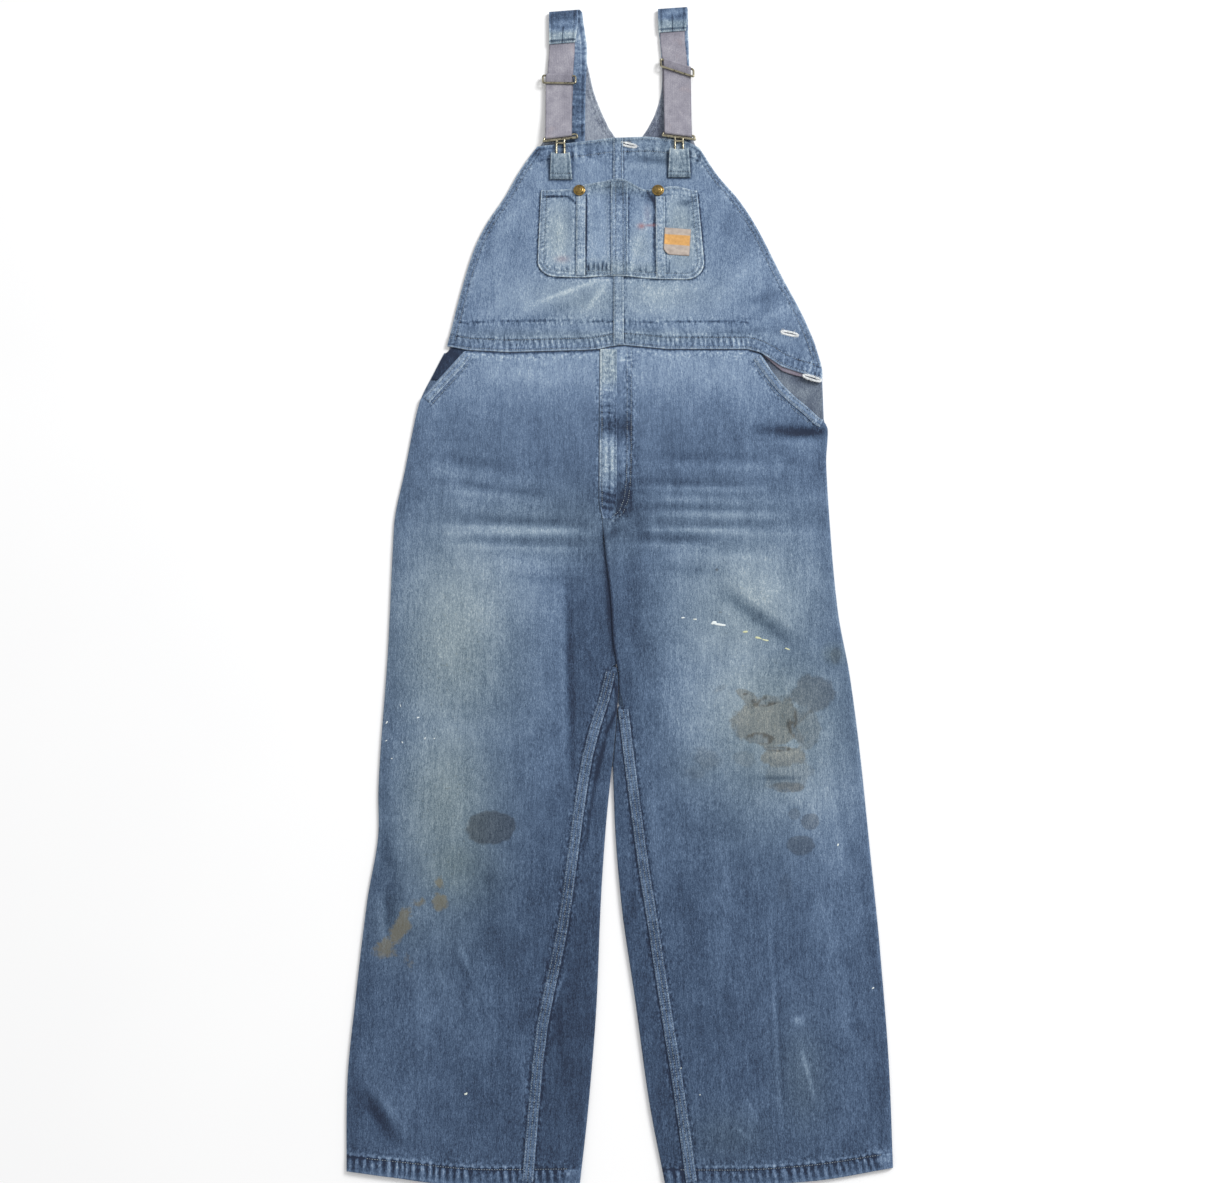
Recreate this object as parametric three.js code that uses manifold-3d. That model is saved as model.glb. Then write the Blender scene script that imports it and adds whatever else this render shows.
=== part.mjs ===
// Worn bib dungarees laid flat on their back: cut-and-sewn denim panels, webbing braces, wire fittings.
// Millimetres, +Z up. +Y runs from the hems towards the braces, +X to the right of whoever looks at the bib.
import * as THREE from 'three';
import { mergeVertices } from 'three/addons/utils/BufferGeometryUtils.js';
import Module from 'manifold-3d';

const wasm = await Module();
wasm.setup();

// ---- driving dimensions -------------------------------------------------------------------------
const CLOTH = 1.2;            // denim wall
const AIR = 2.4;              // air between the back and the front of the garment
const GAP = 0.3;              // clearance between two pieces that are sewn together
const HALF = GAP / 2;
const TRIM = 1.0;             // felled strips, bands, facings and the label
const BAND_EXTRA = 0.7;       // extra thickness where a hem or band is turned under
const TURN = 2.2;             // plan radius of the cloth where it turns round the inner leg edge
const FRONT = CLOTH + AIR;    // height of the underside of the front panels

const WAIST_BACK = 262;       // back waist seam
const HEM_BAND = 17;          // depth of the leg hems
const BIB_BAND = 17;          // depth of the doubled lower edge of the bib
const BIB_TOP_BAND = 25;      // depth of the facing along the top of the bib
const BIB_CENTRE = 21.5;      // centre front seam of the bib
const FELL_BIB = 14;          // width of the felled seam down the bib
const FELL_LEG = 13;          // width of the felled inseams
const FLY_WIDTH = 23;
const MOUTH_BAND = 11;        // bound edge of the hip pockets
const WEB = 1.2;              // thickness of the elastic webbing
const BAR_R = 1.6;            // wide bar of the clasp
const NECK_R = 1.1;           // narrow loop of the clasp
const SLIDE_R = 1.2;          // wire of the slider
const RIVET_D = 17;
const CENTRE = [-19, 4.4];    // moves the middle of the footprint to the origin

const CROTCH_LEFT = -180;     // where the back panel starts to roll round the inner leg, left
const CROTCH_RIGHT = -232;    // the same on the right leg

// ---- outlines: few points, joined by smooth curves ----------------------------------------------
const leftSide = curve([[-816, -308], [-700, -312], [-600, -306], [-480, -296], [-390, -285], [-340, -287],
  [-150, -281], [10, -279], [90, -267], [190, -249.5], [232, -232], [271, -214]]);
const rightSide = curve([[-816, 349], [-700, 350], [-540, 345], [-420, 338], [-290, 330], [-190, 321],
  [-105, 309], [-20, 304], [100, 301], [148, 304.5], [165, 300], [229, 300], [271, 292]]);
const leftGap = curve([[-818, -28], [-720, -17], [-600, -7.5], [-480, -2.5], [-385, 4], [-310, 11.6]]);
const rightGap = curve([[-818, 75], [-720, 56], [-600, 39.5], [-480, 22.5], [-385, 15], [-310, 12.4]]);
const middle = curve([[-310, 12], [-232, 19], [-200, 20.5], [-145, 13], [-90, 10], [-36, 4], [5, 0],
  [19, -1], [48, -6], [272, -5]]);
const leftInner = (y) => (y < -310 ? leftGap(y) : middle(y));
const rightInner = (y) => (y < -310 ? rightGap(y) : middle(y));
const leftInseam = curve([[-818, -91], [-700, -82], [-635, -75], [-510, -50], [-430, -39], [-360, -30],
  [-283, -17], [-224, 1], [-180, 11.5]]);
const rightInseam = curve([[-818, 107], [-706, 92], [-612, 77.5], [-507, 62], [-430, 50], [-368, 42],
  [-300, 33.5], [-232, 25.7]]);
const leftHem = curve([[0, -800], [0.25, -807], [0.6, -815], [1, -814]]);
const rightHem = curve([[0, -815], [0.3, -815.5], [0.6, -811], [1, -796]]);
const bibLeftSide = curve([[255, -218], [270, -214.6], [340, -200], [415, -181], [455, -164.5], [500, -138],
  [540, -118], [580, -92.5]]);
const bibRightSide = curve([[215, 297], [229, 300], [266, 293], [303, 281.5], [378, 248], [455, 214],
  [494, 191.5], [533, 162], [577, 136.5]]);
const backLeftSide = curve([[262, -213], [340, -196], [415, -177], [455, -160], [500, -134], [540, -113],
  [575, -92], [615, -76], [726, -72]]);
const backRightSide = curve([[262, 290], [303, 278], [378, 244], [455, 210], [494, 187], [533, 157],
  [575, 134], [615, 124], [726, 124]]);

// Rows shared by every panel that meets at the inseams and the middle of the garment.
const LEG_ROWS = [-814, -797, -780, -735, -690, -640, -585, -530, -475, -420, -365, -310, -270, -232, -214, -200,
  -180, -172, -160, -125, -90, -50, -10, 10, 30];
const HIP_ROWS = [60, 100, 140, 180, 220];

// ---- helpers ------------------------------------------------------------------------------------
function curve(points) {
  // Smooth single-valued curve through [t, value] pairs that never overshoots its points.
  const slopes = points.map((p, i) => {
    if (i === 0 || i === points.length - 1) return 0;
    const before = (p[1] - points[i - 1][1]) / (p[0] - points[i - 1][0]);
    const after = (points[i + 1][1] - p[1]) / (points[i + 1][0] - p[0]);
    return before * after <= 0 ? 0 : (2 * before * after) / (before + after);
  });
  const last = points.length - 1;
  slopes[0] = (points[1][1] - points[0][1]) / (points[1][0] - points[0][0]);
  slopes[last] = (points[last][1] - points[last - 1][1]) / (points[last][0] - points[last - 1][0]);
  return (t) => {
    const at = Math.min(Math.max(t, points[0][0]), points[last][0]);
    let i = 0;
    while (i < last - 1 && at > points[i + 1][0]) i += 1;
    const span = points[i + 1][0] - points[i][0];
    const s = (at - points[i][0]) / span;
    const a = points[i][1];
    const b = points[i + 1][1];
    const rise = s * s * (3 - 2 * s);
    const bend = span * (slopes[i] * s * (1 - s) * (1 - s) - slopes[i + 1] * s * s * (1 - s));
    return a + (b - a) * rise + bend;
  };
}

function straight(points) {
  // Broken straight line through [t, value] pairs.
  return (t) => {
    let i = 0;
    while (i < points.length - 2 && t > points[i + 1][0]) i += 1;
    const s = (t - points[i][0]) / (points[i + 1][0] - points[i][0]);
    return points[i][1] + (points[i + 1][1] - points[i][1]) * Math.min(Math.max(s, 0), 1);
  };
}

const lerp = (a, b, t) => a + (b - a) * t;

function ramp(a, b, t) {
  const s = Math.min(Math.max((t - a) / (b - a), 0), 1);
  return s * s * (3 - 2 * s);
}

function steps(from, to, count) {
  return Array.from({ length: count + 1 }, (_, i) => lerp(from, to, i / count));
}

function merged(...lists) {
  // One rising list of fractions without near doubles.
  const all = lists.flat().sort((a, b) => a - b);
  return all.filter((v, i) => i === 0 || v - all[i - 1] > 0.002);
}

function fractions(points, left, right) {
  return points.map(([x, y]) => Math.min(Math.max((x - left(y)) / (right(y) - left(y)), 0), 1));
}

function edgeBetween(points, left, right) {
  // A top or bottom edge given as [x, y] points, read as y against the fraction of the row's width.
  return straight(points.map(([x, y]) => [(x - left(y)) / (right(y) - left(y)), y]));
}

const group = new THREE.Group();
group.name = 'paint_spattered_dungarees';

function finish(name, geometry, [colour, roughness, metalness]) {
  geometry.translate(CENTRE[0], CENTRE[1], 0);
  geometry.computeVertexNormals();
  const mesh = new THREE.Mesh(geometry, new THREE.MeshStandardMaterial({ color: colour, roughness, metalness }));
  mesh.name = name;
  group.add(mesh);
}

function gridSolid(name, rows, cols, lower, upper, finishOf, { flip = false, present = () => true } = {}) {
  // Closed sheet between two point grids; cells that are not present leave a walled edge behind.
  const positions = [];
  const index = [];
  const known = new Map();
  const vertex = (side, i, j) => {
    const key = `${side},${i},${j}`;
    if (!known.has(key)) {
      known.set(key, positions.length / 3);
      positions.push(...(side ? upper(i, j) : lower(i, j)));
    }
    return known.get(key);
  };
  const face = (a, b, c) => (flip ? index.push(a, c, b) : index.push(a, b, c));
  const has = (i, j) => i >= 0 && j >= 0 && i < rows && j < cols && present(i, j);
  const wall = (i0, j0, i1, j1) => {
    face(vertex(0, i0, j0), vertex(0, i1, j1), vertex(1, i1, j1));
    face(vertex(0, i0, j0), vertex(1, i1, j1), vertex(1, i0, j0));
  };
  for (let i = 0; i < rows; i += 1) {
    for (let j = 0; j < cols; j += 1) {
      if (!has(i, j)) continue;
      face(vertex(1, i, j), vertex(1, i, j + 1), vertex(1, i + 1, j + 1));
      face(vertex(1, i, j), vertex(1, i + 1, j + 1), vertex(1, i + 1, j));
      face(vertex(0, i, j), vertex(0, i + 1, j + 1), vertex(0, i, j + 1));
      face(vertex(0, i, j), vertex(0, i + 1, j), vertex(0, i + 1, j + 1));
      if (!has(i - 1, j)) wall(i, j, i, j + 1);
      if (!has(i, j + 1)) wall(i, j + 1, i + 1, j + 1);
      if (!has(i + 1, j)) wall(i + 1, j + 1, i + 1, j);
      if (!has(i, j - 1)) wall(i + 1, j, i, j);
    }
  }
  const geometry = new THREE.BufferGeometry();
  geometry.setAttribute('position', new THREE.Float32BufferAttribute(positions, 3));
  geometry.setIndex(index);
  finish(name, geometry, finishOf);
}

function spread(panel) {
  // Plan position of a panel's grid point: even rows, pulled to its own bottom and top edges.
  const { ys, vs, left, right, bottom, top, bottomReach, topReach } = panel;
  const first = ys[0];
  const end = ys[ys.length - 1];
  return (i, j) => {
    const v = vs[j];
    const low = bottom ? (bottom(v) - first) * (1 - Math.min((ys[i] - first) / bottomReach, 1)) : 0;
    const high = top ? (top(v) - end) * Math.max(1 - (end - ys[i]) / topReach, 0) : 0;
    const y = ys[i] + low + high;
    return [lerp(left(y), right(y), v), y];
  };
}

function layPanel(name, panel, floor, thickness, finishOf) {
  // A panel as a sheet of cloth: its underside follows floor(x, y) and it is thickness(x, y) deep.
  const plan = spread(panel);
  const lower = (i, j) => {
    const [x, y] = plan(i, j);
    return [x, y, floor(x, y)];
  };
  const upper = (i, j) => {
    const [x, y] = plan(i, j);
    return [x, y, floor(x, y) + thickness(x, y)];
  };
  gridSolid(name, panel.ys.length - 1, panel.vs.length - 1, lower, upper, finishOf);
}

function ribbon(name, stations, pivot, finishOf, { thickness = CLOTH, across = [0, 0.5, 1], notch = null } = {}) {
  // A band folded over itself. Each station is [y, z, left, right, skew]; skew leans its line about pivot.
  const n = stations.length;
  const normals = stations.map((_, i) => {
    const a = stations[Math.max(i - 1, 0)];
    const b = stations[Math.min(i + 1, n - 1)];
    const length = Math.hypot(b[0] - a[0], b[1] - a[1]);
    return [-(b[1] - a[1]) / length, (b[0] - a[0]) / length];
  });
  const point = (side) => (i, j) => {
    const [y, z, left, right, skew] = stations[i];
    const x = lerp(left, right, across[j]);
    const off = side * thickness / 2;
    return [x, y + skew * (x - pivot) + normals[i][0] * off, z + normals[i][1] * off];
  };
  const present = (i, j) => !notch || j !== 1 || i < notch[0] || i >= notch[1];
  gridSolid(name, n - 1, across.length - 1, point(-1), point(1), finishOf, { present });
}

function arc(yc, zc, r, from, to, count, left, right, skew) {
  // Ribbon stations round a bar: angles in degrees, measured from +Y towards +Z.
  return steps(from, to, count).map((a) => {
    const t = (a * Math.PI) / 180;
    return [yc + r * Math.cos(t), zc + r * Math.sin(t), left, right, skew];
  });
}

function toManifold(geometry) {
  const bare = geometry.clone();
  bare.deleteAttribute('uv');
  bare.deleteAttribute('normal');
  const merged = mergeVertices(bare, 1e-4);
  const vertProperties = new Float32Array(merged.attributes.position.array);
  const triVerts = new Uint32Array(merged.index.array);
  return new wasm.Manifold(new wasm.Mesh({ numProp: 3, vertProperties, triVerts }));
}

function fromManifold(solid) {
  const mesh = solid.getMesh();
  const geometry = new THREE.BufferGeometry();
  geometry.setAttribute('position', new THREE.Float32BufferAttribute(mesh.vertProperties, 3));
  geometry.setIndex(Array.from(mesh.triVerts));
  return geometry;
}

function rod(a, b, r) {
  // A straight wire with domed ends between two points.
  const from = new THREE.Vector3(...a);
  const to = new THREE.Vector3(...b);
  const along = to.clone().sub(from);
  const capsule = new THREE.CapsuleGeometry(r, along.length(), 2, 8);
  const turn = new THREE.Quaternion().setFromUnitVectors(new THREE.Vector3(0, 1, 0), along.normalize());
  capsule.applyQuaternion(turn);
  capsule.translate((a[0] + b[0]) / 2, (a[1] + b[1]) / 2, (a[2] + b[2]) / 2);
  return toManifold(capsule);
}

// ---- finishes: colour, roughness, metalness -----------------------------------------------------
const DENIM = ['#667fa0', 0.92, 0];
const DENIM_DARK = ['#50668a', 0.92, 0];
const DENIM_PALE = ['#8da0bb', 0.92, 0];
const DENIM_WRONG = ['#8a8f9c', 0.94, 0];
const SEAM = ['#8fa0a8', 0.92, 0];
const MAUVE = ['#8f8797', 0.95, 0];
const WEBBING = ['#969099', 0.9, 0];
const LABEL = ['#cdb9ac', 0.85, 0];
const BRASS = ['#b09a52', 0.35, 1];

// ---- the lie of the front panels ----------------------------------------------------------------
const FOLDS = [
  // x, y at one end, x, y at the other, half width, height
  [-42, -60, -40, -330, 16, -0.9],
  [-75, -60, -72, -330, 26, 1.1],
  [-292, -360, -262, -430, 14, 1.3],
  [-305, -705, -250, -765, 12, -1.2],
  [-300, -660, -230, -745, 18, 1.2],
  [-190, -150, -60, -40, 34, 0.9],
  [-200, -560, -120, -700, 30, 0.8],
  [150, -70, 246, -146, 16, -1.1],
  [165, -40, 262, -112, 20, 1.2],
  [60, -20, 210, -8, 14, -0.7],
  [80, -150, 130, -330, 30, 0.8],
  [200, -380, 285, -330, 24, 0.9],
  [215, -352, 262, -372, 9, -1.0],
  [190, -560, 260, -720, 34, 0.9],
  [120, -700, 200, -740, 30, 0.6],
  [240, 165, 300, 130, 12, -0.8],
];

function foldHeight(x, y) {
  let sum = 0;
  for (const [x0, y0, x1, y1, width, height] of FOLDS) {
    const dx = x1 - x0;
    const dy = y1 - y0;
    const along = Math.min(Math.max(((x - x0) * dx + (y - y0) * dy) / (dx * dx + dy * dy), 0), 1);
    const off = Math.hypot(x - x0 - along * dx, y - y0 - along * dy) / width;
    sum += height * Math.exp(-off * off) * (0.35 + 0.65 * Math.sin(Math.PI * along));
  }
  return sum;
}

function rolled(distance, reach) {
  // 0 at an edge, 1 from `reach` inwards, rising like a quarter circle.
  const s = Math.min(Math.max(distance / reach, 0), 1);
  return Math.sqrt(1 - (1 - s) * (1 - s));
}

function legFloor(x, y) {
  // Underside of the leg fronts: full air inside, falling to the back panel along the outer seam.
  const toSide = Math.min(x - leftSide(y), rightSide(y) - x);
  const open = ramp(110, 150, y) * (x > 0 ? 1 : ramp(140, 190, y));
  const side = lerp(rolled(toSide, 12), 1, open);
  const seam = ramp(0, 10, Math.abs(x - middle(y)) + 20 * ramp(-150, -320, y));
  const body = side * ramp(0, 40, toSide + 400 * open);
  return CLOTH + GAP + (AIR - GAP) * side + foldHeight(x, y) * body * seam * ramp(-816, -760, y) * (1 - ramp(200, 255, y));
}

function overlap(x, y) {
  // The right thigh lies over the left one from the fly down to where the legs part.
  const along = ramp(-196, -174, y) * (1 - ramp(-2, 12, y));
  return (CLOTH + GAP + 0.15) * along * (1 - ramp(7, 30, x - middle(y)));
}

const rightLegFloor = (x, y) => legFloor(x, y) + overlap(x, y);

function hemThickness(edge) {
  return (x, y) => CLOTH + BAND_EXTRA * (1 - ramp(HEM_BAND - 3, HEM_BAND + 3, y - edge(x)));
}

function bibFloor(x, y) {
  const toSide = Math.min(x - bibLeftSide(y), bibRightSide(y) - x);
  const free = ramp(275, 300, y);
  const edge = lerp(1, rolled(toSide + 2, 14), free);
  const swell = 0.8 * Math.exp(-(((x + 90) / 60) ** 2) - (((y - 330) / 40) ** 2))
    + 0.7 * Math.exp(-(((x - 170) / 50) ** 2) - (((y - 400) / 60) ** 2));
  const flap = 1.4 * (1 - ramp(274, 296, y)) * ramp(196, 212, x);
  return CLOTH + GAP + (AIR - GAP) * edge + swell * ramp(0, 40, toSide) + flap;
}

// ---- back of the garment ------------------------------------------------------------------------
function backLeg(name, side) {
  // Seat and back leg in one: flat on the ground, rolled round the inner leg up to the inseam.
  const left = side < 0;
  const outer = left ? leftSide : rightSide;
  const inner = left ? leftInner : rightInner;
  const inseam = left ? leftInseam : rightInseam;
  const crotch = left ? CROTCH_LEFT : CROTCH_RIGHT;
  const hem = left ? leftHem : rightHem;
  const ys = [...LEG_ROWS, ...HIP_ROWS, WAIST_BACK];
  const rolledRows = ys.indexOf(crotch);
  const flat = 3;
  const bend = 4;
  const back = 2;
  const plan = (i, j) => {
    const v = Math.min(j / flat, 1);
    const pull = 1 - Math.min((ys[i] + 814) / 60, 1);
    const y = ys[i] + (hem(left ? v : 1 - v) + 814) * pull;
    const turning = i <= rolledRows;
    const end = turning ? inner(y) + side * (TURN + HALF) : middle(y) + side * HALF;
    return { x: lerp(outer(y), end, v), y, end };
  };
  const at = (outside) => (i, j) => {
    const { x, y, end } = plan(i, j);
    if (j <= flat) return [x, y, outside ? 0 : CLOTH];
    const top = legFloor(end, y) + CLOTH;
    const inset = outside ? 0 : CLOTH;
    if (j <= flat + bend) {
      const a = -Math.PI / 2 + (Math.PI * (j - flat)) / bend;
      const rise = (top / 2 - inset) * Math.sin(a);
      return [end - side * (TURN - inset) * Math.cos(a), y, top / 2 + rise];
    }
    const u = (j - flat - bend) / back;
    const px = lerp(end, inseam(y) - side * HALF, u);
    return [px, y, legFloor(px, y) + CLOTH - inset];
  };
  gridSolid(name, ys.length - 1, flat + bend + back, at(true), at(false), DENIM_DARK, {
    flip: !left,
    present: (i, j) => j < flat || i < rolledRows,
  });
}
backLeg('left_back_leg', -1);
backLeg('right_back_leg', 1);

const neckline = [[-72, 724], [-20, 724], [-17, 700], [-14, 670], [-8.5, 652], [0, 629], [8, 610], [19, 592],
  [36, 580], [54, 592], [65, 610], [74, 629], [80, 648], [84.5, 670], [86, 700], [88, 724], [124, 724]];
const neckY = edgeBetween(neckline, backLeftSide, backRightSide);
layPanel('high_back', {
  ys: [...steps(WAIST_BACK + GAP, 540, 5), 580],
  vs: merged(fractions(neckline, backLeftSide, backRightSide)),
  left: backLeftSide,
  right: backRightSide,
  top: neckY,
  topReach: 300,
}, () => 0, () => CLOTH, DENIM_WRONG);

// ---- trouser fronts -----------------------------------------------------------------------------
const waistLeft = [[-214.6, 271], [-185, 265], [-130, 262], [-27, 265], [-5.2, 266.5]];
const waistRight = [[-4.8, 266.6], [9, 270.3], [21.5, 272.2], [29, 272.5], [88, 266.5], [198, 266.5]];
const under = (points, drop) => points.map(([x, y]) => [x, y - drop]);
const leftEdge = [[-249, 192], [-220, 228], [-191, 263.5], ...under(waistLeft.slice(1), 0.4)];
const leftTop = edgeBetween(leftEdge, leftSide, middle);
const leftFrontEdge = (y) => {
  const tuck = 4.6 * ramp(-178, -173, y) * (1 - ramp(-40, -12, y));
  return y < CROTCH_LEFT ? leftInseam(y) - HALF : lerp(leftInseam(y), middle(y), ramp(-180, -174, y)) - HALF + tuck;
};
const leftHemAt = (x) => leftHem((x + 308) / 280);
layPanel('left_front_leg', {
  ys: [...LEG_ROWS, ...HIP_ROWS, 264],
  vs: merged([0.015, 0.045, 0.22, 0.5, 0.76, 1], fractions(leftEdge, leftSide, middle)),
  left: leftSide,
  right: leftFrontEdge,
  bottom: leftHem,
  bottomReach: 60,
  top: leftTop,
  topReach: 230,
}, legFloor, hemThickness(leftHemAt), DENIM);

const mouthRight = [[216, 260], [231, 234], [246, 213], [262, 196], [279, 181], [301, 158]];
const rightEdge = [...under(waistRight, 0.4), ...mouthRight];
const rightTop = edgeBetween(rightEdge, middle, rightSide);
const rightFrontEdge = (y) => {
  const low = rightInseam(Math.min(y, -232)) + HALF;
  return lerp(low, middle(y) + HALF, ramp(-232, -203, y));
};
const rightHemAt = (x) => rightHem((x - 75) / 274);
layPanel('right_front_leg', {
  ys: [...LEG_ROWS, ...HIP_ROWS, 266],
  vs: merged([0.19, 0.42, 0.56, 0.985], fractions(rightEdge, middle, rightSide)),
  left: rightFrontEdge,
  right: rightSide,
  bottom: rightHem,
  bottomReach: 60,
  top: rightTop,
  topReach: 230,
}, rightLegFloor, hemThickness(rightHemAt), DENIM);

// ---- felled inseams -----------------------------------------------------------------------------
function inseamStrip(name, line, top, floor) {
  layPanel(name, {
    ys: [-812, ...LEG_ROWS.filter((y) => y > -800 && y < top - 8), top],
    vs: [0, 0.5, 1],
    left: (y) => line(y) - FELL_LEG / 2,
    right: (y) => line(y) + FELL_LEG / 2,
  }, floor, () => TRIM, SEAM);
}
const onLeg = (hemAt, floor) => (x, y) => floor(x, y) + hemThickness(hemAt)(x, y) + GAP + 0.1;
inseamStrip('left_inseam', leftInseam, -188, onLeg(leftHemAt, legFloor));
inseamStrip('right_inseam', rightInseam, -240, onLeg(rightHemAt, legFloor));

// ---- hip pockets --------------------------------------------------------------------------------
function facing(name, points, left, right, bottom) {
  layPanel(name, {
    ys: steps(points[0], points[1], 4),
    vs: [0, 0.35, 0.7, 1],
    left,
    right,
    bottom,
    bottomReach: points[1] - points[0],
  }, () => CLOTH + GAP, () => TRIM, DENIM_DARK);
}
facing('left_pocket_facing', [222, 258], (y) => leftSide(y) + 1, () => -180, null);
const facingEdge = straight([[0, 222], [0.45, 194], [0.75, 174], [1, 160]]);
facing('right_pocket_facing', [200, 258], () => 205, (y) => rightSide(y) - 1, facingEdge);

function mouthBand(name, points, floor) {
  // Bound edge along a pocket mouth, set just inside it.
  const path = points.map(([x, y]) => new THREE.Vector2(x, y));
  const at = (i, j) => {
    const a = path[Math.max(i - 1, 0)];
    const b = path[Math.min(i + 1, path.length - 1)];
    const along = b.clone().sub(a).normalize();
    const off = 0.6 + (MOUTH_BAND - 0.6) * (j / 2);
    return [path[i].x + along.y * off, path[i].y - along.x * off];
  };
  const place = (lift) => (i, j) => {
    const [x, y] = at(i, j);
    return [x, y, floor(x, y) + CLOTH + GAP + lift];
  };
  gridSolid(name, path.length - 1, 2, place(0), place(TRIM), SEAM);
}
mouthBand('left_pocket_band', [[-191, 258], [-205, 243], [-220, 226], [-234, 209], [-245, 195.5]].reverse(), legFloor);
mouthBand('right_pocket_band', [[217, 255], [231, 234], [246, 213], [262, 196], [279, 181], [297, 162.5]], rightLegFloor);

// ---- bib ----------------------------------------------------------------------------------------
const bibTop = [[-92.5, 578], [-38, 584.5], [12, 591.5], [64, 593.5], [117, 587.5], [136.5, 576.5]];
const bibTopAt = straight(bibTop);
const bibLowLeft = [...waistLeft, [9, 270.3], [21.35, 272.2]];
const bibLowRight = [[21.65, 272.2], ...waistRight.slice(3), [217, 260.5], [245, 240], [276, 229], [298, 220]];
const bibLowAt = straight([...bibLowLeft.slice(0, -1), ...bibLowRight]);
const bibThickness = (x, y) => CLOTH + BAND_EXTRA * Math.max(
  1 - ramp(BIB_BAND - 3, BIB_BAND + 3, y - bibLowAt(x)),
  ramp(-BIB_TOP_BAND - 3, -BIB_TOP_BAND + 3, y - bibTopAt(x)),
);
const centreLeft = () => BIB_CENTRE - HALF;
const centreRight = () => BIB_CENTRE + HALF;
const bibRows = [272, 283, 292, ...steps(320, 545, 6), 561, 572, 588];
layPanel('bib_left', {
  ys: bibRows,
  vs: merged([0.02, 0.07, 0.25, 0.58], fractions(bibLowLeft, bibLeftSide, centreLeft)),
  left: bibLeftSide,
  right: centreLeft,
  bottom: edgeBetween(bibLowLeft, bibLeftSide, centreLeft),
  bottomReach: 90,
  top: edgeBetween(bibTop.slice(0, 3).concat([[21, 592]]), bibLeftSide, centreLeft),
  topReach: 90,
}, bibFloor, bibThickness, DENIM_PALE);
layPanel('bib_right', {
  ys: bibRows,
  vs: merged([0.45, 0.95, 0.985], fractions(bibLowRight, centreRight, bibRightSide)),
  left: centreRight,
  right: bibRightSide,
  bottom: edgeBetween(bibLowRight, centreRight, bibRightSide),
  bottomReach: 90,
  top: edgeBetween([[21.5, 592]].concat(bibTop.slice(3)), centreRight, bibRightSide),
  topReach: 90,
}, bibFloor, bibThickness, DENIM_PALE);

gridSolid('side_flap_facing', 2, 6, facingPoint(0), facingPoint(TRIM), MAUVE);
function facingPoint(lift) {
  // Pale facing that shows as a narrow crescent below the flap's edge.
  return (i, j) => {
    const x = lerp(222, 290, j / 6);
    const bulge = 5.5 * Math.sin((Math.PI * j) / 6);
    const y = lerp(bibLowAt(x) - bulge - 0.5, bibLowAt(x) + 7, i / 2);
    return [x, y, FRONT + lift];
  };
}

const bibSurface = (x, y) => bibFloor(x, y) + bibThickness(x, y);
layPanel('bib_centre_seam', {
  ys: [273.5, 283, 292, ...steps(320, 545, 6), 561, 572, 590.5],
  vs: [0, 0.5, 1],
  left: () => BIB_CENTRE - FELL_BIB / 2,
  right: () => BIB_CENTRE + FELL_BIB / 2,
}, (x, y) => bibSurface(x, y) + GAP, () => TRIM, SEAM);

// ---- bib pocket ---------------------------------------------------------------------------------
const POCKET_CORNER = 24;
const pocketLeft = curve([[370, -91.5], [400, -91], [505, -87.5], [530, -86.5]]);
const pocketRight = curve([[370, 141], [400, 140.5], [430, 138.5], [492, 134], [530, 131]]);
const pocketBase = curve([[-91, 376], [-31, 373.5], [8, 375.7], [35, 375], [61, 372], [106, 370.5], [141, 372]]);
const pocketTop = curve([[-88, 507.5], [-45, 510], [-24, 517], [8, 523.5], [23, 526.5], [35, 522.5], [62, 509],
  [78, 510.5], [99, 514], [131, 507]]);
const cornerLift = (d) => {
  const s = Math.max(1 - d / POCKET_CORNER, 0);
  return POCKET_CORNER * (1 - Math.sqrt(1 - s * s));
};
const pocketBaseAt = (x) => pocketBase(x) + cornerLift(x + 91.2) + cornerLift(140.6 - x);
const overSeam = (x) => (TRIM + 0.1) * (1 - Math.min(Math.max((Math.abs(x - BIB_CENTRE) - 13.5) / 3.5, 0), 1));
const pocketFloor = (x, y) => bibSurface(x, Math.min(y, 545)) + GAP + overSeam(x) + 0.2;
const pocketFractions = [0, 0.004, 0.018, 0.045, 0.1, 0.2, 0.3, 0.395, 0.4084, 0.4236, 0.485, 0.5404, 0.5556,
  0.66, 0.74, 0.83, 0.9, 0.955, 0.982, 0.996, 1];
layPanel('bib_pocket', {
  ys: [372, 378, 388, 400, 430, 465, 492, 508],
  vs: pocketFractions,
  left: pocketLeft,
  right: pocketRight,
  bottom: (v) => pocketBaseAt(lerp(-91, 140.5, v)),
  bottomReach: 60,
  top: (v) => pocketTop(lerp(-87.5, 133, v)),
  topReach: 80,
}, pocketFloor, () => CLOTH, DENIM_PALE);
const pocketSurface = (x, y) => pocketFloor(x, y) + CLOTH;
function pocketStrip(name, x, width, low, high) {
  layPanel(name, {
    ys: steps(low, high, 5),
    vs: [0, 0.5, 1],
    left: () => x - width / 2,
    right: () => x + width / 2,
  }, (px, py) => pocketSurface(px, py) + GAP, () => TRIM, SEAM);
}
pocketStrip('pocket_strip_left', -31.2, 12.5, 375.5, 497.5);
pocketStrip('pocket_strip_centre', 23, 23.5, 377, 519);
pocketStrip('pocket_strip_right', 80.5, 12.5, 373.5, 497.5);

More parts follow.
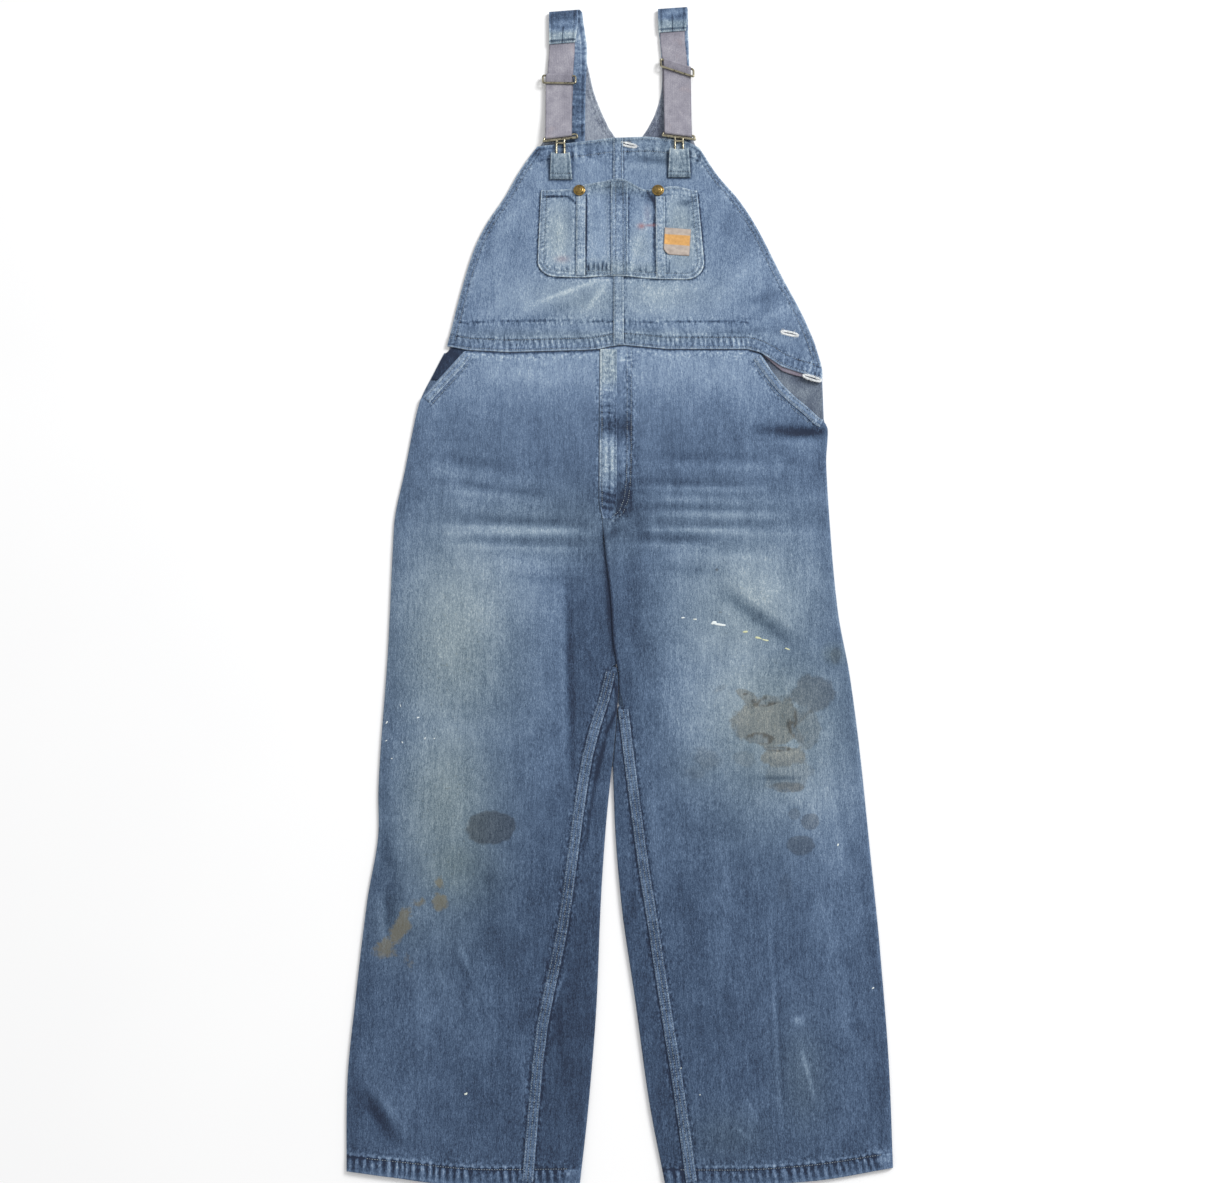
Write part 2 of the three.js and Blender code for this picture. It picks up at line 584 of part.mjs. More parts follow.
// Sewn-on square, left blank, turned a little.
const LABEL_SIZE = [36.5, 41];
const LABEL_AT = [103.5, 427.3];
const LABEL_TURN = -0.07;
function labelPoint(lift) {
  return (i, j) => {
    const u = ([0, 0.1, 0.18, 1][j] - 0.5) * LABEL_SIZE[0];
    const w = (i / 2 - 0.5) * LABEL_SIZE[1];
    const x = LABEL_AT[0] + u * Math.cos(LABEL_TURN) - w * Math.sin(LABEL_TURN);
    const y = LABEL_AT[1] + u * Math.sin(LABEL_TURN) + w * Math.cos(LABEL_TURN);
    const clear = (TRIM + 0.2) * (1 - ramp(88, 92, x));
    return [x, y, pocketSurface(x, y) + GAP + clear + lift];
  };
}
gridSolid('label_patch', 2, 3, labelPoint(0), labelPoint(TRIM), LABEL);

function rivet(name, x, y) {
  // Domed cap with a rolled rim.
  const r = RIVET_D / 2;
  const profile = [[0, 0], [r - 0.8, 0], [r, 0.5], [r, 1.1], [r - 0.7, 1.6], [r - 1.3, 1.7], [r - 2.6, 2.9],
    [r - 4.8, 3.9], [r - 6.8, 4.3], [0, 4.4]].map(([px, py]) => new THREE.Vector2(px, py));
  const cap = new THREE.LatheGeometry(profile, 20);
  cap.rotateX(Math.PI / 2);
  cap.translate(x, y, pocketSurface(x, y) + GAP + 0.15);
  finish(name, mergeVertices(stripped(cap), 1e-3), BRASS);
}
function stripped(geometry) {
  geometry.deleteAttribute('uv');
  geometry.deleteAttribute('normal');
  return geometry;
}
rivet('rivet_left', -33.4, 507);
rivet('rivet_right', 77.6, 507);

// ---- fly ----------------------------------------------------------------------------------------
layPanel('fly_placket', {
  ys: [22, 30, 42, 60, ...steps(90, 250, 6), 266.5],
  vs: [0, 0.33, 0.66, 1],
  left: (y) => middle(y) + 1.2,
  right: (y) => middle(y) + lerp(14, FLY_WIDTH + 1.2, ramp(22, 52, y)),
}, (x, y) => rightLegFloor(x, y) + CLOTH + GAP + 0.1, () => TRIM, SEAM);

// ---- braces -------------------------------------------------------------------------------------
const STRAP_LOW = 2.15;       // back of the brace where it lies on the high back
const STRAP_FRONT = 5.3;      // middle of the turned-over front end
function strap(name, low, high, fold, endAt, endX, frontX, skew) {
  const r = (STRAP_FRONT - CLOTH / 2) / 2;
  const foldAt = fold - r - CLOTH / 2;
  const mix = (t) => [lerp(low[0], high[0], t), lerp(low[1], high[1], t)];
  const taper = (t) => [lerp(high[0], frontX[0], t), lerp(high[1], frontX[1], t)];
  const turn = arc(foldAt, CLOTH / 2 + r, r, -90, 90, 6, 0, 0, skew);
  ribbon(name, [
    [566, STRAP_LOW, ...low, 0],
    [660, STRAP_LOW, ...low, 0],
    [728, STRAP_LOW, ...mix(0.5), 0],
    [742, 1.1, ...mix(0.6), skew / 4],
    [756, CLOTH / 2, ...mix(0.75), skew / 2],
    [778, CLOTH / 2, ...high, skew],
    ...turn.map(([y, z], i) => [y, z, ...taper(i / 6), skew]),
    [foldAt - 14, STRAP_FRONT, ...frontX, skew],
    [endAt, STRAP_FRONT, ...endX, skew],
  ], (high[0] + high[1]) / 2, DENIM);
}
strap('left_strap', [-65, -26], [-78.6, -30.6], 800, 745, [-78.2, -40.5], [-78.6, -36.4], 0.09);
strap('right_strap', [88, 125], [80.5, 124], 804.5, 764, [81.5, 120.5], [80.1, 122.4], 0.08);

const LOOP_AT = 5.4;          // upper bar of the clasp above its wide bar
const LOOP_Z = 8.2;
function elastic(name, start, widths, pivot, bar, slide, barSkew, slideSkew) {
  // Webbing from under the denim end, past the slider, round the clasp and back up over the slider.
  const loop = NECK_R + GAP + WEB / 2;
  const wrap = SLIDE_R + GAP + WEB / 2;
  const [top, mid, low] = widths;
  ribbon(name, [
    [start, 3.85, ...top, 0],
    [start - 24, 3.85, ...top, 0],
    [slide + 8, 4.0, ...mid, slideSkew / 2],
    [slide - 12, 4.1, ...mid, slideSkew / 2],
    [640, 4.2, ...low, 0],
    [616, 4.7, ...low, barSkew],
    [604, 5.5, ...low, barSkew],
    ...arc(bar + LOOP_AT, LOOP_Z, loop, -90, -270, 6, ...low, barSkew),
    [bar + LOOP_AT + 8, 9.8, ...low, barSkew],
    [616, 8.2, ...low, barSkew],
    [630, 6.9, ...low, barSkew / 2],
    [644, 6.2, ...low, 0],
    [slide - 16, 6.1, ...low, slideSkew / 2],
    [slide - 8, 6.1, ...low, slideSkew],
    [slide - 1, 7.4, ...low, slideSkew],
    ...arc(slide + 5.5, 6.5, wrap, 115, -10, 5, ...low, slideSkew),
  ], pivot, WEBBING, { thickness: WEB });
}
elastic('left_elastic', 761, [[-78, -41], [-80, -43], [-82.3, -44.2]], -60.5, 587, 685, 0.13, -0.02);
elastic('right_elastic', 779, [[83, 119], [85.5, 121.5], [87.5, 126.5]], 108, 590, 703.5, -0.14, -0.37);

function slider(name, x, pivot, y, length, skew) {
  // Rectangle of wire, tilted so that its lower bar rides over the webbing.
  const half = length / 2 - SLIDE_R;
  const corner = (sx, dy, z) => [x + sx * half, y + dy + skew * (x + sx * half - pivot), z];
  const a = corner(-1, -7.5, 8.3);
  const b = corner(1, -7.5, 8.3);
  const c = corner(1, 5.5, 6.5);
  const d = corner(-1, 5.5, 6.5);
  const ring = rod(a, b, SLIDE_R).add(rod(b, c, SLIDE_R)).add(rod(c, d, SLIDE_R)).add(rod(d, a, SLIDE_R));
  finish(name, fromManifold(ring), BRASS);
}
slider('left_slider', -63, -60.5, 685, 50, -0.02);
slider('right_slider', 107, 108, 703.5, 50, -0.37);

const TAB_NOTCH = 0.2;        // the clasp's legs pass through a slot in the tab's fold
function clasp(name, x, y, length, skew, foot) {
  // Flat loop for the webbing with a wide lower bar, carried by a narrow neck that hangs in the tab.
  const half = length / 2 - BAR_R;
  const z = LOOP_Z;
  const line = (s, dy) => [x + s * half, y + dy + skew * s * half, z];
  const bar = rod(line(-1, 0), line(1, 0), BAR_R);
  const loop = [rod(line(-1, LOOP_AT), line(1, LOOP_AT), NECK_R), rod(line(-1, 0), line(-1, LOOP_AT), NECK_R),
    rod(line(1, 0), line(1, LOOP_AT), NECK_R)];
  const legs = [-1, 1].map((s) => rod([x + s * 5.6, y - 0.5, z], [x + s * 5.6, foot, z], NECK_R));
  const cross = [rod([x - 5.6, y - 6, z], [x + 5.6, y - 6, z], NECK_R), rod([x - 12, foot, z], [x + 12, foot, z], NECK_R)];
  finish(name, fromManifold([...loop, ...legs, ...cross].reduce((sum, part) => sum.add(part), bar)), BRASS);
}

function tab(name, bottom, top, from, foot) {
  // Denim loop sewn to the bib, folded round the foot of the clasp.
  const z = LOOP_Z;
  const r = NECK_R + GAP + 0.5;
  const to = foot + r + 0.5;
  const at = (y) => {
    const t = (y - from) / (to - from);
    return [lerp(bottom[0], top[0], t), lerp(bottom[1], top[1], t)];
  };
  const seat = (y) => bibSurface((bottom[0] + bottom[1]) / 2, y) + GAP + 0.65;
  const rows = [from, from + 10, from + 22, foot - 6];
  const low = rows.map((y) => [y, seat(y), ...at(y), 0]);
  const rise = [z + r, lerp(z + r, seat(from) + 1.45, 0.55), seat(from) + 1.5, seat(from) + 1.45];
  const high = [...rows].reverse().map((y, i) => [y, Math.max(rise[i], seat(y) + 1.45), ...at(y), 0]);
  const turn = arc(foot, z, r, -90, 90, 6, ...at(to), 0);
  const stations = [...low, ...turn, ...high];
  ribbon(name, stations, 0, DENIM_PALE, { thickness: 1.0, across: [0, TAB_NOTCH, 1 - TAB_NOTCH, 1],
    notch: [low.length, low.length + turn.length - 1] });
}
clasp('left_clasp', -60.5, 587, 51, 0.13, 563);
clasp('right_clasp', 108, 590, 49, -0.14, 570);
tab('left_tab', [-75, -43.5], [-73.8, -47.2], 525, 563);
tab('right_tab', [92, 124], [94.7, 121.3], 528, 570);

export default group;
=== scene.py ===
"""Worn bib dungarees in faded denim, laid flat on their back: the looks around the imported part.

Shapes are worked out in garment millimetres: +Y runs from the hems to the braces, +X to the right of whoever
looks at the bib, +Z up off the floor. A mesh is moved to the frame and turned to metres when it is made.
"""

import sys

import logging
import math
from collections.abc import Callable, Sequence
from dataclasses import dataclass, field
from enum import Enum

import bpy
import numpy as np
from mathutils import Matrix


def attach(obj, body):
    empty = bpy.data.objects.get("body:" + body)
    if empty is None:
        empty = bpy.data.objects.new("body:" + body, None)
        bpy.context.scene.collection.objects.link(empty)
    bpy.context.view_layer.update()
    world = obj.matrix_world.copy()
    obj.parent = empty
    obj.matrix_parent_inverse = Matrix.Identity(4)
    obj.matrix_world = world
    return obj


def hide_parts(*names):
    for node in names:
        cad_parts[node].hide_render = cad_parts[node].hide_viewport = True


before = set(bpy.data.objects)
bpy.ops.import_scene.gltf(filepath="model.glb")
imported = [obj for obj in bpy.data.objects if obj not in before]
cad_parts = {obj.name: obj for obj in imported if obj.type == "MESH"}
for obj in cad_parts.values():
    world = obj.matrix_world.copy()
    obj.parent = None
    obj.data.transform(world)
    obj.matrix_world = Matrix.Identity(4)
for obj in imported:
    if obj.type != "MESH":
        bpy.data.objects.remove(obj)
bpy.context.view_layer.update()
LOG = logging.getLogger("dungarees")

Array = np.ndarray
Points = Sequence[Sequence[float]]
Line = Callable[[Array], Array]
Plan = Callable[[Array, Array], Array]
Fields = dict[str, Array]

# ---- driving sizes, as in the part ---------------------------------------------------------------
CLOTH = 1.2  # denim wall
AIR = 2.4  # air between the back and the front
GAP = 0.3  # clearance between pieces
HALF = GAP / 2
BAND_EXTRA = 0.7  # extra where a hem or band is turned under
TURN = 2.2  # plan radius where the back panel turns round the inner leg
HEM_BAND = 17.0
BIB_BAND = 17.0
BIB_TOP_BAND = 25.0
BIB_CENTRE = 21.5
FELL_BIB = 14.0
FELL_LEG = 13.0
FLY_WIDTH = 23.0
MOUTH_BAND = 11.0
CENTRE = (-19.0, 4.4)
CROTCH_LEFT = -180.0
CROTCH_RIGHT = -232.0
WAIST_BACK = 262.0
PARTED = -310.0  # where the legs part
HEM_ROW = -814.0  # first row of a leg; below it the cloth is drawn to the hem's own curve
HEM_REACH = 60.0  # how far up a leg that curve is felt
LEFT_HEM_X = (-308.0, 280.0)  # where each hem starts, and its width
RIGHT_HEM_X = (75.0, 274.0)
MOUTH_STITCH = 15.5  # stitch line below a pocket mouth, from the mouth

# ---- what the looks add --------------------------------------------------------------------------
SIT = 0.04  # clearance under a piece that is sewn down
EDGE_STEPS = (0.35, 1.0)  # distances of the closest rows and columns from every edge
EDGE_SHARES = (0.5, 0.86)  # share of the full thickness on the two outermost of them
THREAD_LIFT = 0.14  # height of a stitch's middle above the cloth
CREASE_WEAR_AND_SHADE = 1.4  # how strongly creases paint the cloth: worn paleness, and painted shade and light along them
RIDGE_WEAR_AND_LIGHT = 0.07  # extra paleness for each millimetre that a crease stands up, darkness where it sinks: worn ridges, painted light on ridges and painted shade in troughs
NO_STAIN = -3.0  # what a stain's field says well outside it
TWILL = (5200.0, 3400.0)  # the weave's diagonal: radians for each metre along X and Y
NOTCH = (0.2, 0.8)  # sides of the slot in a folded band, as shares of its width


# ---- small maths ---------------------------------------------------------------------------------
def lerp(a: Array | float, b: Array | float, t: Array | float) -> Array | float:
    """Blend from a to b by t."""
    return a + (b - a) * t


def ramp(a: float, b: float, t: Array | float) -> Array | float:
    """Smooth step: 0 at a, 1 at b."""
    s = np.clip((t - a) / (b - a), 0.0, 1.0)
    return s * s * (3 - 2 * s)


def bump(distance: Array, width: float) -> Array:
    """Bell curve of a distance: 1 at 0, near 0 past twice the width."""
    return np.exp(-((distance / width) ** 2))


def rolled(distance: Array, reach: float) -> Array:
    """0 at an edge, 1 from `reach` inwards, rising like a quarter circle."""
    s = np.clip(distance / reach, 0.0, 1.0)
    return np.sqrt(np.maximum(1 - (1 - s) ** 2, 0.0))


@dataclass(frozen=True)
class Curve:
    """Smooth single-valued curve through (t, value) pairs that never overshoots its points."""

    points: Points

    def __call__(self, t: Array | float) -> Array:
        """Value of the curve at t, which is held inside the curve's own range."""
        pairs = np.array(self.points, float)
        x, v = pairs[:, 0], pairs[:, 1]
        d = np.diff(v) / np.diff(x)
        slope = np.zeros(len(v))
        same = d[:-1] * d[1:] > 0
        total = np.where(same, d[:-1] + d[1:], 1.0)
        slope[1:-1] = np.where(same, 2 * d[:-1] * d[1:] / total, 0.0)
        slope[0], slope[-1] = d[0], d[-1]
        at = np.clip(t, x[0], x[-1])
        i = np.clip(np.searchsorted(x, at) - 1, 0, len(x) - 2)
        span = x[i + 1] - x[i]
        s = (at - x[i]) / span
        bend = span * (slope[i] * s * (1 - s) ** 2 - slope[i + 1] * s * s * (1 - s))
        return v[i] + (v[i + 1] - v[i]) * s * s * (3 - 2 * s) + bend


@dataclass(frozen=True)
class Broken:
    """Broken straight line through (t, value) pairs."""

    points: Points

    def __call__(self, t: Array | float) -> Array:
        """Value of the line at t."""
        pairs = np.array(self.points, float)
        return np.interp(t, pairs[:, 0], pairs[:, 1])


def upright(x: float) -> Line:
    """A straight line up the garment at that x."""
    return lambda y: x + 0 * y


def level(height: float) -> Plan:
    """The same height everywhere."""
    return lambda x, y: height + 0 * x


def chance(ix: Array, iy: Array, seed: int) -> Array:
    """Repeatable numbers from 0 to 1 for whole-number cells."""
    n = (ix.astype(np.int64) * 374761393 + iy.astype(np.int64) * 668265263 + seed * 974634777) & 0xFFFFFFFF
    n = ((n ^ (n >> 13)) * 1274126177) & 0xFFFFFFFF
    return ((n ^ (n >> 16)) & 0xFFFF) / 65535.0


def mottle(x: Array, y: Array, wide: float, tall: float, seed: int, octaves: int = 1) -> Array:
    """Smooth repeatable noise from -1 to 1.

    Args:
        x, y: where, in millimetres.
        wide, tall: size of one patch along X and Y.
        seed: which pattern.
        octaves: finer layers on top of the first, each half its size and strength.

    Returns:
        The noise at each place.
    """
    total = np.zeros(np.broadcast(x, y).shape)
    weight = 0.0
    for k in range(octaves):
        u, v = np.broadcast_arrays(np.asarray(x, float) / wide * 2**k, np.asarray(y, float) / tall * 2**k)
        iu, iv = np.floor(u), np.floor(v)
        fu, fv = u - iu, v - iv
        fu, fv = fu * fu * (3 - 2 * fu), fv * fv * (3 - 2 * fv)
        near = lerp(chance(iu, iv, seed + k), chance(iu + 1, iv, seed + k), fu)
        far = lerp(chance(iu, iv + 1, seed + k), chance(iu + 1, iv + 1, seed + k), fu)
        total += (2 * lerp(near, far, fv) - 1) / 2**k
        weight += 1 / 2**k
    return total / weight


def along(x: Array, y: Array, path: Points) -> tuple[Array, Array]:
    """How far along a broken line each point is, and how far off it.

    Args:
        x, y: points in plan.
        path: the line's points.

    Returns:
        Distance run along the line, and signed distance from it, positive on its left.
    """
    line = np.array(path, float)
    best = np.full(np.shape(x), 1e9)
    run = np.zeros(np.shape(x))
    off = np.zeros(np.shape(x))
    start = 0.0
    for a, b in zip(line[:-1], line[1:]):
        d = b - a
        length = float(np.hypot(*d))
        t = np.clip(((x - a[0]) * d[0] + (y - a[1]) * d[1]) / length**2, 0, 1)
        dx, dy = x - a[0] - t * d[0], y - a[1] - t * d[1]
        far = np.hypot(dx, dy)
        side = np.sign(d[0] * dy - d[1] * dx)
        closer = far < best
        best = np.where(closer, far, best)
        run = np.where(closer, start + t * length, run)
        off = np.where(closer, far * side, off)
        start += length
    return run, off


def walk(path: Points, step: float) -> Array:
    """A broken line cut into even steps, as an (n, k) array; only X and Y measure its length."""
    line = np.array(path, float)
    lengths = np.hypot(*np.diff(line[:, :2], axis=0).T)
    at = np.concatenate([[0.0], np.cumsum(lengths)])
    even = np.linspace(0, at[-1], max(int(round(at[-1] / step)), 1) + 1)
    return np.stack([np.interp(even, at, line[:, k]) for k in range(line.shape[1])], axis=1)


def headings(line: Array) -> Array:
    """Unit vectors along an (n, 2) line at each of its points."""
    ahead = np.gradient(line, axis=0)
    return ahead / np.hypot(ahead[:, 0], ahead[:, 1])[:, None]


# ---- outlines: few points, joined by smooth curves -----------------------------------------------
LEFT_SIDE = Curve([(-816, -308), (-700, -312), (-600, -306), (-480, -296), (-390, -285), (-340, -287),
                   (-150, -281), (10, -279), (90, -267), (190, -249.5), (232, -232), (271, -214)])
RIGHT_SIDE = Curve([(-816, 349), (-700, 350), (-540, 345), (-420, 338), (-290, 330), (-190, 321),
                    (-105, 309), (-20, 304), (100, 301), (148, 304.5), (165, 300), (229, 300),
                    (271, 292)])
LEFT_GAP = Curve([(-818, -28), (-720, -17), (-600, -7.5), (-480, -2.5), (-385, 4), (PARTED, 11.6)])
RIGHT_GAP = Curve([(-818, 75), (-720, 56), (-600, 39.5), (-480, 22.5), (-385, 15), (PARTED, 12.4)])
MIDDLE = Curve([(PARTED, 12), (-232, 19), (-200, 20.5), (-145, 13), (-90, 10), (-36, 4), (5, 0),
                (19, -1), (48, -6), (272, -5)])
LEFT_INSEAM = Curve([(-818, -91), (-700, -82), (-635, -75), (-510, -50), (-430, -39), (-360, -30),
                     (-283, -17), (-224, 1), (-180, 11.5)])
RIGHT_INSEAM = Curve([(-818, 107), (-706, 92), (-612, 77.5), (-507, 62), (-430, 50), (-368, 42),
                      (-300, 33.5), (-232, 25.7)])
LEFT_HEM = Curve([(0, -800), (0.25, -807), (0.6, -815), (1, -814)])
RIGHT_HEM = Curve([(0, -815), (0.3, -815.5), (0.6, -811), (1, -796)])
BIB_LEFT = Curve([(255, -218), (270, -214.6), (340, -200), (415, -181), (455, -164.5), (500, -138),
                  (540, -118), (580, -92.5)])
BIB_RIGHT = Curve([(215, 297), (229, 300), (266, 293), (303, 281.5), (378, 248), (455, 214),
                   (494, 191.5), (533, 162), (577, 136.5)])
BACK_LEFT = Curve([(262, -213), (340, -196), (415, -177), (455, -160), (500, -134), (540, -113),
                   (575, -92), (615, -76), (726, -72)])
BACK_RIGHT = Curve([(262, 290), (303, 278), (378, 244), (455, 210), (494, 187), (533, 157), (575, 134),
                    (615, 124), (726, 124)])
WAIST = [(-214.6, 271), (-185, 265), (-130, 262), (-27, 265), (-5.2, 266.5), (9, 270.3), (21.5, 272.2),
         (29, 272.5), (88, 266.5), (198, 266.5)]
FLAP_EDGE = [(217, 260.5), (245, 240), (276, 229), (298, 220)]
MOUTH_LEFT = [(-249, 192), (-245, 195.5), (-234, 209), (-220, 226), (-205, 243), (-191, 261.5)]
MOUTH_RIGHT = [(216, 258), (231, 234), (246, 213), (262, 196), (279, 181), (301, 158)]
BIB_TOP = [(-92.5, 578), (-38, 584.5), (12, 591.5), (64, 593.5), (117, 587.5), (136.5, 576.5)]
NECKLINE = [(-72, 724), (-25, 724), (-20, 700), (-14, 670), (-8.5, 652), (0, 629), (8, 610), (19, 592),
            (36, 580), (54, 592), (65, 610), (74, 629), (80, 648), (84.5, 670), (86, 700), (88, 724),
            (124, 724)]
BIB_LOW_AT = Broken([*WAIST, *FLAP_EDGE])
BIB_TOP_AT = Broken(BIB_TOP)


def left_inner(y: Array) -> Array:
    """Inner edge of the left leg: the gap below, the middle line above."""
    return np.where(y < PARTED, LEFT_GAP(y), MIDDLE(y))


def right_inner(y: Array) -> Array:
    """Inner edge of the right leg: the gap below, the middle line above."""
    return np.where(y < PARTED, RIGHT_GAP(y), MIDDLE(y))


def left_hem_at(x: Array) -> Array:
    """Bottom edge of the left leg at x."""
    return LEFT_HEM((x - LEFT_HEM_X[0]) / LEFT_HEM_X[1])


def right_hem_at(x: Array) -> Array:
    """Bottom edge of the right leg at x."""
    return RIGHT_HEM((x - RIGHT_HEM_X[0]) / RIGHT_HEM_X[1])


# ---- creases and seams: what gives a panel its height, its wear and its painted light and shade ---
@dataclass(frozen=True)
class Crease:
    """A soft ridge or trough along a straight line, strongest in its middle.

    Height is in millimetres. Pale is how much lighter (or darker, below 0) the cloth is along it: worn
    ridges, and painted light on ridges and painted shade in troughs.
    """

    start: tuple[float, float]
    end: tuple[float, float]
    width: float
    height: float
    pale: float = 0.0

    def strength(self, x: Array, y: Array) -> Array:
        """How strongly the crease is felt at each point, from 0 to 1."""
        dx, dy = self.end[0] - self.start[0], self.end[1] - self.start[1]
        t = np.clip(((x - self.start[0]) * dx + (y - self.start[1]) * dy) / (dx * dx + dy * dy), 0, 1)
        off = np.hypot(x - self.start[0] - t * dx, y - self.start[1] - t * dy)
        return bump(off, self.width) * (0.35 + 0.65 * np.sin(np.pi * t))


@dataclass(frozen=True)
class Patch:
    """A soft oval: middle, half sizes along its own axes, turn in degrees, and strength."""

    at: tuple[float, float]
    size: tuple[float, float]
    strength: float
    turn: float = 0.0

    def reach(self, x: Array, y: Array) -> Array:
        """Distance from the middle as a share of the oval's own size: 1 on its rim."""
        a = math.radians(self.turn)
        dx, dy = x - self.at[0], y - self.at[1]
        u = (dx * math.cos(a) + dy * math.sin(a)) / self.size[0]
        v = (dy * math.cos(a) - dx * math.sin(a)) / self.size[1]
        return np.hypot(u, v)

    def soft(self, x: Array, y: Array) -> Array:
        """The patch as a bell."""
        return self.strength * np.exp(-(self.reach(x, y) ** 2))

    def edge(self, x: Array, y: Array) -> Array:
        """Positive inside the oval, 0 on its rim, negative outside."""
        return self.strength * (1 - self.reach(x, y))


@dataclass(frozen=True)
class Seam:
    """Puckers that a line of stitching draws into the cloth beside it.

    Args:
        path: the stitched line in plan.
        period: length of one pucker along the line.
        lift: height of the puckers.
        pale: how much paler their tops and darker their troughs are: worn tops, and painted light and shade
            on the puckers.
        inside, outside: how far they run to the left and the right of the line.
        slant: how much a pucker leans along the line for each millimetre across.
        groove: how dark the sunk stitch line is: unworn cloth, with painted shade in the groove.
        seed: which of the irregular patterns.
    """

    path: Points
    period: float = 6.5
    lift: float = 0.35
    pale: float = 0.12
    inside: float = 6.0
    outside: float = 6.0
    slant: float = 0.3
    groove: float = 0.1
    seed: int = 1

    def wave(self, run: Array, off: Array) -> Array:
        """The pucker pattern itself, from about -1 to 1."""
        jitter = mottle(run, off * 0, self.period * 2.2, 9.0, self.seed) * self.period * 0.55
        phase = (run + jitter + self.slant * off) / self.period
        size = 0.55 + 0.45 * mottle(run, off * 0 + 4.0, self.period * 3.1, 9.0, self.seed + 7)
        return np.sin(2 * np.pi * phase) * size

    def felt(self, x: Array, y: Array) -> tuple[Array, Array]:
        """Height and paleness that the seam adds at each point."""
        run, off = along(x, y, self.path)
        near = np.where(off > 0, bump(off, self.inside), bump(off, self.outside))
        wave = self.wave(run, off)
        line = bump(off, 1.1)
        return near * wave * self.lift - 0.3 * line, near * wave * self.pale - self.groove * line


FOLDS = [
    Crease((-42, -60), (-40, -330), 16, -0.9), Crease((-75, -60), (-72, -330), 26, 1.1),
    Crease((-292, -360), (-262, -430), 14, 1.3), Crease((-305, -705), (-250, -765), 12, -1.2),
    Crease((-300, -660), (-230, -745), 18, 1.2), Crease((-190, -150), (-60, -40), 34, 0.9),
    Crease((-200, -560), (-120, -700), 30, 0.8), Crease((150, -70), (246, -146), 16, -1.1),
    Crease((165, -40), (262, -112), 20, 1.2), Crease((60, -20), (210, -8), 14, -0.7),
    Crease((80, -150), (130, -330), 30, 0.8), Crease((200, -380), (285, -330), 24, 0.9),
    Crease((215, -352), (262, -372), 9, -1.0), Crease((190, -560), (260, -720), 34, 0.9),
    Crease((120, -700), (200, -740), 30, 0.6), Crease((240, 165), (300, 130), 12, -0.8),
]

